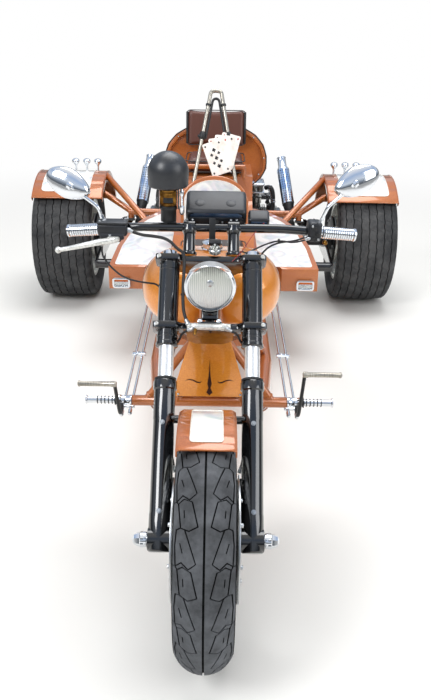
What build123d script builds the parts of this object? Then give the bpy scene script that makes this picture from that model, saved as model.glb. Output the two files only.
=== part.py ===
from build123d import *

import os
from math import atan2, cos, radians, sin, tan

# Motorised trike: one front wheel on a long raked fork, two wide wheels behind,
# a low body with two seats, and an air-cooled flat-four engine behind the rear axle.
# Millimetres, +Z up. The front faces -Y; +X is on the right in a view from the front.
os.makedirs("parts", exist_ok=True)

BASE = (Align.CENTER, Align.CENTER, Align.MIN)
FIT = 0.3                       # gap between pieces that sit on one another
SIDES = (-1, 1)

# Overall layout
FRONT_TYRE_RADIUS = 307.0
FRONT_TYRE_WIDTH = 138.0
REAR_TYRE_RADIUS = 323.0
REAR_TYRE_WIDTH = 300.0
WHEELBASE = 2530.0
REAR_TRACK = 1580.0
REAR_OVERHANG = 640.0
LENGTH = FRONT_TYRE_RADIUS + WHEELBASE + REAR_OVERHANG
FRONT_AXLE_Y = -LENGTH / 2 + FRONT_TYRE_RADIUS

# Fork
RAKE = radians(44.0)
LEG_SPREAD = 230.0
LEG_DIAMETER = 57.0
STANCHION_DIAMETER = 41.0
COVER_DIAMETER = 61.0
LEG_TOP = 405.0
LOWER_CLAMP_UP = 557.0
UPPER_CLAMP_UP = 757.0
CLAMP_THICKNESS = 32.0
NECK_BEHIND = 65.0
NECK_DIAMETER = 62.0
STEM_DIAMETER = 34.0
BAR_DIAMETER = 25.4


def at(x, station, z):
    """A point: offset to the side, distance behind the front axle, height."""
    return Vector(x, FRONT_AXLE_Y + station, z)


def aft(x, behind, z):
    """A point: offset to the side, distance behind the rear axle, height."""
    return at(x, WHEELBASE + behind, z)


def on_fork(x, behind, up):
    """A point by the fork: to the side, behind the legs' plane, up along the legs."""
    station = up * sin(RAKE) + behind * cos(RAKE)
    height = FRONT_TYRE_RADIUS + up * cos(RAKE) - behind * sin(RAKE)
    return at(x, station, height)


def fork_place(x, behind, up):
    """A location whose z runs up the fork and whose y points behind it."""
    up_the_fork = (0, sin(RAKE), cos(RAKE))
    return Plane(origin=on_fork(x, behind, up), x_dir=(1, 0, 0), z_dir=up_the_fork).location


def rod(start, end, diameter, end_diameter=None):
    """A straight round bar, or a cone where a second diameter is given."""
    run = end - start
    with Locations(Plane(origin=start, z_dir=run).location):
        if end_diameter is None:
            Cylinder(diameter / 2, run.length, align=BASE)
        else:
            Cone(diameter / 2, end_diameter / 2, run.length, align=BASE)


def bore(start, end, diameter):
    """A round hole from one point to another."""
    run = end - start
    with Locations(Plane(origin=start, z_dir=run).location):
        Cylinder(diameter / 2, run.length, align=BASE, mode=Mode.SUBTRACT)


def tube(points, diameter, bend):
    """A round tube or hose bent to one radius at each corner."""
    with BuildLine(mode=Mode.PRIVATE) as path:
        FilletPolyline(*points, radius=bend)
    start = Plane(origin=path.line @ 0, z_dir=path.line % 0)
    with BuildSketch(start, mode=Mode.PRIVATE) as section:
        Circle(diameter / 2)
    sweep(section.sketch, path=path.line)


def slab(plane, points, depth, both=False, mode=Mode.ADD):
    """A flat plate: a polygon on a plane, extruded."""
    with BuildSketch(plane, mode=Mode.PRIVATE) as outline:
        with BuildLine():
            Polyline(*points, close=True)
        make_face()
    extrude(outline.sketch, amount=depth, both=both, mode=mode)


def turned(centre, outline, mode=Mode.ADD):
    """A ring turned about an axle: outline holds (along the axle, radius) pairs."""
    plane = Plane(origin=centre, x_dir=(1, 0, 0), z_dir=(0, -1, 0))
    with BuildSketch(plane, mode=Mode.PRIVATE) as section:
        with BuildLine():
            Polyline(*outline, close=True)
        make_face()
    revolve(section.sketch, axis=Axis(centre, (1, 0, 0)), mode=mode)


def side_plane(x, station=0.0, z=0.0):
    """A plane facing +X: local x runs backwards, local y runs up."""
    return Plane(origin=at(x, station, z), x_dir=(0, 1, 0), z_dir=(1, 0, 0))


def front_plane(station, x=0.0, z=0.0):
    """A plane facing the front: local x runs to +X, local y runs up."""
    return Plane(origin=at(x, station, z), x_dir=(1, 0, 0), z_dir=(0, -1, 0))


def save(piece, name):
    piece.part.label = name
    export_step(piece.part, f"parts/{name}.step")


FRONT_AXLE = at(0, 0, FRONT_TYRE_RADIUS)

# Front wheel: tyre, five-spoke rim and two brake discs
RIM_BEAD_RADIUS = 204.0
FRONT_BEAD = 49.0
TREAD_EDGE_RADIUS = 262.0

with BuildPart() as front_tyre:
    half = FRONT_TYRE_WIDTH / 2
    with BuildSketch(Plane(origin=FRONT_AXLE, x_dir=(1, 0, 0), z_dir=(0, -1, 0))) as section:
        with BuildLine():
            ThreePointArc((-half, TREAD_EDGE_RADIUS), (0, FRONT_TYRE_RADIUS), (half, TREAD_EDGE_RADIUS))
            ThreePointArc((half, TREAD_EDGE_RADIUS), (half - 6, 236), (FRONT_BEAD, 216))
            Polyline((FRONT_BEAD, 216), (FRONT_BEAD, RIM_BEAD_RADIUS), (-FRONT_BEAD, RIM_BEAD_RADIUS),
                     (-FRONT_BEAD, 216))
            ThreePointArc((-FRONT_BEAD, 216), (6 - half, 236), (-half, TREAD_EDGE_RADIUS))
        make_face()
    revolve(axis=Axis(FRONT_AXLE, (1, 0, 0)))
save(front_tyre, "front_tyre")

AXLE_DIAMETER = 25.0
FRONT_SPOKES = 5
DISC_OFFSET = 79.0
DISC_THICKNESS = 5.0
DISC_RADIUS = 150.0

with BuildPart() as front_rim:
    rim_outer = RIM_BEAD_RADIUS - FIT
    flange = FRONT_BEAD + FIT
    turned(FRONT_AXLE, [(-flange - 6, 190), (flange + 6, 190), (flange + 6, 214),
                        (flange, 214), (flange, rim_outer), (-flange, rim_outer),
                        (-flange, 214), (-flange - 6, 214)])
    for turn in range(FRONT_SPOKES):
        angle = radians(360 / FRONT_SPOKES * turn + 90)
        outward = Vector(0, cos(angle), sin(angle))
        middle = FRONT_AXLE + outward * 118
        with Locations(Plane(origin=middle, x_dir=(1, 0, 0), z_dir=outward).location):
            Box(36, 46, 152)
    hub_half = DISC_OFFSET - DISC_THICKNESS / 2 - FIT
    rod(FRONT_AXLE - Vector(hub_half, 0, 0), FRONT_AXLE + Vector(hub_half, 0, 0), 104)
    bore(FRONT_AXLE - Vector(90, 0, 0), FRONT_AXLE + Vector(90, 0, 0), AXLE_DIAMETER + 2 * FIT)
save(front_rim, "front_rim")

with BuildPart() as front_discs:
    for side in SIDES:
        inner = FRONT_AXLE + Vector(side * (DISC_OFFSET - DISC_THICKNESS / 2), 0, 0)
        outer = FRONT_AXLE + Vector(side * (DISC_OFFSET + DISC_THICKNESS / 2), 0, 0)
        rod(inner, outer, 2 * DISC_RADIUS)
        bore(inner, outer, 66)
save(front_discs, "front_discs")

# Fork: legs, stanchions, two clamps and what sits on them
AXLE_NUT_TIP = 181.0

with BuildPart() as front_axle:
    reach = LEG_SPREAD / 2 + 36
    rod(FRONT_AXLE - Vector(reach, 0, 0), FRONT_AXLE + Vector(reach, 0, 0), AXLE_DIAMETER)
    for side in SIDES:
        face = FRONT_AXLE + Vector(side * (LEG_SPREAD / 2 + 32), 0, 0)
        shoulder = FRONT_AXLE + Vector(side * (LEG_SPREAD / 2 + 46), 0, 0)
        tip = FRONT_AXLE + Vector(side * AXLE_NUT_TIP, 0, 0)
        rod(face, shoulder, 38)
        rod(shoulder, tip, 34, 10)
save(front_axle, "front_axle")

with BuildPart() as fork_lowers:
    for side in SIDES:
        x = side * LEG_SPREAD / 2
        rod(on_fork(x, 0, -30), on_fork(x, 0, LEG_TOP), LEG_DIAMETER)
        rod(on_fork(x, 0, LEG_TOP - 24), on_fork(x, 0, LEG_TOP), LEG_DIAMETER + 6)
        rod(FRONT_AXLE + Vector(x - 30, 0, 0), FRONT_AXLE + Vector(x + 30, 0, 0), 56)
    bore(FRONT_AXLE - Vector(200, 0, 0), FRONT_AXLE + Vector(200, 0, 0), AXLE_DIAMETER + 2 * FIT)
save(fork_lowers, "fork_lowers")

with BuildPart() as stanchions:
    for side in SIDES:
        x = side * LEG_SPREAD / 2
        rod(on_fork(x, 0, LEG_TOP + FIT), on_fork(x, 0, UPPER_CLAMP_UP + 26), STANCHION_DIAMETER)
save(stanchions, "stanchions")

CLAMP_LUG = 48.0

with BuildPart() as fork_clamps:
    for clamp_up in (LOWER_CLAMP_UP, UPPER_CLAMP_UP):
        plane = Plane(origin=on_fork(0, 0, clamp_up - CLAMP_THICKNESS / 2),
                      x_dir=(1, 0, 0), z_dir=(0, sin(RAKE), cos(RAKE)))
        half_spread = LEG_SPREAD / 2
        outline = [(-half_spread - CLAMP_LUG, -16), (-half_spread - 20, -40), (-half_spread + 24, -40),
                   (-half_spread + 52, -20), (half_spread - 52, -20), (half_spread - 24, -40),
                   (half_spread + 20, -40), (half_spread + CLAMP_LUG, -16),
                   (half_spread + CLAMP_LUG, 16), (half_spread + 20, 40),
                   (half_spread - 40, 60), (40, NECK_BEHIND + 38), (-40, NECK_BEHIND + 38),
                   (-half_spread + 40, 60), (-half_spread - 20, 40), (-half_spread - CLAMP_LUG, 16)]
        slab(plane, outline, CLAMP_THICKNESS)
    for side in SIDES:
        x = side * LEG_SPREAD / 2
        rod(on_fork(x, 0, LEG_TOP + 103), on_fork(x, 0, UPPER_CLAMP_UP), COVER_DIAMETER)
        rod(on_fork(x, 0, LEG_TOP + 96), on_fork(x, 0, LEG_TOP + 108), COVER_DIAMETER + 5)
        rod(on_fork(x, 0, UPPER_CLAMP_UP), on_fork(x, 0, UPPER_CLAMP_UP + 24), COVER_DIAMETER)
    rod(on_fork(0, NECK_BEHIND, LOWER_CLAMP_UP), on_fork(0, NECK_BEHIND, UPPER_CLAMP_UP), STEM_DIAMETER)
    rod(on_fork(0, -8, LOWER_CLAMP_UP + 2), on_fork(0, -54, 610), 24)
    for side in SIDES:
        x = side * LEG_SPREAD / 2
        bore(on_fork(x, 0, LEG_TOP + 80), on_fork(x, 0, UPPER_CLAMP_UP + 60),
             STANCHION_DIAMETER + 2 * FIT)
save(fork_clamps, "fork_clamps")

with BuildPart() as calipers:
    for side in SIDES:
        with Locations(fork_place(side * (DISC_OFFSET + 2), 76, 118)):
            Box(44, 62, 92)
        with Locations(fork_place(side * (DISC_OFFSET + 34), 42, 118)):
            Box(30, 26, 60)
        turned(FRONT_AXLE, [(side * (DISC_OFFSET - 7.5), 20), (side * (DISC_OFFSET + 7.5), 20),
                            (side * (DISC_OFFSET + 7.5), DISC_RADIUS + 6),
                            (side * (DISC_OFFSET - 7.5), DISC_RADIUS + 6)], mode=Mode.SUBTRACT)
        bore(on_fork(side * LEG_SPREAD / 2, 0, 0), on_fork(side * LEG_SPREAD / 2, 0, 300),
             LEG_DIAMETER + 2 * FIT)
save(calipers, "calipers")

# Front mudguard: an arched strip from ahead of the top of the wheel to the fork legs
MUDGUARD_RADIUS = 321.0
MUDGUARD_WIDTH = 138.0
MUDGUARD_AHEAD = 14.0
MUDGUARD_BEHIND = 50.0

with BuildPart() as front_mudguard:
    half = MUDGUARD_WIDTH / 2
    start = radians(MUDGUARD_AHEAD)
    radial = Vector(0, -sin(start), cos(start))
    plane = Plane(origin=FRONT_AXLE, x_dir=(1, 0, 0), z_dir=Vector(1, 0, 0).cross(radial))
    with BuildSketch(plane, mode=Mode.PRIVATE) as section:
        with BuildLine():
            Polyline((-half, MUDGUARD_RADIUS - 24), (-half, MUDGUARD_RADIUS - 5),
                     (-half + 9, MUDGUARD_RADIUS), (half - 9, MUDGUARD_RADIUS), (half, MUDGUARD_RADIUS - 5), (half, MUDGUARD_RADIUS - 24),
                     (half - 4, MUDGUARD_RADIUS - 24), (half - 4, MUDGUARD_RADIUS - 7),
                     (half - 10, MUDGUARD_RADIUS - 4), (-half + 10, MUDGUARD_RADIUS - 4),
                     (-half + 4, MUDGUARD_RADIUS - 7), (-half + 4, MUDGUARD_RADIUS - 24), close=True)
        make_face()
    revolve(section.sketch, axis=Axis(FRONT_AXLE, (-1, 0, 0)),
            revolution_arc=MUDGUARD_AHEAD + MUDGUARD_BEHIND)
    for side in SIDES:
        leg_face = LEG_SPREAD / 2 - LEG_DIAMETER / 2 - FIT
        for behind in (-20, 20):
            rod(on_fork(side * (half - 3), behind, 304), on_fork(side * (leg_face + 6), behind, 304), 12)
        bore(on_fork(side * LEG_SPREAD / 2, 0, 200), on_fork(side * LEG_SPREAD / 2, 0, 360),
             LEG_DIAMETER + 2 * FIT)
save(front_mudguard, "front_mudguard")

# Handlebar, its grips, controls and mirrors
BAR_UP = 851.0
BAR_BEHIND = -23.0
BAR_END = at(410, 604, 912)
BAR_BEND = on_fork(196, BAR_BEHIND, BAR_UP)
RISER_X = 62.0


def mirrored(point):
    return Vector(-point.X, point.Y, point.Z)


with BuildPart() as handlebar:
    grip_inner = BAR_BEND + (BAR_END - BAR_BEND) * 0.5
    tube([mirrored(grip_inner), mirrored(BAR_BEND), BAR_BEND, grip_inner], BAR_DIAMETER, 120)
    for side in SIDES:
        foot = on_fork(side * RISER_X, -4, UPPER_CLAMP_UP + CLAMP_THICKNESS / 2 + FIT)
        head = on_fork(side * RISER_X, BAR_BEHIND, BAR_UP + 16)
        rod(foot, head, 34)
    add(fork_clamps.part, mode=Mode.SUBTRACT)
save(handlebar, "handlebar")

with BuildPart() as grips:
    for side in SIDES:
        inner = BAR_BEND + (BAR_END - BAR_BEND) * 0.5
        start = inner if side > 0 else mirrored(inner)
        end = BAR_END if side > 0 else mirrored(BAR_END)
        run = (end - start).normalized()
        rod(start + run * FIT, end, 30)
        for ring in range(7):
            place = start + run * (6 + 15 * ring)
            rod(place, place + run * 8, 35)
save(grips, "grips")

with BuildPart() as control_housings:
    with Locations(Plane(origin=at(-268, 566, 946), x_dir=(1, 0, 0), z_dir=(0, 0, 1)).location):
        Box(82, 46, 40)
    with Locations(Plane(origin=at(292, 582, 925), x_dir=(1, 0.09, -0.05), z_dir=(0.05, 0, 1)).location):
        Box(38, 50, 56)
    bar_run = [(BAR_BEND, BAR_END), (mirrored(BAR_BEND), mirrored(BAR_END))]
    for start, end in bar_run:
        bore(start, end, BAR_DIAMETER + 2 * FIT)
    add(grips.part, mode=Mode.SUBTRACT)
save(control_housings, "control_housings")

LEVER_TIP = at(-432, 557, 896)

with BuildPart() as brake_lever:
    with Locations(at(-276, 543 - FIT - 8, 932)):
        Box(44, 16, 20)
    rod(at(-280, 533, 927), LEVER_TIP, 12)
    ball = (LEVER_TIP - at(-280, 533, 927)).normalized() * 16
    rod(LEVER_TIP - ball, LEVER_TIP, 18)
save(brake_lever, "brake_lever")

MIRROR_STEMS = ((-1, (-235, 573, 945), (-262, 572, 1000), (-372, 590, 1062)),
                (1, (258, 583, 934), (276, 574, 1002), (372, 590, 1072)))

with BuildPart() as mirrors:
    for side, foot, knee, head in MIRROR_STEMS:
        tube([at(*foot), at(*knee), at(*head)], 10, 20)
        back = Plane(origin=at(*head), x_dir=(1, 0, 0), z_dir=(0.15 * side, -1, 0.25))
        with BuildSketch(back, mode=Mode.PRIVATE) as oval:
            Ellipse(64, 37)
        extrude(oval.sketch, amount=16, taper=24)
        extrude(oval.sketch, amount=-6)
    add(control_housings.part, mode=Mode.SUBTRACT)
    add(handlebar.part, mode=Mode.SUBTRACT)
save(mirrors, "mirrors")

# Headlight, instruments and horn, carried by the fork
HEADLIGHT_RADIUS = 62.0
HEADLIGHT_FACE = at(0, 346, 842)

with BuildPart() as headlight_shell:
    face = HEADLIGHT_FACE
    back = Vector(0, 1, 0)
    rod(face, face + back * 22, 2 * HEADLIGHT_RADIUS + 8)
    rod(face + back * 22, face + back * 62, 2 * HEADLIGHT_RADIUS, 104)
    rod(face + back * 62, face + back * 82, 104, 50)
    rod(face - back * 26 + Vector(0, 0, HEADLIGHT_RADIUS - 8),
        face + back * 10 + Vector(0, 0, HEADLIGHT_RADIUS - 2), 20)
    bore(face - back * 40, face + back * 10, 2 * HEADLIGHT_RADIUS - 10)
    add(fork_clamps.part, mode=Mode.SUBTRACT)
save(headlight_shell, "headlight_shell")

with BuildPart() as headlight_lens:
    rod(HEADLIGHT_FACE + Vector(0, 1, 0), HEADLIGHT_FACE + Vector(0, 9.7, 0), 2 * HEADLIGHT_RADIUS - 11)
save(headlight_lens, "headlight_lens")

with BuildPart() as brake_manifold:
    rod(on_fork(-52, -58, 541), on_fork(48, -58, 541), 20)
    with Locations(fork_place(0, -54, 552)):
        Box(60, 24, 12)
save(brake_manifold, "brake_manifold")

with BuildPart() as instruments:
    with Locations(Plane(origin=at(12, 634, 976), x_dir=(1, 0, 0), z_dir=(0, -0.5, 1)).location):
        Box(171, 96, 58)
    with Locations(Plane(origin=at(135, 612, 962), x_dir=(1, 0, 0), z_dir=(0, -0.5, 1)).location):
        Box(60, 46, 40)
    rod(at(12, 634, 970), on_fork(12, BAR_BEHIND, BAR_UP), 18)
    rod(at(130, 612, 960), on_fork(120, BAR_BEHIND, BAR_UP), 16)
    add(handlebar.part, mode=Mode.SUBTRACT)
save(instruments, "instruments")

with BuildPart() as bulb_horn:
    with Locations(at(-114, 600, 1090)):
        Sphere(57, arc_size1=-20, arc_size2=90)
    rod(at(-114, 600, 1072), at(-114, 600, 950), 42)
    with Locations(at(-114, 588, 944)):
        Box(30, 56, 34)
    add(handlebar.part, mode=Mode.SUBTRACT)
save(bulb_horn, "bulb_horn")

# Hoses and cables that stay on the fork
HOSES = (
    (8, 20, (at(-226, 556, 950), at(-150, 528, 948), at(-96, 462, 850), on_fork(-90, -84, 610),
             on_fork(-56, -62, 548))),
    (5, 22, (at(-262, 536, 922), at(-262, 512, 850), at(-200, 470, 792), on_fork(-150, -38, 700),
             on_fork(-150, -10, LOWER_CLAMP_UP + 17))),
    (5, 20, (at(274, 572, 922), at(190, 545, 886), on_fork(150, -38, 800),
             on_fork(150, -38, 720), on_fork(150, -10, LOWER_CLAMP_UP + 17))),
    (7, 18, (on_fork(-44, -68.3, 531.8), on_fork(-62, -52, 470), on_fork(-84, 34, 400),
             on_fork(-84, 44, 168))),
    (7, 18, (on_fork(44, -68.3, 531.8), on_fork(62, -52, 470), on_fork(84, 34, 400),
             on_fork(84, 44, 168))),
)

with BuildPart() as brake_hoses:
    for diameter, bend, points in HOSES:
        tube(points, diameter, bend)
    for neighbour in (brake_manifold, control_housings, brake_lever, handlebar, fork_clamps):
        add(neighbour.part, mode=Mode.SUBTRACT)
save(brake_hoses, "brake_hoses")

# Frame: neck, backbone, front tubes and the two long rails
CROSS_TUBE = (492.0, 425.0)         # station and height of the tube that carries the pegs
CROSS_TUBE_END = 230.0
NECK_LOW = LOWER_CLAMP_UP + CLAMP_THICKNESS / 2 + 6
NECK_HIGH = UPPER_CLAMP_UP - CLAMP_THICKNESS / 2 - 6
BACKBONE_START = (505.0, 703.0)
BACKBONE_END = (1132.0, 497.0)
BACKBONE_SLOPE = atan2(BACKBONE_START[1] - BACKBONE_END[1], BACKBONE_END[0] - BACKBONE_START[0])
BACKBONE_DIAMETER = 60.0
RAIL_X = 200.0
RAIL_DIAMETER = 48.0
RAIL_Z = 304.0 - FIT
ARM_PIVOT = 410.0
TAIL_X = 162.0
TAIL_Z = 236.0
REAR_BAR = REAR_OVERHANG - 58.0     # from the rear axle back to the bar


def backbone_height(station):
    return BACKBONE_START[1] - (station - BACKBONE_START[0]) * tan(BACKBONE_SLOPE)


with BuildPart() as frame_backbone:
    rod(on_fork(0, NECK_BEHIND, NECK_LOW), on_fork(0, NECK_BEHIND, NECK_HIGH), NECK_DIAMETER)
    rod(at(0, *BACKBONE_START), at(0, *BACKBONE_END), BACKBONE_DIAMETER)
    slab(side_plane(0), [(495, 690), (545, 734), (640, 658), (600, 630), (510, 655)], 8, both=True)
    for side in SIDES:
        rod(at(0, 1050, 526), at(side * (RAIL_X - 12), 1050, RAIL_Z + 30), 36)
    bore(on_fork(0, NECK_BEHIND, NECK_LOW - 20), on_fork(0, NECK_BEHIND, NECK_HIGH + 20),
         STEM_DIAMETER + 2)
save(frame_backbone, "frame_backbone")

with BuildPart() as frame_front:
    rod(at(-CROSS_TUBE_END, *CROSS_TUBE), at(CROSS_TUBE_END, *CROSS_TUBE), 32)
    for side in SIDES:
        rod(at(side * 28, 512, 664), at(side * 98, 490, 430), 27)
        rod(at(side * 30, 516, 645), at(side * 186, 494, 430), 24)
    bore(at(0, *BACKBONE_START), at(0, *BACKBONE_END), BACKBONE_DIAMETER + 2 * FIT)
    slab(side_plane(0), [(480, 685), (560, 760), (700, 665), (600, 630), (500, 654)], 8 + FIT,
         both=True, mode=Mode.SUBTRACT)
save(frame_front, "frame_front")

with BuildPart() as frame_rails:
    for side in SIDES:
        tube([at(side * 150, CROSS_TUBE[0] + 10, CROSS_TUBE[1] - 8), at(side * 176, 760, RAIL_Z),
              at(side * RAIL_X, 1000, RAIL_Z), aft(side * RAIL_X, -340, RAIL_Z),
              aft(side * TAIL_X, -190, TAIL_Z), aft(side * TAIL_X, REAR_BAR - 23 - FIT, TAIL_Z)],
             RAIL_DIAMETER, 150)
    bore(at(-260, *CROSS_TUBE), at(260, *CROSS_TUBE), 32 + 2 * FIT)
    for side in SIDES:
        bore(at(0, 1050, 526), at(side * (RAIL_X - 12), 1050, RAIL_Z + 30), 36 + 2 * FIT)
save(frame_rails, "frame_rails")

with BuildPart() as frame_crossmembers:
    inner = RAIL_X - RAIL_DIAMETER / 2 - FIT
    for station in (1200, WHEELBASE - 780, WHEELBASE - ARM_PIVOT):
        rod(at(-inner, station, RAIL_Z), at(inner, station, RAIL_Z), 40)
save(frame_crossmembers, "frame_crossmembers")

# Painted panel between the front tubes
with BuildPart() as front_panel:
    lean = Plane(origin=at(0, 498.2, 664), x_dir=(1, 0, 0), z_dir=(0, -1, 0.102))
    slab(lean, [(-46, 0), (46, 0), (54, -20), (106, -196), (100, -214), (-100, -214), (-106, -196),
                (-54, -20)], 4)
save(front_panel, "front_panel")

# Foot controls: sleeve and peg on the cross tube, with a pedal arm and its bar
PEDAL_BAR_Z = {-1: 527.0, 1: 566.0}

with BuildPart() as foot_controls:
    for side in SIDES:
        station, height = CROSS_TUBE
        rod(at(side * (CROSS_TUBE_END + FIT), station, height), at(side * 276, station, height), 42)
        rod(at(side * 276, station, height), at(side * 371, station, height), 24)
        for ring in range(6):
            x = 282 + 15 * ring
            rod(at(side * x, station, height), at(side * (x + 9), station, height), 34)
        rod(at(side * 262, station, height), at(side * 262, 446, 408), 20)
        rod(at(side * 262, 446, 400), at(side * 268, 400, PEDAL_BAR_Z[side]), 15)
        rod(at(side * 262, 400, PEDAL_BAR_Z[side]), at(side * 373, 400, PEDAL_BAR_Z[side]), 19)
save(foot_controls, "foot_controls")


# Fuel tank, over the backbone
# station, width, height, middle height
TANK_SECTIONS = ((598, 230, 104, 690), (660, 396, 184, 699), (760, 432, 200, 702),
                 (900, 366, 182, 690), (1030, 240, 132, 664), (1085, 150, 84, 650))

with BuildPart() as fuel_tank:
    for station, width, height, middle in TANK_SECTIONS:
        with BuildSketch(front_plane(station, 0, middle)):
            RectangleRounded(width, height, height * 0.47)
    loft()
    with Locations(at(0, 800, 804)):
        Cylinder(29, 30, align=(Align.CENTER, Align.CENTER, Align.MAX))
    over = BACKBONE_DIAMETER / 2 / cos(BACKBONE_SLOPE) + FIT
    tunnel = [(480, backbone_height(480) + over), (1140, backbone_height(1140) + over), (1140, 380),
              (480, 380)]
    slab(side_plane(0), tunnel, 34, both=True, mode=Mode.SUBTRACT)
save(fuel_tank, "fuel_tank")

with BuildPart() as fuel_cap:
    rod(at(0, 800, 804 + FIT), at(0, 800, 824), 64)
    rod(at(0, 800, 824), at(0, 800, 832), 40)
save(fuel_cap, "fuel_cap")

# Body: a tub with a pod on each side, and the two seats
HULL_HALF = 170.0
BODY_FLOOR = 328.0
HULL_FRONT = 1110.0
SEAT_Z = 558.0
SEAT_REAR = WHEELBASE - 970
SEAT_FRONT = HULL_FRONT + 70 + (SEAT_REAR - HULL_FRONT - 70) * 0.395
POD_FRONT = WHEELBASE - 830
REAR_SEAT_Z = 790.0
HULL_PROFILE = [(HULL_FRONT, BODY_FLOOR), (HULL_FRONT, 500), (HULL_FRONT + 70, 545),
                (SEAT_FRONT, SEAT_Z), (SEAT_REAR, SEAT_Z), (SEAT_REAR + 40, 610), (SEAT_REAR + 200, 640),
                (SEAT_REAR + 320, 690), (SEAT_REAR + 370, REAR_SEAT_Z), (SEAT_REAR + 650, REAR_SEAT_Z),
                (SEAT_REAR + 780, 640), (SEAT_REAR + 780, 480), (SEAT_REAR + 550, 466),
                (SEAT_REAR + 500, BODY_FLOOR)]
POD_PLAN = [(170, 118), (245, 118), (305, 0), (468, 0), (450, 200), (413, 387), (350, 500), (271, 590),
            (176, 638), (160, 638), (160, 118)]
POD_FRONT_Z = 432.0
POD_SLOPE = 0.1757


def deck_height(station):
    return POD_FRONT_Z + POD_SLOPE * (station - POD_FRONT)


with BuildPart() as body_tub:
    for side in SIDES:
        plan = Plane(origin=at(0, POD_FRONT, BODY_FLOOR), x_dir=(1, 0, 0), z_dir=(0, 0, 1))
        slab(plan, [(side * x, behind) for x, behind in POD_PLAN], 300)
    ahead, past = POD_FRONT - 100, POD_FRONT + 700
    above = [(ahead, deck_height(ahead)), (past, deck_height(past)), (past, 700), (ahead, 700)]
    slab(side_plane(0), above, 500, both=True, mode=Mode.SUBTRACT)
    slab(side_plane(0), HULL_PROFILE, HULL_HALF, both=True)
    rod(at(-134, SEAT_REAR + 372, REAR_SEAT_Z + 42), at(134, SEAT_REAR + 372, REAR_SEAT_Z + 42), 22)
    for side in SIDES:
        rod(at(side * 128, SEAT_REAR + 375, REAR_SEAT_Z - 10),
            at(side * 128, SEAT_REAR + 372, REAR_SEAT_Z + 42), 20)
    rear_cut = [(-420, 300), (-470, 300), (-420, 466), (-170, 480), (-170, 300)]
    slab(side_plane(0, WHEELBASE), rear_cut, 240, both=True, mode=Mode.SUBTRACT)
    bore(at(0, *BACKBONE_START), at(0, *BACKBONE_END), BACKBONE_DIAMETER + 2 * FIT)
save(body_tub, "body_tub")

# Twin thin rods from each pedal back to the body
with BuildPart() as pedal_rods:
    for side in SIDES:
        for x in (238, 262):
            rod(at(side * x, 470 if x == 238 else 462, 390), at(side * x, POD_FRONT + 130, 400), 9)
        for station in (520, 880, 1500):
            with Locations(at(side * 250, station, 391 + (station - 466) * 0.0077)):
                Box(41, 22, 8)
    for side in SIDES:
        bore(at(side * 262, *CROSS_TUBE), at(side * 262, 446, 408), 20 + 2 * FIT)
        bore(at(side * 262, 446, 400), at(side * 268, 400, PEDAL_BAR_Z[side]), 15 + 2 * FIT)
    add(body_tub.part, mode=Mode.SUBTRACT)
save(pedal_rods, "pedal_rods")

with BuildPart() as driver_cushion:
    with Locations(at(0, SEAT_REAR - 114, SEAT_Z + FIT + 29)):
        Box(272, 212, 58)
    fillet(driver_cushion.edges().filter_by(Axis.Z), 30)
    fillet(driver_cushion.faces().sort_by(Axis.Z)[-1].edges(), 20)
save(driver_cushion, "driver_cushion")

BACKREST_HALF = 118.0

with BuildPart() as driver_backrest:
    lean = Plane(origin=at(0, SEAT_REAR + 90, SEAT_Z + 60), x_dir=(1, 0, 0), z_dir=(0, -1, 0.2))
    with BuildSketch(lean):
        with BuildLine():
            Line((-BACKREST_HALF, 0), (BACKREST_HALF, 0))
            Line((BACKREST_HALF, 0), (BACKREST_HALF, 130))
            ThreePointArc((BACKREST_HALF, 130), (0, 238), (-BACKREST_HALF, 130))
            Line((-BACKREST_HALF, 130), (-BACKREST_HALF, 0))
        make_face()
    extrude(amount=-44)
    add(body_tub.part, mode=Mode.SUBTRACT)
save(driver_backrest, "driver_backrest")

# Passenger seat: a flared shell with a recessed face, seat cushion and back pad
SHELL_OUTLINE = [(-150, 0), (150, 0), (196, 40), (220, 90), (220, 150), (205, 205), (170, 252),
                 (115, 288), (50, 304), (-50, 304), (-115, 288), (-170, 252), (-205, 205),
                 (-220, 150), (-220, 90), (-196, 40)]

SHELL_PLANE = Plane(origin=at(0, SEAT_REAR + 702, 668), x_dir=(1, 0, 0), z_dir=(0, -1, 0.18))
BACK_PAD = 34.0

with BuildPart() as passenger_shell:
    slab(SHELL_PLANE, SHELL_OUTLINE, -30)
    inset = [(x * 0.92, 12 + (y - 12) * 0.92) for x, y in SHELL_OUTLINE]
    slab(SHELL_PLANE, inset, -18, mode=Mode.SUBTRACT)
    add(body_tub.part, mode=Mode.SUBTRACT)
save(passenger_shell, "passenger_shell")

with BuildPart() as passenger_cushions:
    with Locations(at(0, SEAT_REAR + 505, REAR_SEAT_Z + FIT + 36)):
        Box(274, 224, 72)
    pad = [(-146, 196), (146, 196), (146, 366), (-146, 366)]
    slab(SHELL_PLANE.offset(FIT), pad, BACK_PAD)
    add(body_tub.part, mode=Mode.SUBTRACT)
save(passenger_cushions, "passenger_cushions")

# Sissy bar: an A of bent tube that leans back from the driver's backrest
SISSY_FOOT = at(129, SEAT_REAR + 140, SEAT_Z + 42)
SISSY_TOP = at(22, SEAT_REAR + 380, 1156)

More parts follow.
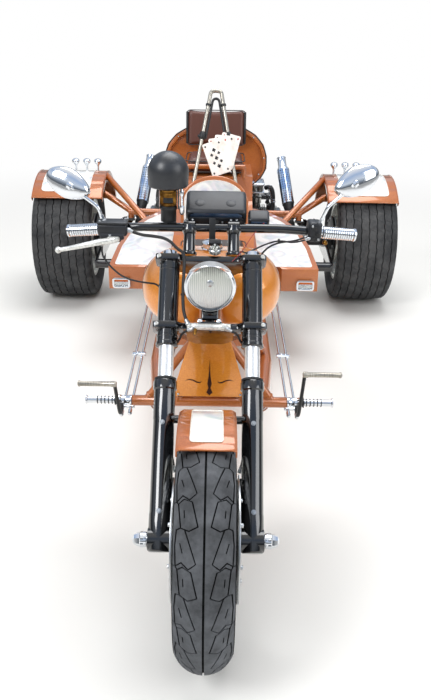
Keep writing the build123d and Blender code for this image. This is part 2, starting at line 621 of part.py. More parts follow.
with BuildPart() as sissy_bar:
    tube([mirrored(SISSY_FOOT), mirrored(SISSY_TOP), SISSY_TOP, SISSY_FOOT], 18, 14)
    run = SISSY_TOP - SISSY_FOOT
    for side in SIDES:
        knob = SISSY_FOOT + run * 0.68
        place = knob if side > 0 else mirrored(knob)
        with Locations(place):
            Sphere(15)
    low = SISSY_FOOT + run * 0.69
    high = SISSY_FOOT + run * 0.955
    inner_high = Vector(high.X - 14, high.Y, high.Z)
    tube([mirrored(low), mirrored(inner_high), inner_high, low], 11, 6)
    add(body_tub.part, mode=Mode.SUBTRACT)
    add(driver_backrest.part, mode=Mode.SUBTRACT)
save(sissy_bar, "sissy_bar")

# Four white playing cards, fanned, fixed to the front of the sissy bar
CARD = (82.0, 146.0, 3.0)
CARD_TURNS = (20, 8, -3, -14)
CARD_PIVOT_Z = 800.0

with BuildPart() as card_fan:
    run = SISSY_TOP - SISSY_FOOT
    share = (CARD_PIVOT_Z - SISSY_FOOT.Z) / run.Z
    ahead = Vector(0, -run.Z, run.Y).normalized()
    pivot = Vector(92, SISSY_FOOT.Y + run.Y * share, CARD_PIVOT_Z)
    for layer, turn in enumerate(CARD_TURNS):
        clear = 9 + FIT + CARD[2] * (len(CARD_TURNS) - layer - 0.5)
        plane = Plane(origin=pivot + ahead * clear, x_dir=(1, 0, 0), z_dir=ahead)
        with Locations(plane.location * Location((0, 0, 0), (0, 0, turn))):
            with Locations((-CARD[0] / 2 - 12, CARD[1] / 2 + 10, 0)):
                Box(*CARD)
save(card_fan, "card_fan")

with BuildPart() as front_lamps:
    for side in SIDES:
        with Locations(at(side * 411, POD_FRONT - 10 - FIT, BODY_FLOOR + 33)):
            Box(76, 20, 46)
save(front_lamps, "front_lamps")

# Rear axle: swing tubes, arms, dampers and fenders
REAR_AXLE_Z = REAR_TYRE_RADIUS
HUB_FACE = REAR_TRACK / 2 - 142      # inner end of the turning hub
REAR_RIM_RADIUS = 200.0
REAR_BEAD = 124.0
PLATE_FACE = HUB_FACE - 5.0
PLATE_INNER = PLATE_FACE - 9.0
DAMPER_X = HUB_FACE - 90
ARM_X = HUB_FACE - 60
STUB_END = REAR_TRACK / 2 - 50
STUB_DIAMETER = 38.0

with BuildPart() as axle_tubes:
    for side in SIDES:
        gearbox_side = aft(side * (108 + FIT), 0, REAR_AXLE_Z)
        rod(gearbox_side, aft(side * PLATE_INNER, 0, REAR_AXLE_Z), 62)
        rod(gearbox_side, aft(side * 150, 0, REAR_AXLE_Z), 118, 80)
        plate_inner = aft(side * PLATE_INNER, 0, REAR_AXLE_Z)
        rod(plate_inner, aft(side * PLATE_FACE, 0, REAR_AXLE_Z), 262)
        rod(aft(side * (PLATE_INNER - 22), 0, REAR_AXLE_Z), plate_inner, 110)
        rod(plate_inner, aft(side * STUB_END, 0, REAR_AXLE_Z), STUB_DIAMETER)
        with Locations(aft(side * DAMPER_X, -12, REAR_AXLE_Z + 26)):
            Box(38, 36, 30)
save(axle_tubes, "axle_tubes")

with BuildPart() as trailing_arms:
    for side in SIDES:
        arm = [(-ARM_PIVOT - 22, 286), (-ARM_PIVOT - 22, 322), (-64, 372), (56, 372), (56, 274), (-64, 274)]
        slab(side_plane(side * ARM_X, WHEELBASE), arm, 7, both=True)
        rod(aft(side * (RAIL_X + RAIL_DIAMETER / 2 + FIT), -ARM_PIVOT, RAIL_Z),
            aft(side * (ARM_X - 6), -ARM_PIVOT, RAIL_Z), 46)
    for side in SIDES:
        bore(aft(side * 112, 0, REAR_AXLE_Z), aft(side * (HUB_FACE + 2), 0, REAR_AXLE_Z), 62 + 2 * FIT)
save(trailing_arms, "trailing_arms")

HOOP_BEHIND = -140.0                # from the rear axle
HOOP_Z = 500.0
HOOP_END = DAMPER_X - 106
HOOP_DIAMETER = 36.0
FENDER_INNER = REAR_TRACK / 2 - REAR_TYRE_WIDTH / 2 - 65
FENDER_OUTER = REAR_TRACK / 2 + REAR_TYRE_WIDTH / 2 - 2
FENDER_GAP = 24.0                   # between the tyre and the fender
FENDER_SHEET = 5.0
REAR_FENDER_RADIUS = REAR_TYRE_RADIUS + FENDER_GAP + FENDER_SHEET
FENDER_AHEAD = 41.0
FENDER_BEHIND = 68.0

with BuildPart() as rear_fenders:
    for side in SIDES:
        start = radians(FENDER_AHEAD)
        radial = Vector(0, -sin(start), cos(start))
        centre = at(0, WHEELBASE, REAR_AXLE_Z)
        plane = Plane(origin=centre, x_dir=(1, 0, 0), z_dir=Vector(1, 0, 0).cross(radial))
        edge, top = REAR_FENDER_RADIUS - 5, REAR_FENDER_RADIUS
        a, b = FENDER_INNER, FENDER_OUTER
        outline = [(a, edge - 24), (a, edge), (a + 8, top), (b - 8, top), (b, edge), (b, edge - 24),
                   (b - FENDER_SHEET, edge - 24), (b - FENDER_SHEET, edge - 2), (b - 9, top - FENDER_SHEET),
                   (a + 9, top - FENDER_SHEET), (a + FENDER_SHEET, edge - 2), (a + FENDER_SHEET, edge - 24)]
        with BuildSketch(plane, mode=Mode.PRIVATE) as section:
            with BuildLine():
                Polyline(*[(side * x, r) for x, r in outline], close=True)
            make_face()
        revolve(section.sketch, axis=Axis(centre, (-1, 0, 0)),
                revolution_arc=FENDER_AHEAD + FENDER_BEHIND)
save(rear_fenders, "rear_fenders")

with BuildPart() as rear_hoop:
    rod(aft(-HOOP_END, HOOP_BEHIND, HOOP_Z), aft(HOOP_END, HOOP_BEHIND, HOOP_Z), HOOP_DIAMETER)
    for side in SIDES:
        top = DAMPER_X - 118
        rod(aft(side * (TAIL_X + 10), -196, 254), aft(side * 226, HOOP_BEHIND, HOOP_Z - 6), 32)
        rod(aft(side * 330, -334, 492), aft(side * (FENDER_INNER + 5), -10, 662), 32)
        rod(aft(side * top, HOOP_BEHIND, HOOP_Z + 4), aft(side * (FENDER_INNER + 5), -110, 588), 32)
        rod(aft(side * top, HOOP_BEHIND - 2, HOOP_Z), aft(side * top, HOOP_BEHIND - 2, HOOP_Z - 30), 30)
        with Locations(aft(side * (FENDER_INNER - FIT + 100), -80, 600)):
            Box(200, 800, 800, mode=Mode.SUBTRACT)
    add(body_tub.part, mode=Mode.SUBTRACT)
    add(frame_rails.part, mode=Mode.SUBTRACT)
save(rear_hoop, "rear_hoop")

with BuildPart() as shocks:
    for side in SIDES:
        top = aft(side * (DAMPER_X - 118), HOOP_BEHIND + 14, HOOP_Z - 38)
        foot = aft(side * DAMPER_X, -16, REAR_AXLE_Z + 43)
        run = (foot - top).normalized()
        length = (foot - top).length
        rod(top, foot, 22)
        rod(top, top + run * 58, 46)
        for coil in range(6):
            place = top + run * (64 + 15 * coil)
            rod(place, place + run * 8, 56)
    add(axle_tubes.part, mode=Mode.SUBTRACT)
    add(rear_hoop.part, mode=Mode.SUBTRACT)
save(shocks, "shocks")

LAMPS_BEHIND = 120.0

with BuildPart() as fender_lamps:
    surface = REAR_AXLE_Z + (REAR_FENDER_RADIUS ** 2 - LAMPS_BEHIND ** 2) ** 0.5
    for side in SIDES:
        for inset in (68, 128, 188):
            x = side * (FENDER_INNER + inset)
            rod(aft(x, LAMPS_BEHIND, surface - 2), aft(x, LAMPS_BEHIND, surface + 46), 9)
            rod(aft(x, LAMPS_BEHIND - 16, surface + 56), aft(x, LAMPS_BEHIND + 18, surface + 56), 28)
    add(rear_fenders.part, mode=Mode.SUBTRACT)
save(fender_lamps, "fender_lamps")

# Rear wheels
REAR_WINDOWS = 8


def rear_tyre_outline(side, centre):
    """Section of a wide low tyre, mirrored by side."""
    half = REAR_TYRE_WIDTH / 2
    plane = Plane(origin=centre, x_dir=(1, 0, 0), z_dir=(0, -1, 0))
    with BuildSketch(plane, mode=Mode.PRIVATE) as section:
        with BuildLine():
            Line((-REAR_BEAD, REAR_RIM_RADIUS + FIT), (REAR_BEAD, REAR_RIM_RADIUS + FIT))
            Line((REAR_BEAD, REAR_RIM_RADIUS + FIT), (REAR_BEAD, 217))
            ThreePointArc((REAR_BEAD, 217), (half - 3, 234), (half, 262))
            ThreePointArc((half, 262), (half - 4, 296), (half - 22, 316))
            ThreePointArc((half - 22, 316), (0, REAR_TYRE_RADIUS), (22 - half, 316))
            ThreePointArc((22 - half, 316), (4 - half, 296), (-half, 262))
            ThreePointArc((-half, 262), (3 - half, 234), (-REAR_BEAD, 217))
            Line((-REAR_BEAD, 217), (-REAR_BEAD, REAR_RIM_RADIUS + FIT))
        make_face()
    revolve(section.sketch, axis=Axis(centre, (1, 0, 0)))


for side, name in ((-1, "left"), (1, "right")):
    centre = aft(side * REAR_TRACK / 2, 0, REAR_AXLE_Z)
    with BuildPart() as rear_tyre:
        rear_tyre_outline(side, centre)
    save(rear_tyre, f"rear_tyre_{name}")

    with BuildPart() as rear_rim:
        flange = REAR_BEAD + FIT
        turned(centre, [(-flange - 7, 188), (flange + 7, 188), (flange + 7, 215), (flange, 215),
                        (flange, REAR_RIM_RADIUS), (-flange, REAR_RIM_RADIUS), (-flange, 215),
                        (-flange - 7, 215)])
        face = centre + Vector(side * 20, 0, 0)
        rod(face, face + Vector(side * 14, 0, 0), 382)
        for window in range(REAR_WINDOWS):
            angle = radians(360 / REAR_WINDOWS * window)
            spot = face + Vector(0, cos(angle), sin(angle)) * 142
            bore(spot - Vector(side * 5, 0, 0), spot + Vector(side * 30, 0, 0), 62)
        rod(face, centre + Vector(side * 96, 0, 0), 92)
        drum = aft(side * HUB_FACE, 0, REAR_AXLE_Z)
        rod(drum, aft(side * (HUB_FACE + 62), 0, REAR_AXLE_Z), 256)
        rod(aft(side * (HUB_FACE + 60), 0, REAR_AXLE_Z), face, 150)
        bore(drum, aft(side * (STUB_END + 2), 0, REAR_AXLE_Z), STUB_DIAMETER + 2 * FIT)
    save(rear_rim, f"rear_rim_{name}")

# Gearbox ahead of the axle, flat-four engine behind it
CRANK_Z = 366.0
CYLINDERS = (212, 336)          # behind the rear axle
CYLINDERS_MIDDLE = sum(CYLINDERS) / 2
HEAD_FACE = 300.0

with BuildPart() as gearbox:
    with Locations(aft(0, -30, 336)):
        Box(216, 210, 200)
    rod(aft(0, -360, 340), aft(0, -134, 340), 150, 190)
    with Locations(aft(0, -370, 322)):
        Box(120, 40 - 2 * FIT, 90)
    rod(aft(0, 74, 352), aft(0, 139 - FIT, 352), 300, 340)
save(gearbox, "gearbox")

with BuildPart() as engine_block:
    with Locations(aft(0, 282, 352)):
        Box(226, 286, 212)
    with Locations(aft(0, 282, 247)):
        Box(190, 210, 30)
    rod(aft(0, 420, CRANK_Z), aft(0, 462, CRANK_Z), 60)
    rod(aft(0, 462, CRANK_Z), aft(0, 484, CRANK_Z), 172)
    for side in SIDES:
        for behind in CYLINDERS:
            rod(aft(side * 112, behind, CRANK_Z), aft(side * HEAD_FACE, behind, CRANK_Z), 96)
            for fin in range(9):
                x = 130 + 19 * fin
                with Locations(aft(side * x, behind, CRANK_Z)):
                    Box(5, 114, 116)
        with Locations(aft(side * (HEAD_FACE + 28), CYLINDERS_MIDDLE, CRANK_Z)):
            Box(58, 246, 122)
        with Locations(aft(side * (HEAD_FACE + 72), CYLINDERS_MIDDLE, CRANK_Z + 2)):
            Box(34, 232, 76)
save(engine_block, "engine_block")

SHROUD_FOOT = 458 + FIT
SHROUD_OUTLINE = [(-190, SHROUD_FOOT), (190, SHROUD_FOOT), (190, 560), (150, 640), (80, 690), (-80, 690),
                  (-150, 640), (-190, 560)]

with BuildPart() as fan_shroud:
    slab(front_plane(WHEELBASE + 260), SHROUD_OUTLINE, 86)
    rod(aft(0, 260 + FIT, 585), aft(0, 420, 585), 104)
    rod(aft(0, 420, 585), aft(0, 442, 585), 150)
    with Locations(aft(0, 320, 497)):
        Box(60, 90, 76)
save(fan_shroud, "fan_shroud")

with BuildPart() as air_cleaners:
    for side in SIDES:
        rod(aft(side * 236, 326, 400), aft(side * 236, 326, 512), 50)
        with Locations(aft(side * 236, 326, 540)):
            Box(84, 146, 56)
    add(engine_block.part, mode=Mode.SUBTRACT)
save(air_cleaners, "air_cleaners")

# Silencers lean back and inwards; each is a round can in a perforated shield
SILENCER_FOOT = aft(405, -30, 462)
SILENCER_TOP = aft(358, 182, 728)

with BuildPart() as silencers:
    for side in SIDES:
        foot = SILENCER_FOOT if side > 0 else mirrored(SILENCER_FOOT)
        top = SILENCER_TOP if side > 0 else mirrored(SILENCER_TOP)
        run = (top - foot).normalized()
        rod(foot, foot + run * 70, 40, 66)
        rod(foot + run * 70, foot + run * 268, 66)
        rod(foot + run * 268, foot + run * 290, 66, 46)
        rod(foot + run * 290, top, 46)
        bore(top - run * 60, top + run * 10, 40)
save(silencers, "silencers")

with BuildPart() as exhaust_headers:
    for side in SIDES:
        bottom = SILENCER_FOOT if side > 0 else mirrored(SILENCER_FOOT)
        run = (SILENCER_TOP - SILENCER_FOOT).normalized()
        run = run if side > 0 else mirrored(run)
        turn = bottom - run * 84
        tube([aft(side * 328, 150, 352), aft(side * 396, 76, 366), turn, bottom - run * FIT], 38, 28)
        tube([aft(side * 328, 370, 330), aft(side * 328, 430, 330), aft(side * 404, 430, 322),
              aft(side * 424, 160, 352), aft(side * 404, 80, 366)], 38, 30)
    add(engine_block.part, mode=Mode.SUBTRACT)
save(exhaust_headers, "exhaust_headers")

# Rear bar with the hitch
HITCH_PLATE = 140.0
HITCH_BOLTS = 100.0
HITCH_BOLTS_HIGH = 80.0
HITCH_HOLE = 12.5

with BuildPart() as rear_bar:
    rod(aft(-340, REAR_BAR, 420), aft(340, REAR_BAR, 420), 42)
    rod(aft(-186, REAR_BAR, TAIL_Z), aft(186, REAR_BAR, TAIL_Z), 42)
    for side in SIDES:
        rod(aft(side * 150, REAR_BAR, TAIL_Z), aft(side * 150, REAR_BAR, 420), 36)
        with Locations(aft(side * TAIL_X, REAR_BAR - 12, TAIL_Z)):
            Box(60, 22, 60)
    with Locations(aft(0, REAR_BAR + 12, 486)):
        Box(300, 8, 124)
    with Locations(aft(0, REAR_BAR, 330)):
        Box(HITCH_PLATE, 12, 190)
    for x in (-HITCH_BOLTS / 2, HITCH_BOLTS / 2):
        for z in (-HITCH_BOLTS_HIGH / 2, HITCH_BOLTS_HIGH / 2):
            bore(aft(x, REAR_BAR - 22, 330 + z), aft(x, REAR_BAR + 28, 330 + z), HITCH_HOLE)
    add(frame_rails.part, mode=Mode.SUBTRACT)
save(rear_bar, "rear_bar")

with BuildPart() as tail_lamps:
    for side in SIDES:
        rod(aft(side * 252, REAR_BAR + 8, 462), aft(side * 252, REAR_BAR + 38, 462), 84)
        rod(aft(side * 252, REAR_BAR, 446), aft(side * 252, REAR_BAR + 16, 448), 24)
    add(rear_bar.part, mode=Mode.SUBTRACT)
save(tail_lamps, "tail_lamps")

BALL_DIAMETER = 50.0
BALL_STEM = REAR_OVERHANG - BALL_DIAMETER / 2

with BuildPart() as tow_ball:
    with Locations(aft(0, REAR_BAR + 12 + FIT, 300)):
        Box(60, 12, 44)
    rod(aft(0, REAR_BAR + 12, 300), aft(0, BALL_STEM, 300), 30)
    rod(aft(0, BALL_STEM, 290), aft(0, BALL_STEM, 340), 26)
    with Locations(aft(0, BALL_STEM, 352)):
        Sphere(BALL_DIAMETER / 2)
save(tow_ball, "tow_ball")
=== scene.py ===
import math

import bmesh
import bpy
from bpy.props import FloatProperty, FloatVectorProperty, PointerProperty
from mathutils import Matrix, Vector


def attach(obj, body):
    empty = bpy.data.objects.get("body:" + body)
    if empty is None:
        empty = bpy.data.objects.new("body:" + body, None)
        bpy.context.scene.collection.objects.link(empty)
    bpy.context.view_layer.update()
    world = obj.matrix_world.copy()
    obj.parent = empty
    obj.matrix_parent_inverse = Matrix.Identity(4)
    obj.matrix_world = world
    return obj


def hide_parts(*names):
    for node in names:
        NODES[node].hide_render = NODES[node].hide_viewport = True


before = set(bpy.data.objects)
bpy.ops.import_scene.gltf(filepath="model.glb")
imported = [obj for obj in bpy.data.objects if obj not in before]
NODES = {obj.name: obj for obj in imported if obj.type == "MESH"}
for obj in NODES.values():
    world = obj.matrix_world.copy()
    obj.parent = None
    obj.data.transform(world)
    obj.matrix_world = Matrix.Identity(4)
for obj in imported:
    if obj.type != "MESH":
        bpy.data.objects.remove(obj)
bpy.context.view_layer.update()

bl_info = {
    "name": "Motorised trike",
    "version": (1, 0, 0),
    "blender": (4, 5, 0),
    "location": "3D View > Sidebar > Trike",
    "description": "Builds the visible surfaces of a motorised trike around its CAD frame",
    "category": "Add Mesh",
}

MM = 0.001
SIDES = (-1, 1)

# Places shared with the CAD source, in millimetres
FRONT_AXLE_STATION = -1431.5
FRONT_AXLE_Z = 307.0
RAKE = math.radians(44.0)
LEG_X = 115.0
LOWER_CLAMP_UP = 557.0
UPPER_CLAMP_UP = 757.0
CLAMP_HIGH = 17.0
REAR_AXLE = (2530.0, 323.0)
REAR_TYRE_X = 790.0
DECK_SLOPE = 0.1757


def linear(code):
    """A colour written as sRGB hex, as linear red, green and blue."""
    channels = [int(code[i:i + 2], 16) / 255 for i in (1, 3, 5)]
    return [c / 12.92 if c <= 0.04045 else ((c + 0.055) / 1.055) ** 2.4 for c in channels]


def at(x, station, z):
    """A point in metres: to the side, behind the front axle, and up, given in millimetres."""
    return Vector((x, station + FRONT_AXLE_STATION, z)) * MM


def on_fork(x, behind, up):
    """A point by the fork: to the side, behind the legs' plane, and up along the legs."""
    station = up * math.sin(RAKE) + behind * math.cos(RAKE)
    return at(x, station, FRONT_AXLE_Z + up * math.cos(RAKE) - behind * math.sin(RAKE))


def shift(x, y, z):
    """A matrix that moves a piece by so many millimetres."""
    return Matrix.Translation(Vector((x, y, z)) * MM)


def place_at(x, station, z):
    """A matrix that carries a piece from the origin to a point, unturned."""
    return Matrix.Translation(at(x, station, z))


FORK_UP = Vector((0, math.sin(RAKE), math.cos(RAKE)))
FORK_BACK = Vector((0, math.cos(RAKE), -math.sin(RAKE)))


# Modelling by hand, in code

def clear():
    """Object mode with nothing selected, because an operator acts on all that is."""
    if bpy.context.object and bpy.context.object.mode != "OBJECT":
        bpy.ops.object.mode_set(mode="OBJECT")
    bpy.ops.object.select_all(action="DESELECT")


def only(*objects):
    """Selects these objects alone, the first one active."""
    clear()
    for obj in objects:
        obj.select_set(True)
    bpy.context.view_layer.objects.active = objects[0]
    return objects[0]


def edit(obj):
    """Edit mode on one object, all selected."""
    only(obj)
    bpy.ops.object.mode_set(mode="EDIT")
    bpy.ops.mesh.select_all(action="SELECT")


def outward(obj, merge=None):
    """Turns every face outward, after merging corners nearer than a distance in metres."""
    edit(obj)
    if merge:
        bpy.ops.mesh.remove_doubles(threshold=merge)
    bpy.ops.mesh.normals_make_consistent(inside=False)
    bpy.ops.object.mode_set(mode="OBJECT")


def choose(obj, kind, test):
    """In edit mode, selects the faces, edges or verts for which the test holds."""
    mode = {"verts": "VERT", "edges": "EDGE", "faces": "FACE"}[kind]
    bpy.ops.mesh.select_mode(type=mode)
    bpy.ops.mesh.select_all(action="DESELECT")
    mesh = bmesh.from_edit_mesh(obj.data)
    mesh.normal_update()
    for item in getattr(mesh, kind):
        if test(item):
            item.select_set(True)
    mesh.select_flush_mode()
    bmesh.update_edit_mesh(obj.data)


def placed(obj, where):
    """Moves a piece made about the origin to its place, kept in its mesh."""
    only(obj)
    bpy.ops.object.transform_apply(location=True, rotation=True, scale=True)
    obj.data.transform(where)
    return obj


def facing(origin, forward, side=None):
    """A matrix whose z looks forward from the origin; x lies near side."""
    z = Vector(forward).normalized()
    x = Vector(side if side else (1, 0, 0))
    if abs(x.normalized().dot(z)) > 0.99:
        x = Vector((0, 1, 0))
    y = z.cross(x).normalized()
    x = y.cross(z)
    return Matrix.Translation(origin) @ Matrix((x, y, z)).transposed().to_4x4()


def bevelled(obj, width, segments=2, angle=32):
    """Rounds the sharp edges of a piece by a Bevel modifier, and applies it."""
    only(obj)
    modifier = obj.modifiers.new("edges", "BEVEL")
    modifier.width = width * MM
    modifier.segments = segments
    modifier.limit_method = "ANGLE"
    modifier.angle_limit = math.radians(angle)
    modifier.use_clamp_overlap = True
    bpy.ops.object.modifier_apply(modifier=modifier.name)
    return obj


def smoothed(obj, angle=35):
    only(obj)
    bpy.ops.object.shade_smooth_by_angle(angle=math.radians(angle))
    return obj


def turned(profile, sides=48, ring=False):
    """A round form drawn up from a circle: profile holds (height, radius) pairs in millimetres.
    A ring's profile comes back to its first pair, and its two end loops are merged."""
    clear()
    height, radius = profile[0]
    fill = "NOTHING" if ring else "NGON"
    bpy.ops.mesh.primitive_circle_add(vertices=sides, radius=radius * MM, fill_type=fill,
                                      location=(0, 0, height * MM))
    obj = bpy.context.object
    bpy.ops.object.transform_apply(location=True)
    edit(obj)
    steps = list(zip(profile, profile[1:] + profile[:1] if ring else profile[1:]))
    for (low, small), (high, large) in steps:
        if ring:
            bpy.ops.mesh.extrude_edges_move(TRANSFORM_OT_translate={"value": (0, 0, (high - low) * MM)})
        else:
            bpy.ops.mesh.extrude_region_move(TRANSFORM_OT_translate={"value": (0, 0, (high - low) * MM)})
        share = large / small
        bpy.ops.transform.resize(value=(share, share, 1), center_override=(0, 0, high * MM))
    bpy.ops.mesh.select_all(action="SELECT")
    bpy.ops.mesh.remove_doubles(threshold=1e-6)
    bpy.ops.mesh.normals_make_consistent(inside=False)
    bpy.ops.object.mode_set(mode="OBJECT")
    return obj


def box(size, where=None, width=0.0, segments=2):
    """A block from a cube, its edges rounded, at its place."""
    clear()
    bpy.ops.mesh.primitive_cube_add(size=1)
    obj = bpy.context.object
    obj.scale = [s * MM for s in size]
    bpy.ops.object.transform_apply(scale=True)
    if width:
        bevelled(obj, width, segments)
    if where is not None:
        obj.data.transform(where)
    return obj


def flat(loops, thickness, where, edge=0.0):
    """A plate from flat curves: closed loops of (x, y) in millimetres, drawn upwards from its plane."""
    curve = bpy.data.curves.new("plate", "CURVE")
    curve.dimensions = "2D"
    curve.fill_mode = "BOTH"
    curve.extrude = max(thickness / 2 - edge, 0) * MM
    curve.bevel_depth = edge * MM
    curve.bevel_resolution = 1
    for loop in loops:
        spline = curve.splines.new("POLY")
        spline.points.add(len(loop) - 1)
        for point, (x, y) in zip(spline.points, loop):
            point.co = (x * MM, y * MM, 0, 1)
        spline.use_cyclic_u = True
    obj = bpy.data.objects.new("plate", curve)
    bpy.context.scene.collection.objects.link(obj)
    only(obj)
    bpy.ops.object.convert(target="MESH")
    obj = bpy.context.object
    outward(obj, 1e-6)
    obj.data.transform(Matrix.Translation((0, 0, thickness / 2 * MM)))
    obj.data.transform(where)
    return obj


def round_loop(centre, radius, sides=20):
    """A circle as a loop of points."""
    return [(centre[0] + radius * math.cos(2 * math.pi * k / sides),
             centre[1] + radius * math.sin(2 * math.pi * k / sides)) for k in range(sides)]


def rounded(points, radius, steps=4):
    """A closed outline with each corner turned into an arc."""
    out = []
    count = len(points)
    for k in range(count):
        corner = Vector(points[k])
        before = Vector(points[k - 1]) - corner
        after = Vector(points[(k + 1) % count]) - corner
        cut = min(radius, before.length * 0.45, after.length * 0.45)
        start = corner + before.normalized() * cut
        end = corner + after.normalized() * cut
        for s in range(steps + 1):
            t = s / steps
            point = start * (1 - t) ** 2 + corner * 2 * t * (1 - t) + end * t ** 2
            out.append((point.x, point.y))
    return out


def wire(points, radius, closed=False, sides=6, soft=True, taper=None):
    """A bar, cable or bead: a curve through the points with a round section."""
    curve = bpy.data.curves.new("wire", "CURVE")
    curve.dimensions = "3D"
    curve.bevel_depth = radius * MM
    curve.bevel_resolution = max(sides // 2 - 1, 1)
    curve.use_fill_caps = True
    curve.resolution_u = 6
    spline = curve.splines.new("NURBS" if soft else "POLY")
    spline.points.add(len(points) - 1)
    for k, (point, place) in enumerate(zip(spline.points, points)):
        point.co = (*place, 1)
        if taper:
            point.radius = taper[k]
    if soft:
        spline.order_u = 3
        spline.use_endpoint_u = not closed
    spline.use_cyclic_u = closed
    obj = bpy.data.objects.new("wire", curve)
    bpy.context.scene.collection.objects.link(obj)
    only(obj)
    bpy.ops.object.convert(target="MESH")
    return bpy.context.object


def twin_of(obj):
    """A copy of a piece with its own mesh."""
    twin = obj.copy()
    twin.data = obj.data.copy()
    bpy.context.scene.collection.objects.link(twin)
    return twin


def copies(obj, places):
    """Copies of a piece, each with its own mesh, joined into one; the first is the original."""
    made = []
    for place in places:
        made.append(twin_of(obj))
        made[-1].data.transform(place)
    bpy.data.objects.remove(obj)
    return joined(made)


def joined(objects):
    only(*objects)
    if len(objects) > 1:
        bpy.ops.object.join()
    return bpy.context.object


def mirrored(obj):
    """Adds the other half of the trike: the piece and its mirror image, as one."""
    twin = twin_of(obj)
    twin.data.transform(Matrix.Scale(-1, 4, (1, 0, 0)))
    twin.data.flip_normals()
    return joined([obj, twin])


def merged_copy(node):
    """A copy of a CAD solid with its loose triangles merged and its flat faces whole."""
    obj = bpy.data.objects.new(node + "_copy", NODES[node].data.copy())
    obj.data.materials.clear()
    bpy.context.scene.collection.objects.link(obj)
    edit(obj)
    bpy.ops.mesh.remove_doubles(threshold=1e-5)
    bpy.ops.mesh.dissolve_limited(angle_limit=math.radians(0.6))
    bpy.ops.object.mode_set(mode="OBJECT")
    return obj


def softened(node, width, segments=2):
    """The CAD solid again, with its edges rounded to catch the light."""
    return smoothed(bevelled(merged_copy(node), width, segments, 35))


def done(obj, name, body, slot, *finishes, stands_for=()):
    """Names a finished piece, gives it its materials, and lets it ride on its body."""
    obj.name = name
    obj.data.name = name
    if finishes:
        obj.data.materials.clear()
        for finish in finishes:
            obj.data.materials.append(bpy.data.materials[finish])
    obj.matrix_world = Matrix.Identity(4)
    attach(obj, body)
    if stands_for:
        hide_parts(*stands_for)
    clear()
    return obj


def shown(parts, name, body, slot, finish, **more):
    """Joins pieces, smooths them and hands them over as one."""
    return done(smoothed(joined(parts)), name, body, slot, finish, **more)


def painted(obj, test, index):
    """Gives the faces for which the test holds another of the piece's materials."""
    for face in obj.data.polygons:
        if test(face):
            face.material_index = index


# Materials

def add(tree, kind, settings=None, links=None):
    """Adds a node with its settings and the sockets that feed it."""
    new = tree.nodes.new(kind)
    for name, value in (settings or {}).items():
        if hasattr(new, name):
            setattr(new, name, value)
        else:
            new.inputs[name].default_value = value
    for name, source in (links or {}).items():
        tree.links.new(source, new.inputs[name])
    return new


def begin(name, settings):
    """A new material: its node tree, its shader with these settings, and the place on the object."""
    material = bpy.data.materials.new(name)
    material.use_nodes = True
    tree = material.node_tree
    tree.nodes.clear()
    shader = add(tree, "ShaderNodeBsdfPrincipled", settings)
    add(tree, "ShaderNodeOutputMaterial", {}, {"Surface": shader.outputs["BSDF"]})
    place = add(tree, "ShaderNodeTexCoord").outputs["Object"]
    return tree, shader, place


def two_tone(tree, fac, first, second, low=0.35, high=0.65):
    """Two colours, the second where the pattern is strong, fed to a colour ramp's socket."""
    ramp = tree.nodes.new("ShaderNodeValToRGB")
    ramp.color_ramp.elements[0].position = low
    ramp.color_ramp.elements[1].position = high
    ramp.color_ramp.elements[0].color = (*first, 1)
    ramp.color_ramp.elements[1].color = (*second, 1)
    tree.links.new(fac, ramp.inputs["Fac"])
    return ramp.outputs["Color"]


def varied(tree, fac, low, high):
    """A number that follows a pattern between two values."""
    spread = add(tree, "ShaderNodeMapRange", {"To Min": low, "To Max": high}, {"Value": fac})
    return spread.outputs["Result"]


def toned(tree, shader, fac, first, second, low=0.35, high=0.65):
    """Lets the base colour follow a pattern between two hex colours."""
    tree.links.new(two_tone(tree, fac, linear(first), linear(second), low, high), shader.inputs["Base Color"])


def worn(tree, shader, fac, low, high):
    """Lets the roughness follow a pattern between two values."""
    tree.links.new(varied(tree, fac, low, high), shader.inputs["Roughness"])


def grain(tree, shader, fac, height, strength):
    """Turns a pattern into relief of that height in millimetres."""
    bump = add(tree, "ShaderNodeBump", {"Strength": strength, "Distance": height * MM}, {"Height": fac})
    tree.links.new(bump.outputs["Normal"], shader.inputs["Normal"])


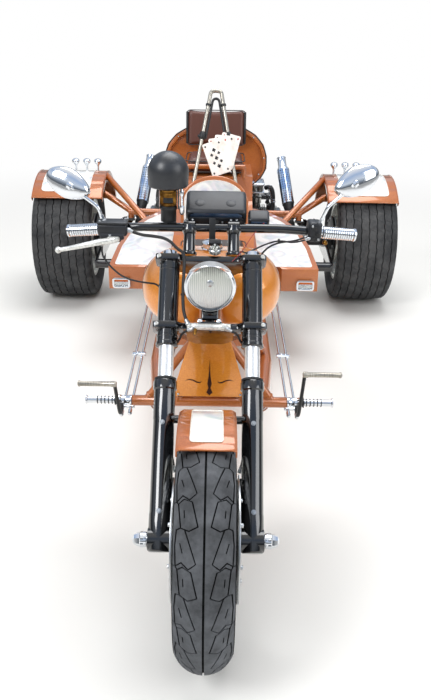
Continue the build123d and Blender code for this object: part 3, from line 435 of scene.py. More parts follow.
def make_lacquers():
    """Paints: metallic copper on the body, gloss black on the fork, and the lines over them."""
    colours = bpy.context.scene.trike_colours
    # Two-coat metallic lacquer on glass fibre and steel: flakes shimmer under a clear glossy coat.
    # Real flakes of 0.1 mm are drawn 3 mm wide, so that they show.
    tree, shader, place = begin("copper_lacquer", {"Metallic": 0.2, "Roughness": 0.34, "Coat Weight": 1.0,
                                                   "Coat Roughness": 0.04})
    flakes = add(tree, "ShaderNodeTexNoise", {"Scale": 330.0, "Detail": 3.0, "Roughness": 0.7},
                 {"Vector": place})
    deep = add(tree, "ShaderNodeTexNoise", {"Scale": 3.0, "Detail": 2.0}, {"Vector": place})
    base = two_tone(tree, flakes.outputs["Fac"], linear("#A65A22"), linear("#C97C39"), 0.3, 0.75)
    warm = add(tree, "ShaderNodeMix", {"data_type": "RGBA", "blend_type": "MULTIPLY"},
               {"Factor": varied(tree, deep.outputs["Fac"], 0.0, 0.5)})
    tree.links.new(base, warm.inputs["A"])
    warm.inputs["B"].default_value = (*colours.paint_shade, 1)
    tree.links.new(warm.outputs["Result"], shader.inputs["Base Color"])
    worn(tree, shader, flakes.outputs["Fac"], 0.26, 0.42)
    grain(tree, shader, flakes.outputs["Fac"], 0.05, 0.35)

    # Gloss black stove enamel on steel: near-black, sharp long reflections, faint polishing marks.
    tree, shader, place = begin("black_enamel", {"Base Color": (*linear("#07080B"), 1), "Roughness": 0.13,
                                                 "Coat Weight": 0.8, "Coat Roughness": 0.03})
    marks = add(tree, "ShaderNodeTexNoise", {"Scale": 60.0, "Detail": 5.0}, {"Vector": place})
    worn(tree, shader, marks.outputs["Fac"], 0.08, 0.24)

    # Satin black paint on brackets and engine tin: dusty, with a soft broad shine.
    tree, shader, place = begin("satin_black", {"Roughness": 0.5})
    dust = add(tree, "ShaderNodeTexNoise", {"Scale": 35.0, "Detail": 6.0}, {"Vector": place})
    toned(tree, shader, dust.outputs["Fac"], "#111214", "#2A2A29", 0.45, 0.9)
    worn(tree, shader, dust.outputs["Fac"], 0.38, 0.62)

    # Airbrushed pearl panel under clear coat: soft clouds of pale blue-grey on white.
    tree, shader, place = begin("pearl_panel", {"Roughness": 0.3, "Coat Weight": 1.0, "Coat Roughness": 0.05})
    swirl = add(tree, "ShaderNodeTexNoise", {"Scale": 9.0, "Detail": 4.0, "Distortion": 1.6},
                {"Vector": place})
    fine = add(tree, "ShaderNodeTexNoise", {"Scale": 40.0, "Detail": 4.0}, {"Vector": place})
    sky = two_tone(tree, swirl.outputs["Fac"], linear("#BFC5CD"), linear("#F1F1EF"), 0.3, 0.58)
    soft = add(tree, "ShaderNodeMix", {"data_type": "RGBA", "blend_type": "SOFT_LIGHT", "Factor": 0.5})
    tree.links.new(sky, soft.inputs["A"])
    tree.links.new(fine.outputs["Color"], soft.inputs["B"])
    tree.links.new(soft.outputs["Result"], shader.inputs["Base Color"])

    # Hand-pulled sign-writer's lines: enamel with slightly uneven cover.
    for name, light, dark in (("ivory_line", "#F0ECE4", "#D8D2C6"), ("brown_line", "#3A1A10", "#27100A")):
        tree, shader, place = begin(name, {"Roughness": 0.35, "Coat Weight": 0.6, "Coat Roughness": 0.05})
        cover = add(tree, "ShaderNodeTexNoise", {"Scale": 180.0, "Detail": 3.0}, {"Vector": place})
        toned(tree, shader, cover.outputs["Fac"], dark, light, 0.3, 0.6)

    # Printed card under lacquer: off-white, a little soiled.
    tree, shader, place = begin("card_board", {"Roughness": 0.42, "Coat Weight": 0.3})
    soil = add(tree, "ShaderNodeTexNoise", {"Scale": 30.0, "Detail": 5.0}, {"Vector": place})
    toned(tree, shader, soil.outputs["Fac"], "#D9CFC6", "#F1ECE6", 0.3, 0.6)

    # Screen-printed ink of the pips, red and black.
    for name, code in (("red_ink", "#B22B2A"), ("black_ink", "#1B1A1C")):
        tree, shader, place = begin(name, {"Roughness": 0.5})
        press = add(tree, "ShaderNodeTexNoise", {"Scale": 500.0}, {"Vector": place})
        shade = linear(code)
        tree.links.new(two_tone(tree, press.outputs["Fac"], [c * 0.8 for c in shade], shade),
                       shader.inputs["Base Color"])

    # Reflective sheet of a blank number plate: fine cells that catch the light.
    tree, shader, place = begin("plate_sheet", {"Roughness": 0.35, "Coat Weight": 0.5})
    cells = add(tree, "ShaderNodeTexVoronoi", {"Scale": 420.0}, {"Vector": place})
    toned(tree, shader, cells.outputs["Distance"], "#F2F2EC", "#D9D9D2", 0.2, 0.9)


def make_metals():
    """Bare and plated metals."""
    # Chrome plate: mirror-bright, with faint haze from dust and polish.
    tree, shader, place = begin("chrome_plate", {"Base Color": (*linear("#E3E6EA"), 1), "Metallic": 1.0,
                                                 "Roughness": 0.07})
    haze = add(tree, "ShaderNodeTexNoise", {"Scale": 45.0, "Detail": 5.0}, {"Vector": place})
    worn(tree, shader, haze.outputs["Fac"], 0.03, 0.16)

    # Chrome of the silencer shields, with a blue sky reflection painted into its colour in patches.
    tree, shader, place = begin("blued_chrome", {"Metallic": 1.0, "Roughness": 0.12})
    sky_reflection_patches = add(tree, "ShaderNodeTexNoise", {"Scale": 14.0, "Detail": 3.0}, {"Vector": place})
    toned(tree, shader, sky_reflection_patches.outputs["Fac"], "#A6C2E8", "#F2F6FA", 0.35, 0.62)

    # Polished cast aluminium: warm silver, tiny pits, soft shine.
    tree, shader, place = begin("polished_alloy", {"Metallic": 1.0, "Roughness": 0.28})
    pits = add(tree, "ShaderNodeTexNoise", {"Scale": 260.0, "Detail": 4.0}, {"Vector": place})
    toned(tree, shader, pits.outputs["Fac"], "#A9ABA8", "#D6D7D2", 0.35, 0.6)
    worn(tree, shader, pits.outputs["Fac"], 0.2, 0.38)
    grain(tree, shader, pits.outputs["Fac"], 0.06, 0.4)

    # Sand-cast alloy of engine and gearbox: grey, grainy at 1 mm, oily stains.
    tree, shader, place = begin("sand_cast_alloy", {"Metallic": 0.85, "Roughness": 0.6})
    sand = add(tree, "ShaderNodeTexNoise", {"Scale": 700.0, "Detail": 3.0}, {"Vector": place})
    stain = add(tree, "ShaderNodeTexNoise", {"Scale": 11.0, "Detail": 5.0}, {"Vector": place})
    toned(tree, shader, stain.outputs["Fac"], "#5B5A57", "#8E8F8E", 0.35, 0.6)
    grain(tree, shader, sand.outputs["Fac"], 0.4, 0.7)

    # Ground stainless steel of the discs: fine rings from the pads.
    tree, shader, place = begin("ground_steel", {"Metallic": 1.0, "Roughness": 0.3})
    turn = add(tree, "ShaderNodeMapping", {}, {"Vector": place})
    turn.inputs["Location"].default_value = -at(0, 0, FRONT_AXLE_Z)
    rings = add(tree, "ShaderNodeTexWave", {"wave_type": "RINGS", "rings_direction": "X", "Scale": 160.0,
                                            "Distortion": 0.6}, {"Vector": turn.outputs["Vector"]})
    toned(tree, shader, rings.outputs["Fac"], "#8F9294", "#C3C5C6", 0.2, 0.8)
    worn(tree, shader, rings.outputs["Fac"], 0.2, 0.36)

    # Cast alloy, tumbled and lacquered: manifold and brake lever, a pale even silver.
    tree, shader, place = begin("lacquered_alloy", {"Metallic": 0.55, "Roughness": 0.3, "Coat Weight": 0.4})
    skin = add(tree, "ShaderNodeTexNoise", {"Scale": 150.0, "Detail": 4.0}, {"Vector": place})
    toned(tree, shader, skin.outputs["Fac"], "#CBCBC6", "#ECECE8")
    worn(tree, shader, skin.outputs["Fac"], 0.24, 0.4)

    # Bright metal of sissy bar and pedal bars: its warm grey-gold tint is a painted reflection of the
    # surroundings, with fine lines along the tube.
    tree, shader, place = begin("brushed_nickel", {"Metallic": 0.85, "Roughness": 0.3})
    stretch = add(tree, "ShaderNodeMapping", {}, {"Vector": place})
    stretch.inputs["Scale"].default_value = (900.0, 40.0, 40.0)
    lines = add(tree, "ShaderNodeTexNoise", {"Scale": 1.0, "Detail": 3.0},
                {"Vector": stretch.outputs["Vector"]})
    toned(tree, shader, lines.outputs["Fac"], "#8F897D", "#BEB8AC")
    worn(tree, shader, lines.outputs["Fac"], 0.24, 0.4)

    # Tank and front panel: the body's copper paint again, painted a lighter, more golden amber where light
    # falls on them.
    tree, shader, place = begin("amber_lacquer", {"Metallic": 0.2, "Roughness": 0.3, "Coat Weight": 1.0,
                                                  "Coat Roughness": 0.03})
    lit_flake_noise = add(tree, "ShaderNodeTexNoise", {"Scale": 330.0, "Detail": 3.0, "Roughness": 0.7},
                 {"Vector": place})
    toned(tree, shader, lit_flake_noise.outputs["Fac"], "#D07316", "#F0A036", 0.3, 0.75)
    worn(tree, shader, lit_flake_noise.outputs["Fac"], 0.24, 0.38)
    grain(tree, shader, lit_flake_noise.outputs["Fac"], 0.05, 0.3)

    # Hard chrome of the fork tubes, ground round: a soft bright band with hair-fine lines across.
    tree, shader, place = begin("ground_chrome", {"Metallic": 0.75, "Roughness": 0.3})
    rings = add(tree, "ShaderNodeTexNoise", {"Scale": 260.0, "Detail": 3.0}, {"Vector": place})
    toned(tree, shader, rings.outputs["Fac"], "#DFE0E1", "#F2F3F4")
    worn(tree, shader, rings.outputs["Fac"], 0.24, 0.36)

    # Brass of fittings and the horn's reed: tarnished in places.
    tree, shader, place = begin("aged_brass", {"Metallic": 1.0, "Roughness": 0.3})
    tarnish = add(tree, "ShaderNodeTexNoise", {"Scale": 50.0, "Detail": 5.0}, {"Vector": place})
    toned(tree, shader, tarnish.outputs["Fac"], "#4E3216", "#9A7034")
    worn(tree, shader, tarnish.outputs["Fac"], 0.45, 0.22)

    # Zinc-plated steel of springs and bolts: dull silver with a milky bloom.
    tree, shader, place = begin("zinc_plate", {"Metallic": 1.0, "Roughness": 0.32})
    bloom = add(tree, "ShaderNodeTexNoise", {"Scale": 120.0, "Detail": 4.0}, {"Vector": place})
    toned(tree, shader, bloom.outputs["Fac"], "#9EA1A3", "#CFD1D2", 0.3, 0.7)


def make_rubbers():
    """Rubber, plastics, leather, glass."""
    # Tyre rubber: dark grey from carbon black, dry, with road dust in the low spots.
    for name, dark, pale in (("tyre_rubber_front", "#3B3D40", "#5E6166"),
                             ("tyre_rubber_rear", "#2D2E30", "#4C4D4E")):
        tree, shader, place = begin(name, {"Roughness": 0.82, "Specular IOR Level": 0.35})
        dust = add(tree, "ShaderNodeTexNoise", {"Scale": 16.0, "Detail": 7.0, "Roughness": 0.65},
                   {"Vector": place})
        skin = add(tree, "ShaderNodeTexNoise", {"Scale": 850.0, "Detail": 2.0}, {"Vector": place})
        toned(tree, shader, dust.outputs["Fac"], dark, pale, 0.38, 0.68)
        worn(tree, shader, dust.outputs["Fac"], 0.7, 0.92)
        grain(tree, shader, skin.outputs["Fac"], 0.25, 0.6)

    # The bottom of the tread's grooves: the same rubber, painted much darker as shade between the blocks.
    tree, shader, place = begin("groove_rubber", {"Roughness": 0.95, "Specular IOR Level": 0.2})
    shade_mottle = add(tree, "ShaderNodeTexNoise", {"Scale": 60.0, "Detail": 5.0}, {"Vector": place})
    toned(tree, shader, shade_mottle.outputs["Fac"], "#131415", "#212223", 0.4, 0.7)

    # Moulded rubber of hoses, grips and pegs: black, slightly bloomed.
    tree, shader, place = begin("moulded_rubber", {"Roughness": 0.58})
    bloom = add(tree, "ShaderNodeTexNoise", {"Scale": 70.0, "Detail": 5.0}, {"Vector": place})
    toned(tree, shader, bloom.outputs["Fac"], "#101011", "#232324", 0.35, 0.75)
    worn(tree, shader, bloom.outputs["Fac"], 0.45, 0.7)

    # Moulded ABS of instrument box and switches: fine leather grain about 1 mm across.
    tree, shader, place = begin("grained_abs", {"Roughness": 0.42})
    pebbles = add(tree, "ShaderNodeTexVoronoi", {"Scale": 900.0}, {"Vector": place})
    fade = add(tree, "ShaderNodeTexNoise", {"Scale": 18.0, "Detail": 4.0}, {"Vector": place})
    toned(tree, shader, fade.outputs["Fac"], "#141519", "#26282D", 0.35, 0.7)
    grain(tree, shader, pebbles.outputs["Distance"], 0.15, 0.5)

    # Satin painted steel dome of the horn: very even, a soft round highlight.
    tree, shader, place = begin("satin_dome", {"Roughness": 0.36, "Base Color": (*linear("#26282C"), 1),
                                               "Coat Weight": 0.15, "Coat Roughness": 0.35})
    dust = add(tree, "ShaderNodeTexNoise", {"Scale": 25.0, "Detail": 5.0}, {"Vector": place})
    worn(tree, shader, dust.outputs["Fac"], 0.3, 0.44)

    # Upholstery leather: pebble grain of 1.5 mm, darker in the grain's valleys, worn paler on top.
    for name, dark, pale in (("brown_leather", "#43221A", "#6B3A2C"), ("dark_leather", "#1F1613", "#3A2A24")):
        tree, shader, place = begin(name, {"Roughness": 0.5, "Sheen Weight": 0.15})
        pebbles = add(tree, "ShaderNodeTexVoronoi", {"Scale": 620.0, "Randomness": 0.9}, {"Vector": place})
        wear = add(tree, "ShaderNodeTexNoise", {"Scale": 12.0, "Detail": 6.0}, {"Vector": place})
        toned(tree, shader, wear.outputs["Fac"], dark, pale, 0.35, 0.68)
        worn(tree, shader, wear.outputs["Fac"], 0.42, 0.62)
        grain(tree, shader, pebbles.outputs["Distance"], 0.5, 0.6)

    # Waxed thread of the seams.
    tree, shader, place = begin("waxed_thread", {"Roughness": 0.6})
    twist = add(tree, "ShaderNodeTexWave", {"Scale": 300.0, "Distortion": 1.0}, {"Vector": place})
    toned(tree, shader, twist.outputs["Fac"], "#2A1610", "#5A3B2C")

    # Moulded lamp glass: clear, its ribs are in the mesh; a breath of dust dulls it.
    tree, shader, place = begin("lamp_glass", {"Transmission Weight": 0.92, "IOR": 1.52, "Roughness": 0.03,
                                               "Base Color": (*linear("#F4F7F6"), 1)})
    dust = add(tree, "ShaderNodeTexNoise", {"Scale": 40.0, "Detail": 5.0}, {"Vector": place})
    worn(tree, shader, dust.outputs["Fac"], 0.0, 0.1)

    # Pressed headlight glass, thick and fluted upright: the glow of its bright bowl is painted into its
    # colour, pale and faintly green, whiter in the lower half, with painted shade over the upper half.
    tree, shader, place = begin("fluted_glass", {"Transmission Weight": 0.35, "IOR": 1.35, "Roughness": 0.1,
                                                 "Coat Weight": 1.0, "Coat Roughness": 0.03})
    flutes = add(tree, "ShaderNodeTexWave", {"bands_direction": "X", "Scale": 62.0, "Distortion": 1.2,
                                             "Detail": 1.0}, {"Vector": place})
    height = add(tree, "ShaderNodeSeparateXYZ", {}, {"Vector": place})
    upper_shade_mask = add(tree, "ShaderNodeMapRange", {"From Min": 0.80, "From Max": 0.885},
                {"Value": height.outputs["Z"]})
    # Painted glow of the bowl for the lower half, painted shade for the upper half.
    bright = two_tone(tree, flutes.outputs["Fac"], linear("#E9EDEF"), linear("#FCFCFA"), 0.2, 0.7)
    painted_shade_upper = two_tone(tree, flutes.outputs["Fac"], linear("#B9BFB4"), linear("#ECEFE7"), 0.2, 0.8)
    painted_glow = add(tree, "ShaderNodeMix", {"data_type": "RGBA"}, {"Factor": upper_shade_mask.outputs["Result"]})
    tree.links.new(bright, painted_glow.inputs["A"])
    tree.links.new(painted_shade_upper, painted_glow.inputs["B"])
    tree.links.new(painted_glow.outputs["Result"], shader.inputs["Base Color"])
    grain(tree, shader, flutes.outputs["Fac"], 1.0, 0.6)

    # Aluminised reflector behind the glass.
    tree, shader, place = begin("reflector", {"Base Color": (*linear("#F1F2F0"), 1), "Metallic": 1.0,
                                              "Roughness": 0.12})
    ripple = add(tree, "ShaderNodeTexNoise", {"Scale": 20.0}, {"Vector": place})
    worn(tree, shader, ripple.outputs["Fac"], 0.08, 0.22)

    # Acrylic lenses, dyed through: red behind, amber in front.
    for name, code in (("red_acrylic", "#B01018"), ("amber_acrylic", "#DE6A22")):
        tree, shader, place = begin(name, {"Transmission Weight": 0.35, "IOR": 1.49, "Roughness": 0.12,
                                           "Coat Weight": 0.5})
        dye = add(tree, "ShaderNodeTexNoise", {"Scale": 90.0}, {"Vector": place})
        shade = linear(code)
        tree.links.new(two_tone(tree, dye.outputs["Fac"], [c * 0.75 for c in shade], shade),
                       shader.inputs["Base Color"])

    # Silvered mirror glass.
    tree, shader, place = begin("mirror_glass", {"Base Color": (*linear("#EEF1F2"), 1), "Metallic": 1.0,
                                                 "Roughness": 0.02})
    dust = add(tree, "ShaderNodeTexNoise", {"Scale": 50.0, "Detail": 5.0}, {"Vector": place})
    worn(tree, shader, dust.outputs["Fac"], 0.01, 0.06)

    # Smoked window over the dials: dark, blue in the reflections.
    tree, shader, place = begin("smoked_window",
                                {"Roughness": 0.08, "Coat Weight": 1.0, "Coat Roughness": 0.02})
    tint = add(tree, "ShaderNodeTexNoise", {"Scale": 12.0}, {"Vector": place})
    toned(tree, shader, tint.outputs["Fac"], "#1D2A3D", "#33465F")


CAD_FINISHES = {
    "copper_lacquer": ("frame_backbone frame_front frame_rails frame_crossmembers "
                       "body_tub passenger_shell rear_hoop rear_fenders trailing_arms front_mudguard "
                       "driver_backrest rear_bar"),
    "amber_lacquer": "fuel_tank front_panel",
    "black_enamel": "fork_lowers fork_clamps handlebar",
    "lacquered_alloy": "brake_lever brake_manifold",
    "brushed_nickel": "sissy_bar",
    "ground_chrome": "stanchions",
    "chrome_plate": ("front_axle grips mirrors headlight_shell foot_controls pedal_rods "
                     "fuel_cap fender_lamps front_lamps silencers tow_ball"),
    "polished_alloy": "front_rim rear_rim_left rear_rim_right",
    "ground_steel": "front_discs",
    "satin_black": "calipers axle_tubes fan_shroud exhaust_headers",
    "sand_cast_alloy": "gearbox engine_block",
    "zinc_plate": "shocks",
    "tyre_rubber_front": "front_tyre",
    "tyre_rubber_rear": "rear_tyre_left rear_tyre_right",
    "moulded_rubber": "brake_hoses",
    "grained_abs": "control_housings instruments air_cleaners",
    "satin_dome": "bulb_horn",
    "dark_leather": "driver_cushion",
    "brown_leather": "passenger_cushions",
    "fluted_glass": "headlight_lens",
    "card_board": "card_fan",
    "red_acrylic": "tail_lamps",
}


class TRIKE_OT_finishes(bpy.types.Operator):
    """Makes every material, and gives each CAD solid its own"""
    bl_idname = "trike.finishes"
    bl_label = "Paint, metal, rubber and leather"

    def execute(self, context):
        make_lacquers()
        make_metals()
        make_rubbers()
        for finish, names in CAD_FINISHES.items():
            for name in names.split():
                mesh = NODES[name].data
                mesh.materials.clear()
                mesh.materials.append(bpy.data.materials[finish])
        return {"FINISHED"}


# The camera: its place in millimetres, its turn in degrees, its sensor, and the picture's height in pixels
CAMERA_PLACE = (19, -1478, 1518)
CAMERA_TILT = 25.1
CAMERA_ROLL = 0.9
SENSOR_WIDTH = 36.0
PICTURE_HEIGHT = 700


class TRIKE_OT_stage(bpy.types.Operator):
    """Sets the pale floor, the soft studio light and the camera"""
    bl_idname = "trike.stage"
    bl_label = "Studio and camera"

    def execute(self, context):
        clear()
        bpy.ops.mesh.primitive_plane_add(size=120, location=(0, 0, -0.0005))
        floor = context.object
        floor.name = "studio_floor"
        # Pale seamless studio paper: even and matt; the camera sees it run out into white, with no edge.
        tree, shader, place = begin("studio_paper", {"Roughness": 0.9, "Specular IOR Level": 0.1})
        fibre = add(tree, "ShaderNodeTexNoise", {"Scale": 900.0, "Detail": 2.0}, {"Vector": place})
        toned(tree, shader, fibre.outputs["Fac"], "#EAEAE8", "#EEEEEC")
        away = add(tree, "ShaderNodeVectorMath", {"operation": "LENGTH"}, {"Vector": place})
        fade = add(tree, "ShaderNodeMapRange", {"interpolation_type": "SMOOTHSTEP", "From Min": 1.6,
                                                "From Max": 5.0}, {"Value": away.outputs["Value"]})
        seen = add(tree, "ShaderNodeLightPath")
        share = add(tree, "ShaderNodeMath", {"operation": "MULTIPLY"})
        tree.links.new(fade.outputs["Result"], share.inputs[0])
        tree.links.new(seen.outputs["Is Camera Ray"], share.inputs[1])
        white = add(tree, "ShaderNodeEmission", {"Color": (1, 1, 1, 1), "Strength": 1.0})
        sweep = tree.nodes.new("ShaderNodeMixShader")
        tree.links.new(share.outputs[0], sweep.inputs[0])
        tree.links.new(shader.outputs[0], sweep.inputs[1])
        tree.links.new(white.outputs[0], sweep.inputs[2])
        paper_end = next(n for n in tree.nodes if n.type == "OUTPUT_MATERIAL")
        tree.links.new(sweep.outputs[0], paper_end.inputs["Surface"])
        floor.data.materials.append(bpy.data.materials["studio_paper"])

        world = bpy.data.worlds.new("studio")
        context.scene.world = world
        world.use_nodes = True
        tree = world.node_tree
        tree.nodes.clear()
        rays = add(tree, "ShaderNodeLightPath")
        height = add(tree, "ShaderNodeSeparateXYZ", {},
                     {"Vector": add(tree, "ShaderNodeTexCoord").outputs["Generated"]})
        sky = tree.nodes.new("ShaderNodeValToRGB")
        steps = sky.color_ramp
        steps.elements[0].position = 0.0
        steps.elements[0].color = (*linear("#B9BCBE"), 1)
        steps.elements[1].position = 1.0
        steps.elements[1].color = (*linear("#FFFFFF"), 1)
        for position, code in ((0.06, "#4E5358"), (0.22, "#8C96A3"), (0.4, "#DDE6F2"), (0.7, "#AFC4E4")):
            steps.elements.new(position).color = (*linear(code), 1)
        tree.links.new(height.outputs["Z"], sky.inputs["Fac"])
        light = add(tree, "ShaderNodeBackground", {"Color": (1, 1, 1, 1), "Strength": 0.5})
        mirror = add(tree, "ShaderNodeBackground", {"Strength": 1.0}, {"Color": sky.outputs["Color"]})
        paper = add(tree, "ShaderNodeBackground", {"Color": (1, 1, 1, 1), "Strength": 1.0})
        through = add(tree, "ShaderNodeMath", {"operation": "MAXIMUM"})
        tree.links.new(rays.outputs["Is Glossy Ray"], through.inputs[0])
        tree.links.new(rays.outputs["Is Transmission Ray"], through.inputs[1])
        seen = tree.nodes.new("ShaderNodeMixShader")
        tree.links.new(through.outputs[0], seen.inputs[0])
        tree.links.new(light.outputs[0], seen.inputs[1])
        tree.links.new(mirror.outputs[0], seen.inputs[2])
        final = tree.nodes.new("ShaderNodeMixShader")
        tree.links.new(rays.outputs["Is Camera Ray"], final.inputs[0])
        tree.links.new(seen.outputs[0], final.inputs[1])
        tree.links.new(paper.outputs[0], final.inputs[2])
        output = tree.nodes.new("ShaderNodeOutputWorld")
        tree.links.new(final.outputs[0], output.inputs["Surface"])

        lamps = (("key", (-3.2, -3.6, 4.2), (0.0, -0.4, 0.4), 2.2, 185.0),
                 ("fill", (3.6, -2.6, 2.8), (0.0, 0.0, 0.5), 2.6, 80.0),
                 ("overhead", (0.4, 1.0, 4.6), (0.0, 0.2, 0.4), 3.2, 150.0))
        for name, place, target, size, power in lamps:
            bpy.ops.object.light_add(type="AREA", location=place)
            lamp = context.object
            lamp.name = name
            lamp.data.shape = "SQUARE"
            lamp.data.size = size
            lamp.data.energy = power
            lamp.rotation_euler = (Vector(target) - Vector(place)).to_track_quat("-Z", "Y").to_euler()

        sizes = context.scene.trike_sizes
        bpy.ops.object.camera_add(location=at(*CAMERA_PLACE))
        camera = context.object
        camera.name = "view_camera"
        camera.data.sensor_width = SENSOR_WIDTH
        camera.data.lens = sizes.focal_px / PICTURE_HEIGHT * SENSOR_WIDTH
        camera.data.shift_x = -1.0 / PICTURE_HEIGHT
        tilt = Matrix.Rotation(math.radians(90 - CAMERA_TILT), 4, "X")
        roll = Matrix.Rotation(math.radians(CAMERA_ROLL), 4, "Z")
        camera.matrix_world = place_at(*CAMERA_PLACE) @ tilt @ roll
        camera.data.clip_start = 0.01
        context.scene.camera = camera
        context.scene.view_settings.view_transform = "Standard"
        clear()
        return {"FINISHED"}


# Front wheel

TREAD_HALF = 69.0
CROWN_RADIUS = 307.0
CROWN_ARC = 75.4
FRONT_PITCHES = 13
# One pitch of tread on one side, as (distance from the middle, distance along the tread) in millimetres
CENTRE_RIB = ((0.9, -12.6), (17, -12.6), (33, 1), (48, -12), (61, -2), (57, 5), (45, -3), (27, 6), (14, 60),
              (33, 69), (42, 65), (17, 138.6), (0.9, 138.6))
LONG_BLOCK = ((57, 5), (45, -3), (27, 6), (14, 60), (33, 69), (51, 61))
ARROW_BLOCK = ((60, 64), (51, 61), (42, 65), (17, 137), (33, 149), (48, 136), (61, 146), (63, 100))
SHOULDER_BLOCK = ((61, -2), (68.6, -2), (68.6, 146), (61, 146), (63, 100), (60, 64), (51, 61), (57, 5))
SLITS = (((44.5, 22), (43, 40)), ((52, 94), (46, 116)))
GROOVE_HALF = 1.5


class TRIKE_OT_front_tyre(bpy.types.Operator):
    """Models the front tyre: its carcass with sidewall ribs, and the cut tread"""
    bl_idname = "trike.front_tyre"
    bl_label = "Front tyre"

    def execute(self, context):
        depth = context.scene.trike_sizes.tread_depth / MM
        half = TREAD_HALF
        arc = []
        for k in range(-12, 13):
            x = (half - 1.0) * k / 12
            arc.append((x, CROWN_RADIUS - depth - (CROWN_ARC - math.sqrt(CROWN_ARC ** 2 - x * x))))
        side = [(half, 262), (half, 255), (half - 1.2, 253), (half - 0.8, 247), (half - 2.6, 244),
                (half - 4, 238),
                (half - 4.8, 236), (half - 9, 228), (half - 11, 226), (half - 14, 219), (49.2, 217),
                (49.2, 205)]
        profile = [(-x, r) for x, r in reversed(side)] + arc + side
        carcass = turned(profile, 144, ring=True)
        where = facing(at(0, 0, FRONT_AXLE_Z), (1, 0, 0))
        carcass = smoothed(placed(carcass, where), 30)
        done(carcass, "front_tyre_carcass", "front_wheel", "tyre_rubber", "tyre_rubber_front",
             "groove_rubber", stands_for=("front_tyre",))
        centre = at(0, 0, FRONT_AXLE_Z)
        # The groove floors between the tread blocks get painted shade.
        painted(carcass, lambda f: abs(f.normal.x) < 0.86 and
                (f.center - centre - Vector((f.center.x, 0, 0))).length > 0.262, 1)

        blocks = [tread_block(outline, GROOVE_HALF, depth)
                  for outline in (CENTRE_RIB, LONG_BLOCK, ARROW_BLOCK, SHOULDER_BLOCK)]
        cutters = []
        for (x0, y0), (x1, y1) in SLITS:
            middle = Vector(((x0 + x1) / 2, (y0 + y1) / 2, 0)) * MM
            run = Vector((x1 - x0, y1 - y0, 0)) * MM
            turn = Matrix.Rotation(math.atan2(run.y, run.x), 4, "Z")
            cutters.append(box((run.length / MM, 2.4, 20), Matrix.Translation(middle) @ turn))
        cutter = joined(cutters)
        pitch = joined(blocks)
        only(pitch)
        cut = pitch.modifiers.new("slits", "BOOLEAN")
        cut.object = cutter
        cut.solver = "EXACT"
        bpy.ops.object.modifier_apply(modifier=cut.name)
        bpy.data.objects.remove(cutter)
        edit(pitch)
        for k in range(-1, 13):
            bpy.ops.mesh.select_all(action="SELECT")
            bpy.ops.mesh.bisect(plane_co=(0, (k * 12.0 + 1.3) * MM, 0), plane_no=(0, 1, 0))
        for x in (12, 24, 36, 48, 58):
            bpy.ops.mesh.select_all(action="SELECT")
            bpy.ops.mesh.bisect(plane_co=(x * MM, 0, 0), plane_no=(1, 0, 0))
        choose(pitch, "faces", lambda f: f.normal.z < -0.9)
        bpy.ops.mesh.delete(type="FACE")
        bpy.ops.object.mode_set(mode="OBJECT")
        pitch = mirrored(pitch)
        for vertex in pitch.data.vertices:
            x, along, height = vertex.co / MM
            radius = CROWN_RADIUS - depth + height - (CROWN_ARC - math.sqrt(max(CROWN_ARC ** 2 - x * x, 0.0)))
            angle = along / CROWN_RADIUS
            vertex.co = Vector((x * MM, -radius * MM * math.sin(angle), radius * MM * math.cos(angle)))
        turn = 2 * math.pi / FRONT_PITCHES
        tread = copies(pitch, [Matrix.Translation(centre) @ Matrix.Rotation(turn * k + 0.12, 4, "X")
                               for k in range(FRONT_PITCHES)])
        done(smoothed(tread, 30), "front_tread", "front_wheel", "tyre_rubber", "tyre_rubber_front")
        return {"FINISHED"}


def tread_block(outline, inset, depth):
    """A closed block of rubber, its outline drawn in by half a groove."""
    clear()
    bpy.ops.mesh.primitive_plane_add(size=1)
    obj = bpy.context.object
    edit(obj)
    bpy.ops.mesh.delete(type="VERT")
    shape = bmesh.from_edit_mesh(obj.data)
    face = shape.faces.new([shape.verts.new((x * MM, y * MM, 0)) for x, y in outline])
    shape.normal_update()
    if face.normal.z < 0:
        face.normal_flip()
    bmesh.update_edit_mesh(obj.data)
    bpy.ops.mesh.select_mode(type="FACE")
    bpy.ops.mesh.select_all(action="SELECT")
    bpy.ops.mesh.inset(thickness=inset * MM)
    bpy.ops.mesh.select_all(action="INVERT")
    bpy.ops.mesh.delete(type="FACE")
    bpy.ops.mesh.select_all(action="SELECT")
    bpy.ops.mesh.extrude_region_move(TRANSFORM_OT_translate={"value": (0, 0, depth * MM)})
    bpy.ops.mesh.select_all(action="SELECT")
    bpy.ops.mesh.normals_make_consistent(inside=False)
    bpy.ops.object.mode_set(mode="OBJECT")
    return obj


# Small fittings

def cap_screw(radius):
    """A socket-head screw: a round head with its edge rounded and a hexagon sunk in it."""
    obj = turned([(0, radius), (radius * 0.9, radius), (radius * 1.1, radius * 0.86),
                  (radius * 1.1, radius * 0.5)], 24)
    edit(obj)
    choose(obj, "faces", lambda f: f.normal.z > 0.9 and len(f.verts) > 8)
    bpy.ops.mesh.extrude_region_move(TRANSFORM_OT_translate={"value": (0, 0, -radius * 0.5 * MM)})
    bpy.ops.object.mode_set(mode="OBJECT")
    return obj


def hex_bolt(radius):
    """A hexagon head on its washer, with the corners turned off."""
    head = turned([(1.4, radius), (1.4 + radius * 0.55, radius), (1.4 + radius * 0.7, radius * 0.84)], 6)
    washer = turned([(0, radius * 1.25), (1.4, radius * 1.25)], 20)
    return joined([head, washer])


def dome_nut(radius):
    """A hexagon nut with a round cap."""
    nut = turned([(0, radius), (radius * 0.7, radius), (radius * 0.78, radius * 0.85)], 6)
    cap = turned([(radius * 0.7, radius * 0.8), (radius * 1.1, radius * 0.74), (radius * 1.4, radius * 0.5),
                  (radius * 1.52, radius * 0.16)], 20)
    return joined([nut, cap])


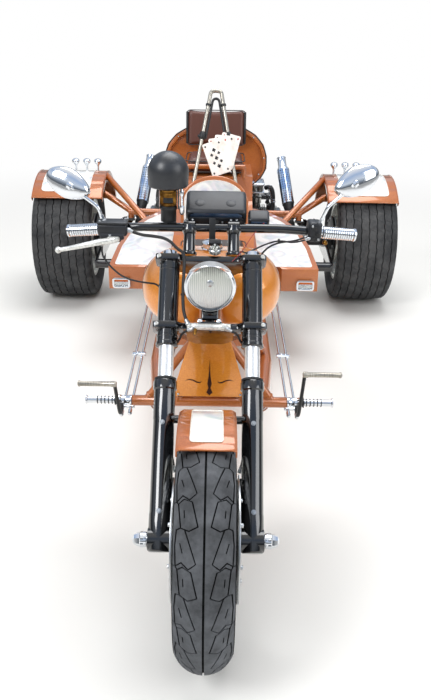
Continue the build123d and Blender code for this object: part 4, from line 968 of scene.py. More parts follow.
def fastened(make, radius, spots):
    """One fastener modelled, then copied to each (place, direction)."""
    return copies(make(radius), [facing(place, direction) for place, direction in spots])


def bolted(maker, radius, spots, name, body, finish):
    """Sets a row of bolts or nuts, and hands it over as one piece."""
    return done(smoothed(fastened(maker, radius, spots)), name, body, "chrome", finish)


class TRIKE_OT_front_rim(bpy.types.Operator):
    """Rounds the cast rim, and adds its drilled discs and their bolts"""
    bl_idname = "trike.front_rim"
    bl_label = "Front rim and discs"

    def execute(self, context):
        done(softened("front_rim", 2.5), "front_rim_cast", "front_wheel", "aluminium", "polished_alloy",
             stands_for=("front_rim",))
        centre = at(0, 0, FRONT_AXLE_Z)
        loops = [round_loop((0, 0), 150, 72), round_loop((0, 0), 96, 60)]
        for ring, radius, start in ((24, 110, 0.0), (24, 123, 0.13), (24, 137, 0.06)):
            for k in range(ring):
                angle = 2 * math.pi * k / ring + start
                loops.append(round_loop((radius * math.cos(angle), radius * math.sin(angle)), 4.2, 8))
        discs, carriers, spots = [], [], []
        for side in SIDES:
            where = facing(centre + Vector((side * 76.5 * MM, 0, 0)), (side, 0, 0))
            discs.append(flat(loops, 5, where, 0.5))
            lobes = []
            for k in range(60):
                angle = 2 * math.pi * k / 60
                radius = 94 + 10 * max(math.cos(angle * 6), 0) ** 2
                lobes.append((radius * math.cos(angle), radius * math.sin(angle)))
            carriers.append(flat([lobes, round_loop((0, 0), 34, 36)], 7, where, 1.0))
            for k in range(6):
                angle = 2 * math.pi * k / 6
                spot = centre + Vector((side * 83.5 * MM, 97 * MM * math.cos(angle),
                                        97 * MM * math.sin(angle)))
                spots.append((spot, (side, 0, 0)))
        shown(discs, "front_disc_rings", "front_wheel", "disc_steel", "ground_steel",
             stands_for=("front_discs",))
        shown(carriers, "front_disc_carriers", "front_wheel", "black_metal", "satin_black")
        bolted(cap_screw, 5.5, spots, "front_disc_bolts", "front_wheel", "zinc_plate")
        valve = wire([centre + Vector((0, 0, 188 * MM)), centre + Vector((6 * MM, 0, 160 * MM))], 4)
        done(smoothed(valve), "front_valve", "front_wheel", "black_rubber", "moulded_rubber")
        return {"FINISHED"}


class TRIKE_OT_fork(bpy.types.Operator):
    """Models the fork's clamps, covers, tubes and legs, with seals, pinch bolts, cap nuts and axle nuts"""
    bl_idname = "trike.fork"
    bl_label = "Fork"

    def execute(self, context):
        half = [(40, 100), (76, 58), (LEG_X + 22, 36), (LEG_X + 37, 14), (LEG_X + 37, -28), (LEG_X + 32, -33),
                (LEG_X - 25, -33), (LEG_X - 39, -18)]
        outline = rounded(half + [(-x, y) for x, y in reversed(half)], 6, 3)
        plates = []
        for up in (LOWER_CLAMP_UP, UPPER_CLAMP_UP):
            plates.append(flat([outline], CLAMP_HIGH, facing(on_fork(0, 0, up - CLAMP_HIGH / 2), FORK_UP),
                               1.6))
            for side in SIDES:
                boss = turned([(-10, 29), (-9, 31.5), (9, 31.5), (10, 29)], 48)
                plates.append(placed(boss, facing(on_fork(side * LEG_X, 0, up), FORK_UP)))
        for side in SIDES:
            cover = turned([(503, 26.5), (505, 30), (513, 30), (515, 28), (527, 28), (528, 28.8), (533, 28.8),
                            (534, 28), (722, 28), (723, 26.8), (725, 26.8), (726, 28), (764, 28), (766, 26)],
                           56)
            plates.append(placed(cover, facing(on_fork(side * LEG_X, 0, 0), FORK_UP)))
        low, high = on_fork(0, -8, LOWER_CLAMP_UP + 2), on_fork(0, -54, 610)
        hanger = turned([(0, 15), (20, 13), (40, 12), ((high - low).length / MM, 12)], 24)
        plates.append(placed(hanger, facing(low, high - low)))
        plates.append(box((46, 14, 52), facing(on_fork(0, -46, 590), FORK_UP), 5, 3))
        shown(plates, "fork_clamp_forgings", "steering", "black_metal", "black_enamel",
             stands_for=("fork_clamps",))
        tubes = []
        for side in SIDES:
            tube = turned([(408, 19.5), (409, 20.5), (764, 20.5), (765, 19.5)], 56)
            tubes.append(placed(tube, facing(on_fork(side * LEG_X, 0, 0), FORK_UP)))
        shown(tubes, "fork_tubes", "steering", "aluminium", "ground_chrome",
             stands_for=("stanchions",))
        legs, seals, caps = [], [], []
        for side in SIDES:
            x = side * LEG_X
            leg = turned([(-31, 24), (-29, 27), (-26, 28.5), (60, 28.5), (64, 27.8), (300, 27.8),
                          (303, 28.5), (380, 28.5), (384, 31.5), (404, 31.5), (407, 29.5)], 56)
            legs.append(placed(leg, facing(on_fork(x, 0, 0), FORK_UP)))
            boss = turned([(-30, 24), (-28, 28), (-4, 28.6), (4, 28.6), (28, 28), (30, 24)], 40)
            legs.append(placed(boss, facing(at(x, 0, FRONT_AXLE_Z), (1, 0, 0))))
            seal = turned([(407, 24), (409, 29), (414, 29), (417, 21.6)], 48)
            seals.append(placed(seal, facing(on_fork(x, 0, 0), FORK_UP)))
            cap = turned([(764, 21), (766, 22), (768, 21), (768.6, 18), (768.8, 12)], 48)
            nut = turned([(768, 11), (770.5, 11), (771.5, 9.5)], 6)
            for part in (cap, nut):
                caps.append(placed(part, facing(on_fork(x, 0, 0), FORK_UP)))
        shown(legs, "fork_leg_castings", "steering", "black_metal", "black_enamel",
             stands_for=("fork_lowers",))
        shown(seals, "fork_seals", "steering", "black_rubber", "moulded_rubber")
        shown(caps, "fork_cap_nuts", "steering", "black_metal", "satin_black")
        spots = []
        for up in (LOWER_CLAMP_UP, UPPER_CLAMP_UP):
            for side in SIDES:
                spots.append((on_fork(side * (LEG_X + 27), -33, up), -FORK_BACK))
        bolted(cap_screw, 5.2, spots, "clamp_pinch_bolts", "steering", "lacquered_alloy")
        rings = []
        for place, direction in spots:
            cup = turned([(0, 7.2), (1.2, 7.2), (1.3, 5.4)], 28)
            rings.append(placed(cup, facing(place, direction)))
        shown(rings, "clamp_bolt_washers", "steering", "chrome", "chrome_plate")
        nuts = []
        for side in SIDES:
            nut = turned([(0, 19), (3, 20), (5, 17), (6, 20), (14, 20), (16, 18), (22, 17), (30, 13), (33, 9),
                          (35, 4)], 8)
            nuts.append(placed(nut, facing(at(side * (LEG_X + 32), 0, FRONT_AXLE_Z), (side, 0, 0))))
        done(smoothed(joined(nuts), 25), "front_axle_nuts", "steering", "chrome", "chrome_plate")
        stem = turned([(0, 17), (4, 24), (10, 24), (13, 17), (20, 15), (22, 11)], 6)
        stem = placed(stem, facing(on_fork(0, 65, UPPER_CLAMP_UP + CLAMP_HIGH / 2), FORK_UP))
        done(smoothed(stem), "steering_stem_nut", "steering", "chrome", "chrome_plate")
        spots = [(on_fork(side * (LEG_X + 2), -28.6, up), -FORK_BACK) for side in SIDES for up in (66, 290)]
        bolted(hex_bolt, 5, spots, "fork_leg_bolts", "steering", "zinc_plate")
        return {"FINISHED"}


class TRIKE_OT_headlight(bpy.types.Operator):
    """Models the headlight: chrome bowl, rim and peak, fluted glass, reflector and bulb"""
    bl_idname = "trike.headlight"
    bl_label = "Headlight"

    def execute(self, context):
        middle = at(0, 346, 842)
        where = facing(middle, (0, -1, 0))
        bowl = turned([(-82, 24), (-80, 30), (-70, 42), (-56, 51), (-40, 58), (-24, 62), (-14, 64), (-12, 66),
                       (-4, 66), (2, 65), (5, 62), (4, 58), (0, 57), (-8, 57), (-20, 53), (-34, 43),
                       (-44, 29), (-49, 15), (-50, 6)], 72)
        placed(bowl, where)
        done(smoothed(bowl, 30), "headlight_bowl", "steering", "chrome", "chrome_plate", "reflector",
             stands_for=("headlight_shell",))
        painted(bowl, lambda f: (f.center - middle).length < 0.075 and f.normal.y < -0.05 and
                math.hypot(f.center.x, f.center.z - middle.z) < 0.0571, 1)
        peak = turned([(-14, 66.6), (34, 70), (35, 68.6), (-14, 64.8)], 72, ring=True)
        edit(peak)
        choose(peak, "verts", lambda v: math.degrees(math.atan2(v.co.y, v.co.x)) < 38
               or math.degrees(math.atan2(v.co.y, v.co.x)) > 142)
        bpy.ops.mesh.delete(type="VERT")
        choose(peak, "edges", lambda e: e.is_boundary)
        bpy.ops.mesh.edge_face_add()
        bpy.ops.object.mode_set(mode="OBJECT")
        for vertex in peak.data.vertices:
            share = (math.atan2(vertex.co.y, vertex.co.x) - math.pi / 2) / math.radians(52)
            if vertex.co.z > 0:
                vertex.co.z *= max(1 - share * share, 0.02)
        placed(peak, where)
        done(smoothed(peak), "headlight_peak", "steering", "chrome", "ground_chrome")
        glass = turned([(0, 56.6), (3, 56.6), (8, 51), (12, 39), (14.5, 21), (15.2, 5)], 72)
        outward(glass)
        placed(glass, where)
        ribs = []
        for x in range(-45, 46, 6):
            reach = math.sqrt(53 ** 2 - x * x) * 0.86
            line = [middle + Vector((x, -(13.6 - 13 * ((x * x + z * z) / 2900)), z)) * MM
                    for z in (-reach, -reach / 2, 0, reach / 2, reach)]
            ribs.append(wire(line, 1.7))
        glass = joined([glass, *ribs])
        # The glass's colour holds a painted glow of the bowl behind it, and painted shade above.
        done(smoothed(glass, 40), "headlight_glass", "steering", "clear_glass", "fluted_glass",
             stands_for=("headlight_lens",))
        bulb = turned([(-50, 8), (-44, 8), (-42, 6), (-2, 6), (0, 10), (13, 11), (15.6, 8), (16.2, 3)], 24)
        placed(bulb, Matrix.Translation((0, 0, 15 * MM)) @ where)
        pivot = fastened(dome_nut, 7, [(on_fork(0, -54, 598), -FORK_BACK)])
        done(smoothed(pivot), "headlight_pivot_bolt", "steering", "chrome", "lacquered_alloy")
        done(smoothed(bulb), "headlight_bulb_cap", "steering", "chrome", "zinc_plate")
        band = turned([(-3, 66.4), (-1.5, 67.2), (0, 66.4)], 72)
        placed(band, where)
        done(smoothed(band), "headlight_rim_bead", "steering", "chrome", "chrome_plate")
        return {"FINISHED"}


class TRIKE_OT_manifold(bpy.types.Operator):
    """Models the brake manifold below the headlight with its banjo bolts"""
    bl_idname = "trike.manifold"
    bl_label = "Brake manifold"

    def execute(self, context):
        start, end = on_fork(-52, -58, 541), on_fork(48, -58, 541)
        body = turned([(0, 7), (2, 9), (10, 9), (12, 10), (18, 10), (20, 8.6), (80, 8.6), (82, 10), (88, 10),
                       (90, 9), (98, 9), (100, 7)], 32)
        placed(body, facing(start, end - start, (0, 1, 0)))
        ends = []
        for point, direction in ((start, start - end), (end, end - start)):
            nut = turned([(0, 8), (8, 8), (9, 7)], 6)
            ends.append(placed(nut, facing(point - direction.normalized() * 2 * MM, direction, (0, 1, 0))))
        body = joined([body, *ends])
        done(smoothed(body), "manifold_body", "steering", "aluminium", "lacquered_alloy",
             stands_for=("brake_manifold",))
        bracket = box((64, 34, 7), facing(on_fork(0, -44, 552), FORK_UP), 2.0)
        done(smoothed(bracket), "manifold_bracket", "steering", "black_metal", "black_enamel")
        spots = [(on_fork(x, -60, 556), -FORK_BACK) for x in (-26, 24)]
        bolted(dome_nut, 6.5, spots, "manifold_bolts", "steering", "chrome_plate")
        spot = [(on_fork(-2, -60, 590), -FORK_BACK)]
        bolted(dome_nut, 7, spot, "headlight_mount_bolt", "steering", "chrome_plate")
        fitting = turned([(0, 5), (4, 6), (8, 6), (10, 4), (18, 4)], 12)
        placed(fitting, facing(on_fork(-38, -60, 534), -FORK_UP))
        done(smoothed(fitting), "manifold_union", "steering", "aluminium", "aged_brass")
        return {"FINISHED"}


# Handlebar and what it carries

BAR_BEND = on_fork(196, -23, 851)
BAR_TIP = at(410, 604, 912)
BAR_RADIUS = 12.7
RISER_X = 62
MIRROR_HALF_WIDTH = 67
MIRROR_HALF_HEIGHT = 41


def other_side(point):
    return Vector((-point.x, point.y, point.z))


class TRIKE_OT_handlebar(bpy.types.Operator):
    """Models the bar, its risers and clamps, and the ribbed grips"""
    bl_idname = "trike.handlebar"
    bl_label = "Handlebar and grips"

    def execute(self, context):
        inner = BAR_BEND + (BAR_TIP - BAR_BEND) * 0.52
        knee = [BAR_BEND + (Vector((0, BAR_BEND.y, BAR_BEND.z)) - BAR_BEND) * 0.16, BAR_BEND,
                BAR_BEND + (BAR_TIP - BAR_BEND) * 0.14]
        line = [other_side(inner), *[other_side(p) for p in reversed(knee)], *knee, inner]
        parts = [wire(line, BAR_RADIUS, sides=20)]
        for side in SIDES:
            foot = on_fork(side * RISER_X, -4, 773)
            head = on_fork(side * RISER_X, -23, 851)
            riser = turned([(0, 21), (3, 22), (8, 22), (12, 17), (58, 16), (66, 19), (70, 22), (84, 22)], 40)
            placed(riser, facing(foot, head - foot))
            clamp = turned([(-17, 18), (-15, 21), (15, 21), (17, 18)], 40)
            placed(clamp, facing(head, (1, 0, 0)))
            parts += [riser, clamp]
        shown(parts, "bar_and_risers", "steering", "black_metal", "black_enamel",
             stands_for=("handlebar",))
        spots = [(on_fork(side * RISER_X + x, -31, 868), FORK_UP) for side in SIDES for x in (-8, 8)]
        bolted(cap_screw, 4.5, spots, "riser_screws", "steering", "zinc_plate")

        sleeves = []
        for side in SIDES:
            start = BAR_BEND + (BAR_TIP - BAR_BEND) * 0.5
            end = BAR_TIP
            if side < 0:
                start, end = other_side(start), other_side(end)
            reach = (end - start).length / MM
            profile = [(0, 15.5), (2, 18.5), (7, 18.5), (9, 15.6)]
            place = 11.0
            while place < reach - 12:
                profile += [(place, 15.0), (place + 1.4, 17.4), (place + 4.2, 17.4), (place + 5.6, 15.0)]
                place += 6.4
            profile += [(reach - 8, 15.6), (reach - 6, 18.6), (reach - 1.5, 18.0), (reach, 14),
                        (reach + 0.3, 6)]
            sleeves.append(placed(turned(profile, 40), facing(start, end - start, (0, 1, 0))))
        grips = smoothed(joined(sleeves), 40)
        done(grips, "ribbed_grips", "steering", "chrome", "chrome_plate", "satin_black",
             stands_for=("grips",))

        # The grooves between the chrome ribs are painted black: painted shade between the ribs.
        def painted_shade_grooves(face):
            start, way = BAR_BEND, (BAR_TIP - BAR_BEND).normalized()
            off = Vector((abs(face.center.x), face.center.y, face.center.z)) - start
            return (off - way * off.dot(way)).length < 15.3 * MM and abs(face.normal.x) < 0.9

        painted(grips, painted_shade_grooves, 1)
        return {"FINISHED"}


class TRIKE_OT_controls(bpy.types.Operator):
    """Models the brake master cylinder, its lever, and the switch pod"""
    bl_idname = "trike.controls"
    bl_label = "Brake lever and switches"

    def execute(self, context):
        where = place_at(-276, 566, 934)
        tank = box((82, 46, 34), where @ Matrix.Translation((0, 0, -3 * MM)), 7, 3)
        lid = box((84, 48, 6), where @ Matrix.Translation((0, 0, 17 * MM)), 2.5)
        barrel = turned([(0, 9), (2, 12), (60, 12), (66, 9)], 28)
        placed(barrel, facing(at(-310, 548, 915), (1, 0.02, 0), (0, 1, 0)))
        clamp = turned([(-12, 17), (-10, 19.5), (10, 19.5), (12, 17)], 32)
        run = BAR_TIP - BAR_BEND
        spot = other_side(BAR_BEND + run * 0.33)
        placed(clamp, facing(spot, other_side(run), (0, 1, 0)))
        pod_where = facing(at(288, 582, 930), (0.05, 0, 1), (1, 0.09, -0.05))
        pod = box((38, 50, 56), pod_where, 8, 3)
        seam = box((2, 51, 57), pod_where @ Matrix.Translation((2 * MM, 0, 0)), 0.6, 1)
        shown([tank, lid, barrel, clamp, pod, seam], "reservoir_and_switches", "steering",
             "black_plastic", "grained_abs", stands_for=("control_housings",))
        screws = [(where @ Vector((x * MM, y * MM, 20 * MM)), (0, 0, 1)) for x, y in ((-34, -15), (34, 15))]
        screws += [(pod_where @ Vector((x * MM, -25 * MM, z * MM)), (0, -1, 0))
                   for x, z in ((-10, 18), (10, -18))]
        bolted(cap_screw, 3.4, screws, "control_screws", "steering", "zinc_plate")
        buttons = []
        for x, y, z, size in ((-4, -26, 12, (13, 6, 8)), (6, -26, -4, (10, 7, 10)),
                              (-6, -25, -16, (12, 6, 8))):
            buttons.append(box(size, pod_where @ shift(x, y, z), 1.6))
        shown(buttons, "switch_buttons", "steering", "black_rubber", "moulded_rubber")
        toggle = turned([(0, 6), (4, 7), (9, 7), (12, 5), (13, 2)], 18)
        placed(toggle, facing(at(318, 566, 903), (0.2, -1, -0.2)))
        done(smoothed(toggle), "idle_adjuster", "steering", "aluminium", "aged_brass")

        root, tip = at(-266, 538, 908), at(-432, 557, 869)
        run = tip - root
        points = [root, root + run * 0.12, root + run * 0.3 + Vector((0, -7, 3)) * MM,
                  root + run * 0.6 + Vector((0, -9, 2)) * MM, root + run * 0.86 + Vector((0, 1, -1)) * MM,
                  tip]
        lever = wire(points, 8.6, sides=14, taper=(1.1, 1.25, 1.0, 0.85, 0.7, 0.72))
        ball = turned([(-9, 3), (-7, 6.4), (-3, 9), (2, 9.6), (6, 7.6), (9, 3)], 24)
        placed(ball, facing(tip, run, (0, 1, 0)))
        pivot = box((34, 18, 15), place_at(-272, 541, 909), 4)
        shown([lever, ball, pivot], "brake_lever_blade", "steering", "aluminium",
             "lacquered_alloy", stands_for=("brake_lever",))
        spot = [(at(-282, 541, 917), (0, 0, 1))]
        bolted(hex_bolt, 5, spot, "lever_pivot_bolt", "steering", "zinc_plate")
        return {"FINISHED"}


def drop_shaped(obj, side):
    """Stretches a form turned to a radius of one into the mirrors' oval, fuller on the outside."""
    for vertex in obj.data.vertices:
        angle = math.atan2(vertex.co.y, vertex.co.x)
        radius = math.hypot(vertex.co.x, vertex.co.y) / MM
        point = math.cos(angle) * side
        reach = 1.0 + 0.04 * point
        droop = 1.0 - 0.26 * max(-point, 0)
        vertex.co.x = radius * MIRROR_HALF_WIDTH * reach * math.cos(angle) * MM
        vertex.co.y = radius * MIRROR_HALF_HEIGHT * droop * math.sin(angle) * MM + 6 * MM * point * radius
    return obj


class TRIKE_OT_mirrors(bpy.types.Operator):
    """Models the two oval mirrors on their bent stems"""
    bl_idname = "trike.mirrors"
    bl_label = "Mirrors"

    def execute(self, context):
        shells, glasses, stems = [], [], []
        for side, foot, knee, head in ((-1, (-300, 573, 945), (-316, 572, 990), (-396, 590, 1049)),
                                       (1, (300, 583, 940), (322, 574, 1000), (396, 590, 1067))):
            where = facing(at(*head), (0.15 * side, -1, 0.25)) @ Matrix.Rotation(0.33 * side, 4, "Z")
            shell = turned([(-8, 0.985), (-6, 1.0), (2, 0.985), (8, 0.9), (13, 0.72), (17, 0.42),
                            (18.6, 0.14)], 56)
            shells.append(placed(drop_shaped(shell, side), where))
            glass = turned([(-9.5, 0.86), (-8.6, 0.93), (-8, 0.93)], 56)
            glasses.append(placed(drop_shaped(glass, side), where))
            low, bend, top = at(*foot), at(*knee), at(*head)
            near_top = top + (bend - top) * 0.1 + Vector((0, -17, 3)) * MM
            stems.append(wire([low, low + (bend - low) * 0.7, bend, bend + (top - bend) * 0.18, near_top],
                              5, sides=16))
            socket = turned([(-4, 8), (-2, 10), (8, 10), (12, 7)], 24)
            stems.append(placed(socket, facing(near_top, top - bend, (0, 1, 0))))
            nut = turned([(0, 9), (9, 9), (11, 7), (24, 6), (26, 4)], 6)
            stems.append(placed(nut, facing(low, bend - low)))
        done(smoothed(joined(shells), 50), "mirror_shells", "steering", "chrome", "chrome_plate",
             stands_for=("mirrors",))
        shown(glasses, "mirror_glass", "steering", "clear_glass", "mirror_glass")
        shown(stems, "mirror_stems", "steering", "chrome", "chrome_plate")
        return {"FINISHED"}


class TRIKE_OT_instruments(bpy.types.Operator):
    """Models the instrument box with its smoked window, the side gauge, and their bracket"""
    bl_idname = "trike.instruments"
    bl_label = "Instruments"

    def execute(self, context):
        where = facing(at(12, 634, 976), (0, -0.5, 1))
        hood = box((171, 96, 58), None, 12, 3)
        edit(hood)
        choose(hood, "faces", lambda f: f.normal.y < -0.9)
        bpy.ops.mesh.inset(thickness=7 * MM)
        bpy.ops.transform.translate(value=(0, 5 * MM, 0))
        bpy.ops.object.mode_set(mode="OBJECT")
        hood.data.transform(where)
        lip = [(-70, 7), (70, 7), (74, 13), (60, 20), (-60, 20), (-74, 13)]
        window = flat([rounded(lip, 4)], 2.5, where @ facing(Vector((0, -44.5, 0)) * MM, (0, -1, 0)), 0.6)
        chin = flat([rounded([(-74, -27), (74, -27), (78, 2), (62, 6), (-62, 6), (-78, 2)], 7)], 5,
                    where @ facing(Vector((0, -44, 0)) * MM, (0, -1, 0)), 1)
        bumps = []
        for x in (-46, 42):
            bump = turned([(27, 15), (29.5, 14), (31, 10), (31.4, 4)], 32)
            bumps.append(placed(bump, where @ shift(x, -12, 0)))
        gauge_where = facing(at(133, 612, 950), (0, -0.5, 1))
        gauge = box((60, 46, 40), gauge_where, 8, 3)
        shown([hood, chin, *bumps, gauge], "instrument_housings", "steering", "black_plastic",
             "grained_abs", stands_for=("instruments",))
        done(smoothed(window), "instrument_window", "steering", "clear_glass", "smoked_window")
        face = flat([rounded([(-22, -13), (22, -13), (22, 13), (-22, 13)], 4)], 1.6,
                    gauge_where @ facing(Vector((0, -23, 0)) * MM, (0, -1, 0)), 0.5)
        done(smoothed(face), "gauge_window", "steering", "clear_glass", "smoked_window")
        label = flat([rounded([(-9, -8), (1, -8), (1, 0), (-9, 0)], 2)], 1.2,
                     gauge_where @ facing(Vector((0, -24.4, 0)) * MM, (0, -1, 0)), 0.3)
        done(smoothed(label), "gauge_telltale", "steering", "red_lens", "red_acrylic")
        strap_where = facing(on_fork(10, -34, 850), (0, -1, 0.2))
        strap = box((18, 58, 6), strap_where @ shift(-8, -7, 0), 1.6)
        foot = box((34, 18, 14), facing(on_fork(10, -30, 802), FORK_UP), 3)
        post = turned([(0, 9), (60, 9)], 20)
        placed(post, facing(on_fork(12, -23, 851), at(12, 634, 970) - on_fork(12, -23, 851)))
        arm = turned([(0, 8), (70, 8)], 20)
        placed(arm, facing(on_fork(120, -23, 851), at(130, 612, 948) - on_fork(120, -23, 851)))
        shown([strap, foot, post, arm], "instrument_bracket", "steering", "black_metal",
             "satin_black")
        spots = [(where @ Vector((x * MM, -49.5 * MM, z * MM)), (0, -1, 0))
                 for x, z in ((18, -8), (-16, -20), (14, -20), (-24, -24), (24, -25))]
        bolted(dome_nut, 3.0, spots, "instrument_bolts", "steering", "zinc_plate")
        red = wire([at(150, 588, 950), at(120, 560, 930), at(84, 520, 880), at(58, 500, 862)], 1.1, sides=8)
        done(red, "gauge_wire", "steering", "red_lens", "red_acrylic")
        key = turned([(0, 14), (3, 17), (12, 17), (14, 14), (16, 13), (20, 13)], 28)
        placed(key, facing(on_fork(10, -20, 775), FORK_UP * 0.6 - FORK_BACK))
        lobes = []
        for x, z in ((-9, 0), (8, 3), (0, 9), (4, -6)):
            bolt = turned([(0, 4), (5, 4.6), (8, 3)], 6)
            lobes.append(placed(bolt, facing(on_fork(10 + x, -38, 778 + z), -FORK_BACK)))
        shown([key, *lobes], "ignition_switch", "steering", "aluminium", "polished_alloy")
        return {"FINISHED"}


class TRIKE_OT_horn(bpy.types.Operator):
    """Models the domed horn on its brass and black body"""
    bl_idname = "trike.horn"
    bl_label = "Dome horn"

    def execute(self, context):
        where = place_at(-122, 600, 1078)
        dome = [(-34, 46), (-33, 52), (-30, 55.5), (-10, 56.6), (6, 57)]
        dome += [(6 + 57 * math.sin(math.radians(a)),
                  57 * math.cos(math.radians(a))) for a in range(10, 88, 7)]
        shell = turned(dome, 72)
        placed(shell, where)
        done(smoothed(shell, 40), "horn_dome", "steering", "black_plastic", "satin_dome",
             stands_for=("bulb_horn",))
        body = turned([(-134, 17), (-131, 22), (-100, 22), (-97, 24), (-90, 24), (-87, 21), (-62, 20)], 36)
        neck = turned([(-42, 22), (-38, 27), (-30, 27)], 36)
        strap = box((60, 40, 5), shift(0, 0, -38), 1.5)
        foot = box((26, 40, 22), shift(8, -8, -140), 4)
        black = joined([body, neck, strap, foot])
        placed(black, where)
        done(smoothed(black), "horn_body", "steering", "black_metal", "satin_black")
        reed = turned([(-88, 20), (-84, 23), (-78, 23), (-75, 19), (-50, 19), (-46, 22), (-40, 22)], 36)
        reed = joined([reed, box((46, 22, 40), shift(0, -4, -63), 3, 2)])
        placed(reed, where)
        done(smoothed(reed), "horn_reed", "steering", "aluminium", "aged_brass")
        cheeks = []
        for x in (-25, 25):
            cheeks.append(box((4, 30, 60), where @ shift(x * 1.12, 4, -66), 1.2))
        shown(cheeks, "horn_cheeks", "steering", "black_metal", "black_enamel")
        rodding = turned([(-110, 4), (-104, 7), (-88, 7), (-84, 4), (-60, 4), (-56, 6), (-44, 6), (-40, 3.5),
                          (-34, 3.5)], 20)
        placed(rodding, where @ shift(38, -12, 0))
        done(smoothed(rodding), "horn_stay", "steering", "chrome", "chrome_plate")
        return {"FINISHED"}


# Rear wheels

REAR_PITCHES = 40
REAR_SLANT = 18.0
REAR_GROOVE = 7.0
REAR_ROLL_RADIUS = 320.0


def rear_crown(x):
    """Radius of the rear tread at a distance from its middle, in millimetres."""
    x = abs(x)
    if x < 128:
        return 323.0 - 7.0 * (x / 128) ** 2
    return 316.0 - 20.0 * ((x - 128) / 20) ** 2


class TRIKE_OT_rear_tyres(bpy.types.Operator):
    """Models the wide rear tyres: carcass, long grooves, and blocks cut by fine slits"""
    bl_idname = "trike.rear_tyres"
    bl_label = "Rear tyres"

    def execute(self, context):
        depth = REAR_GROOVE
        side = [(148, 296), (150, 286), (151.5, 272), (151.5, 262), (150, 258), (150.4, 250), (147, 246),
                (145, 240), (138, 234), (132, 228), (130, 224), (124.4, 217), (124.4, 202)]
        arc = [(x, rear_crown(x) - depth) for x in range(-144, 145, 8)]
        profile = [(-x, r) for x, r in reversed(side)] + arc + side
        master = turned(profile, 144, ring=True)
        ribs = [(-146, -120), (-116, -82), (-78, -44), (-40, -4), (0, 36), (40, 74), (78, 112), (116, 146)]
        blocks = []
        pitch = 2 * math.pi * REAR_ROLL_RADIUS / REAR_PITCHES
        for low, high in ribs:
            steps = [0.15 + (pitch - 0.3) * k / 8 for k in range(9)]
            right = [(high, y + REAR_SLANT) for y in steps]
            left = [(low, y) for y in reversed(steps)]
            wavy = [(x + 2.0 * math.sin(2 * math.pi * y / pitch), y) for x, y in right + left]
            blocks.append(tread_block(wavy, 0.3, depth))
        strip = joined(blocks)
        edit(strip)
        for x in (-140, -133, -126, -100, -60, -20, 18, 56, 95, 126, 133, 140):
            bpy.ops.mesh.select_all(action="SELECT")
            bpy.ops.mesh.bisect(plane_co=(x * MM, 0, 0), plane_no=(1, 0, 0))
        for y in range(10, 70, 10):
            bpy.ops.mesh.select_all(action="SELECT")
            bpy.ops.mesh.bisect(plane_co=(0, y * MM, 0), plane_no=(0, 1, 0))
        choose(strip, "faces", lambda f: f.normal.z < -0.9)
        bpy.ops.mesh.delete(type="FACE")
        bpy.ops.object.mode_set(mode="OBJECT")
        for vertex in strip.data.vertices:
            x, along, height = vertex.co / MM
            radius = (rear_crown(x) - depth + height) * MM
            angle = along / REAR_ROLL_RADIUS
            vertex.co = Vector((x * MM, -radius * math.sin(angle), radius * math.cos(angle)))
        turn = 2 * math.pi / REAR_PITCHES
        tread = copies(strip, [Matrix.Rotation(turn * k, 4, "X") for k in range(REAR_PITCHES)])
        smoothed(tread, 30)
        for side_name, sign in (("left", -1), ("right", 1)):
            centre = at(sign * REAR_TYRE_X, *REAR_AXLE)
            carcass = placed(twin_of(master), facing(centre, (1, 0, 0)))
            smoothed(carcass, 30)
            blocks = twin_of(tread)
            if sign < 0:
                blocks.data.transform(Matrix.Scale(-1, 4, (1, 0, 0)))
                blocks.data.flip_normals()
            blocks.data.transform(Matrix.Translation(centre))
            body = f"rear_wheel_{side_name}"
            done(carcass, f"rear_carcass_{side_name}", body, "tyre_rubber", "tyre_rubber_rear",
                 "groove_rubber", stands_for=(f"rear_tyre_{side_name}",))
            # The groove floors between the tread blocks get painted shade.
            painted(carcass, lambda f: abs(f.normal.x) < 0.8 and
                    math.hypot(f.center.y - centre.y, f.center.z - centre.z) > 0.29, 1)
            done(blocks, f"rear_tread_{side_name}", body, "tyre_rubber", "tyre_rubber_rear")
            rim = softened(f"rear_rim_{side_name}", 2.5)
            done(rim, f"rear_rim_cast_{side_name}", body, "aluminium", "polished_alloy",
                 stands_for=(f"rear_rim_{side_name}",))
            spots = []
            for k in range(5):
                angle = 2 * math.pi * k / 5 + 0.3
                spots.append((centre + Vector((sign * 34, 66 * math.cos(angle), 66 * math.sin(angle))) * MM,
                              (sign, 0, 0)))
            bolted(dome_nut, 9, spots, f"rear_wheel_nuts_{side_name}", body, "chrome_plate")
            cap = turned([(94, 44), (98, 46), (104, 46), (110, 40), (114, 26), (115, 8)], 48)
            placed(cap, facing(centre, (sign, 0, 0)))
            done(smoothed(cap), f"rear_hub_cap_{side_name}", body, "chrome", "chrome_plate")
            stud = [(centre + Vector((sign * 34, 174 * math.cos(a), 174 * math.sin(a))) * MM, (sign, 0, 0))
                    for a in [2 * math.pi * (k + 0.5) / 24 for k in range(24)]]
            bolted(hex_bolt, 3.6, stud, f"rear_rim_bolts_{side_name}", body, "zinc_plate")
        bpy.data.objects.remove(master)
        bpy.data.objects.remove(tread)
        return {"FINISHED"}


# Painted shells and their panels

def bordered(outline, where, line=2.2):
    """A bare pale panel with its ivory line round it, both laid on the paint."""
    sheet = flat([outline], 0.5, where)
    edge = [where @ Vector((x * MM, y * MM, 0.5 * MM)) for x, y in outline]
    bead = wire(edge, line / 2, closed=True, soft=False)
    return sheet, bead


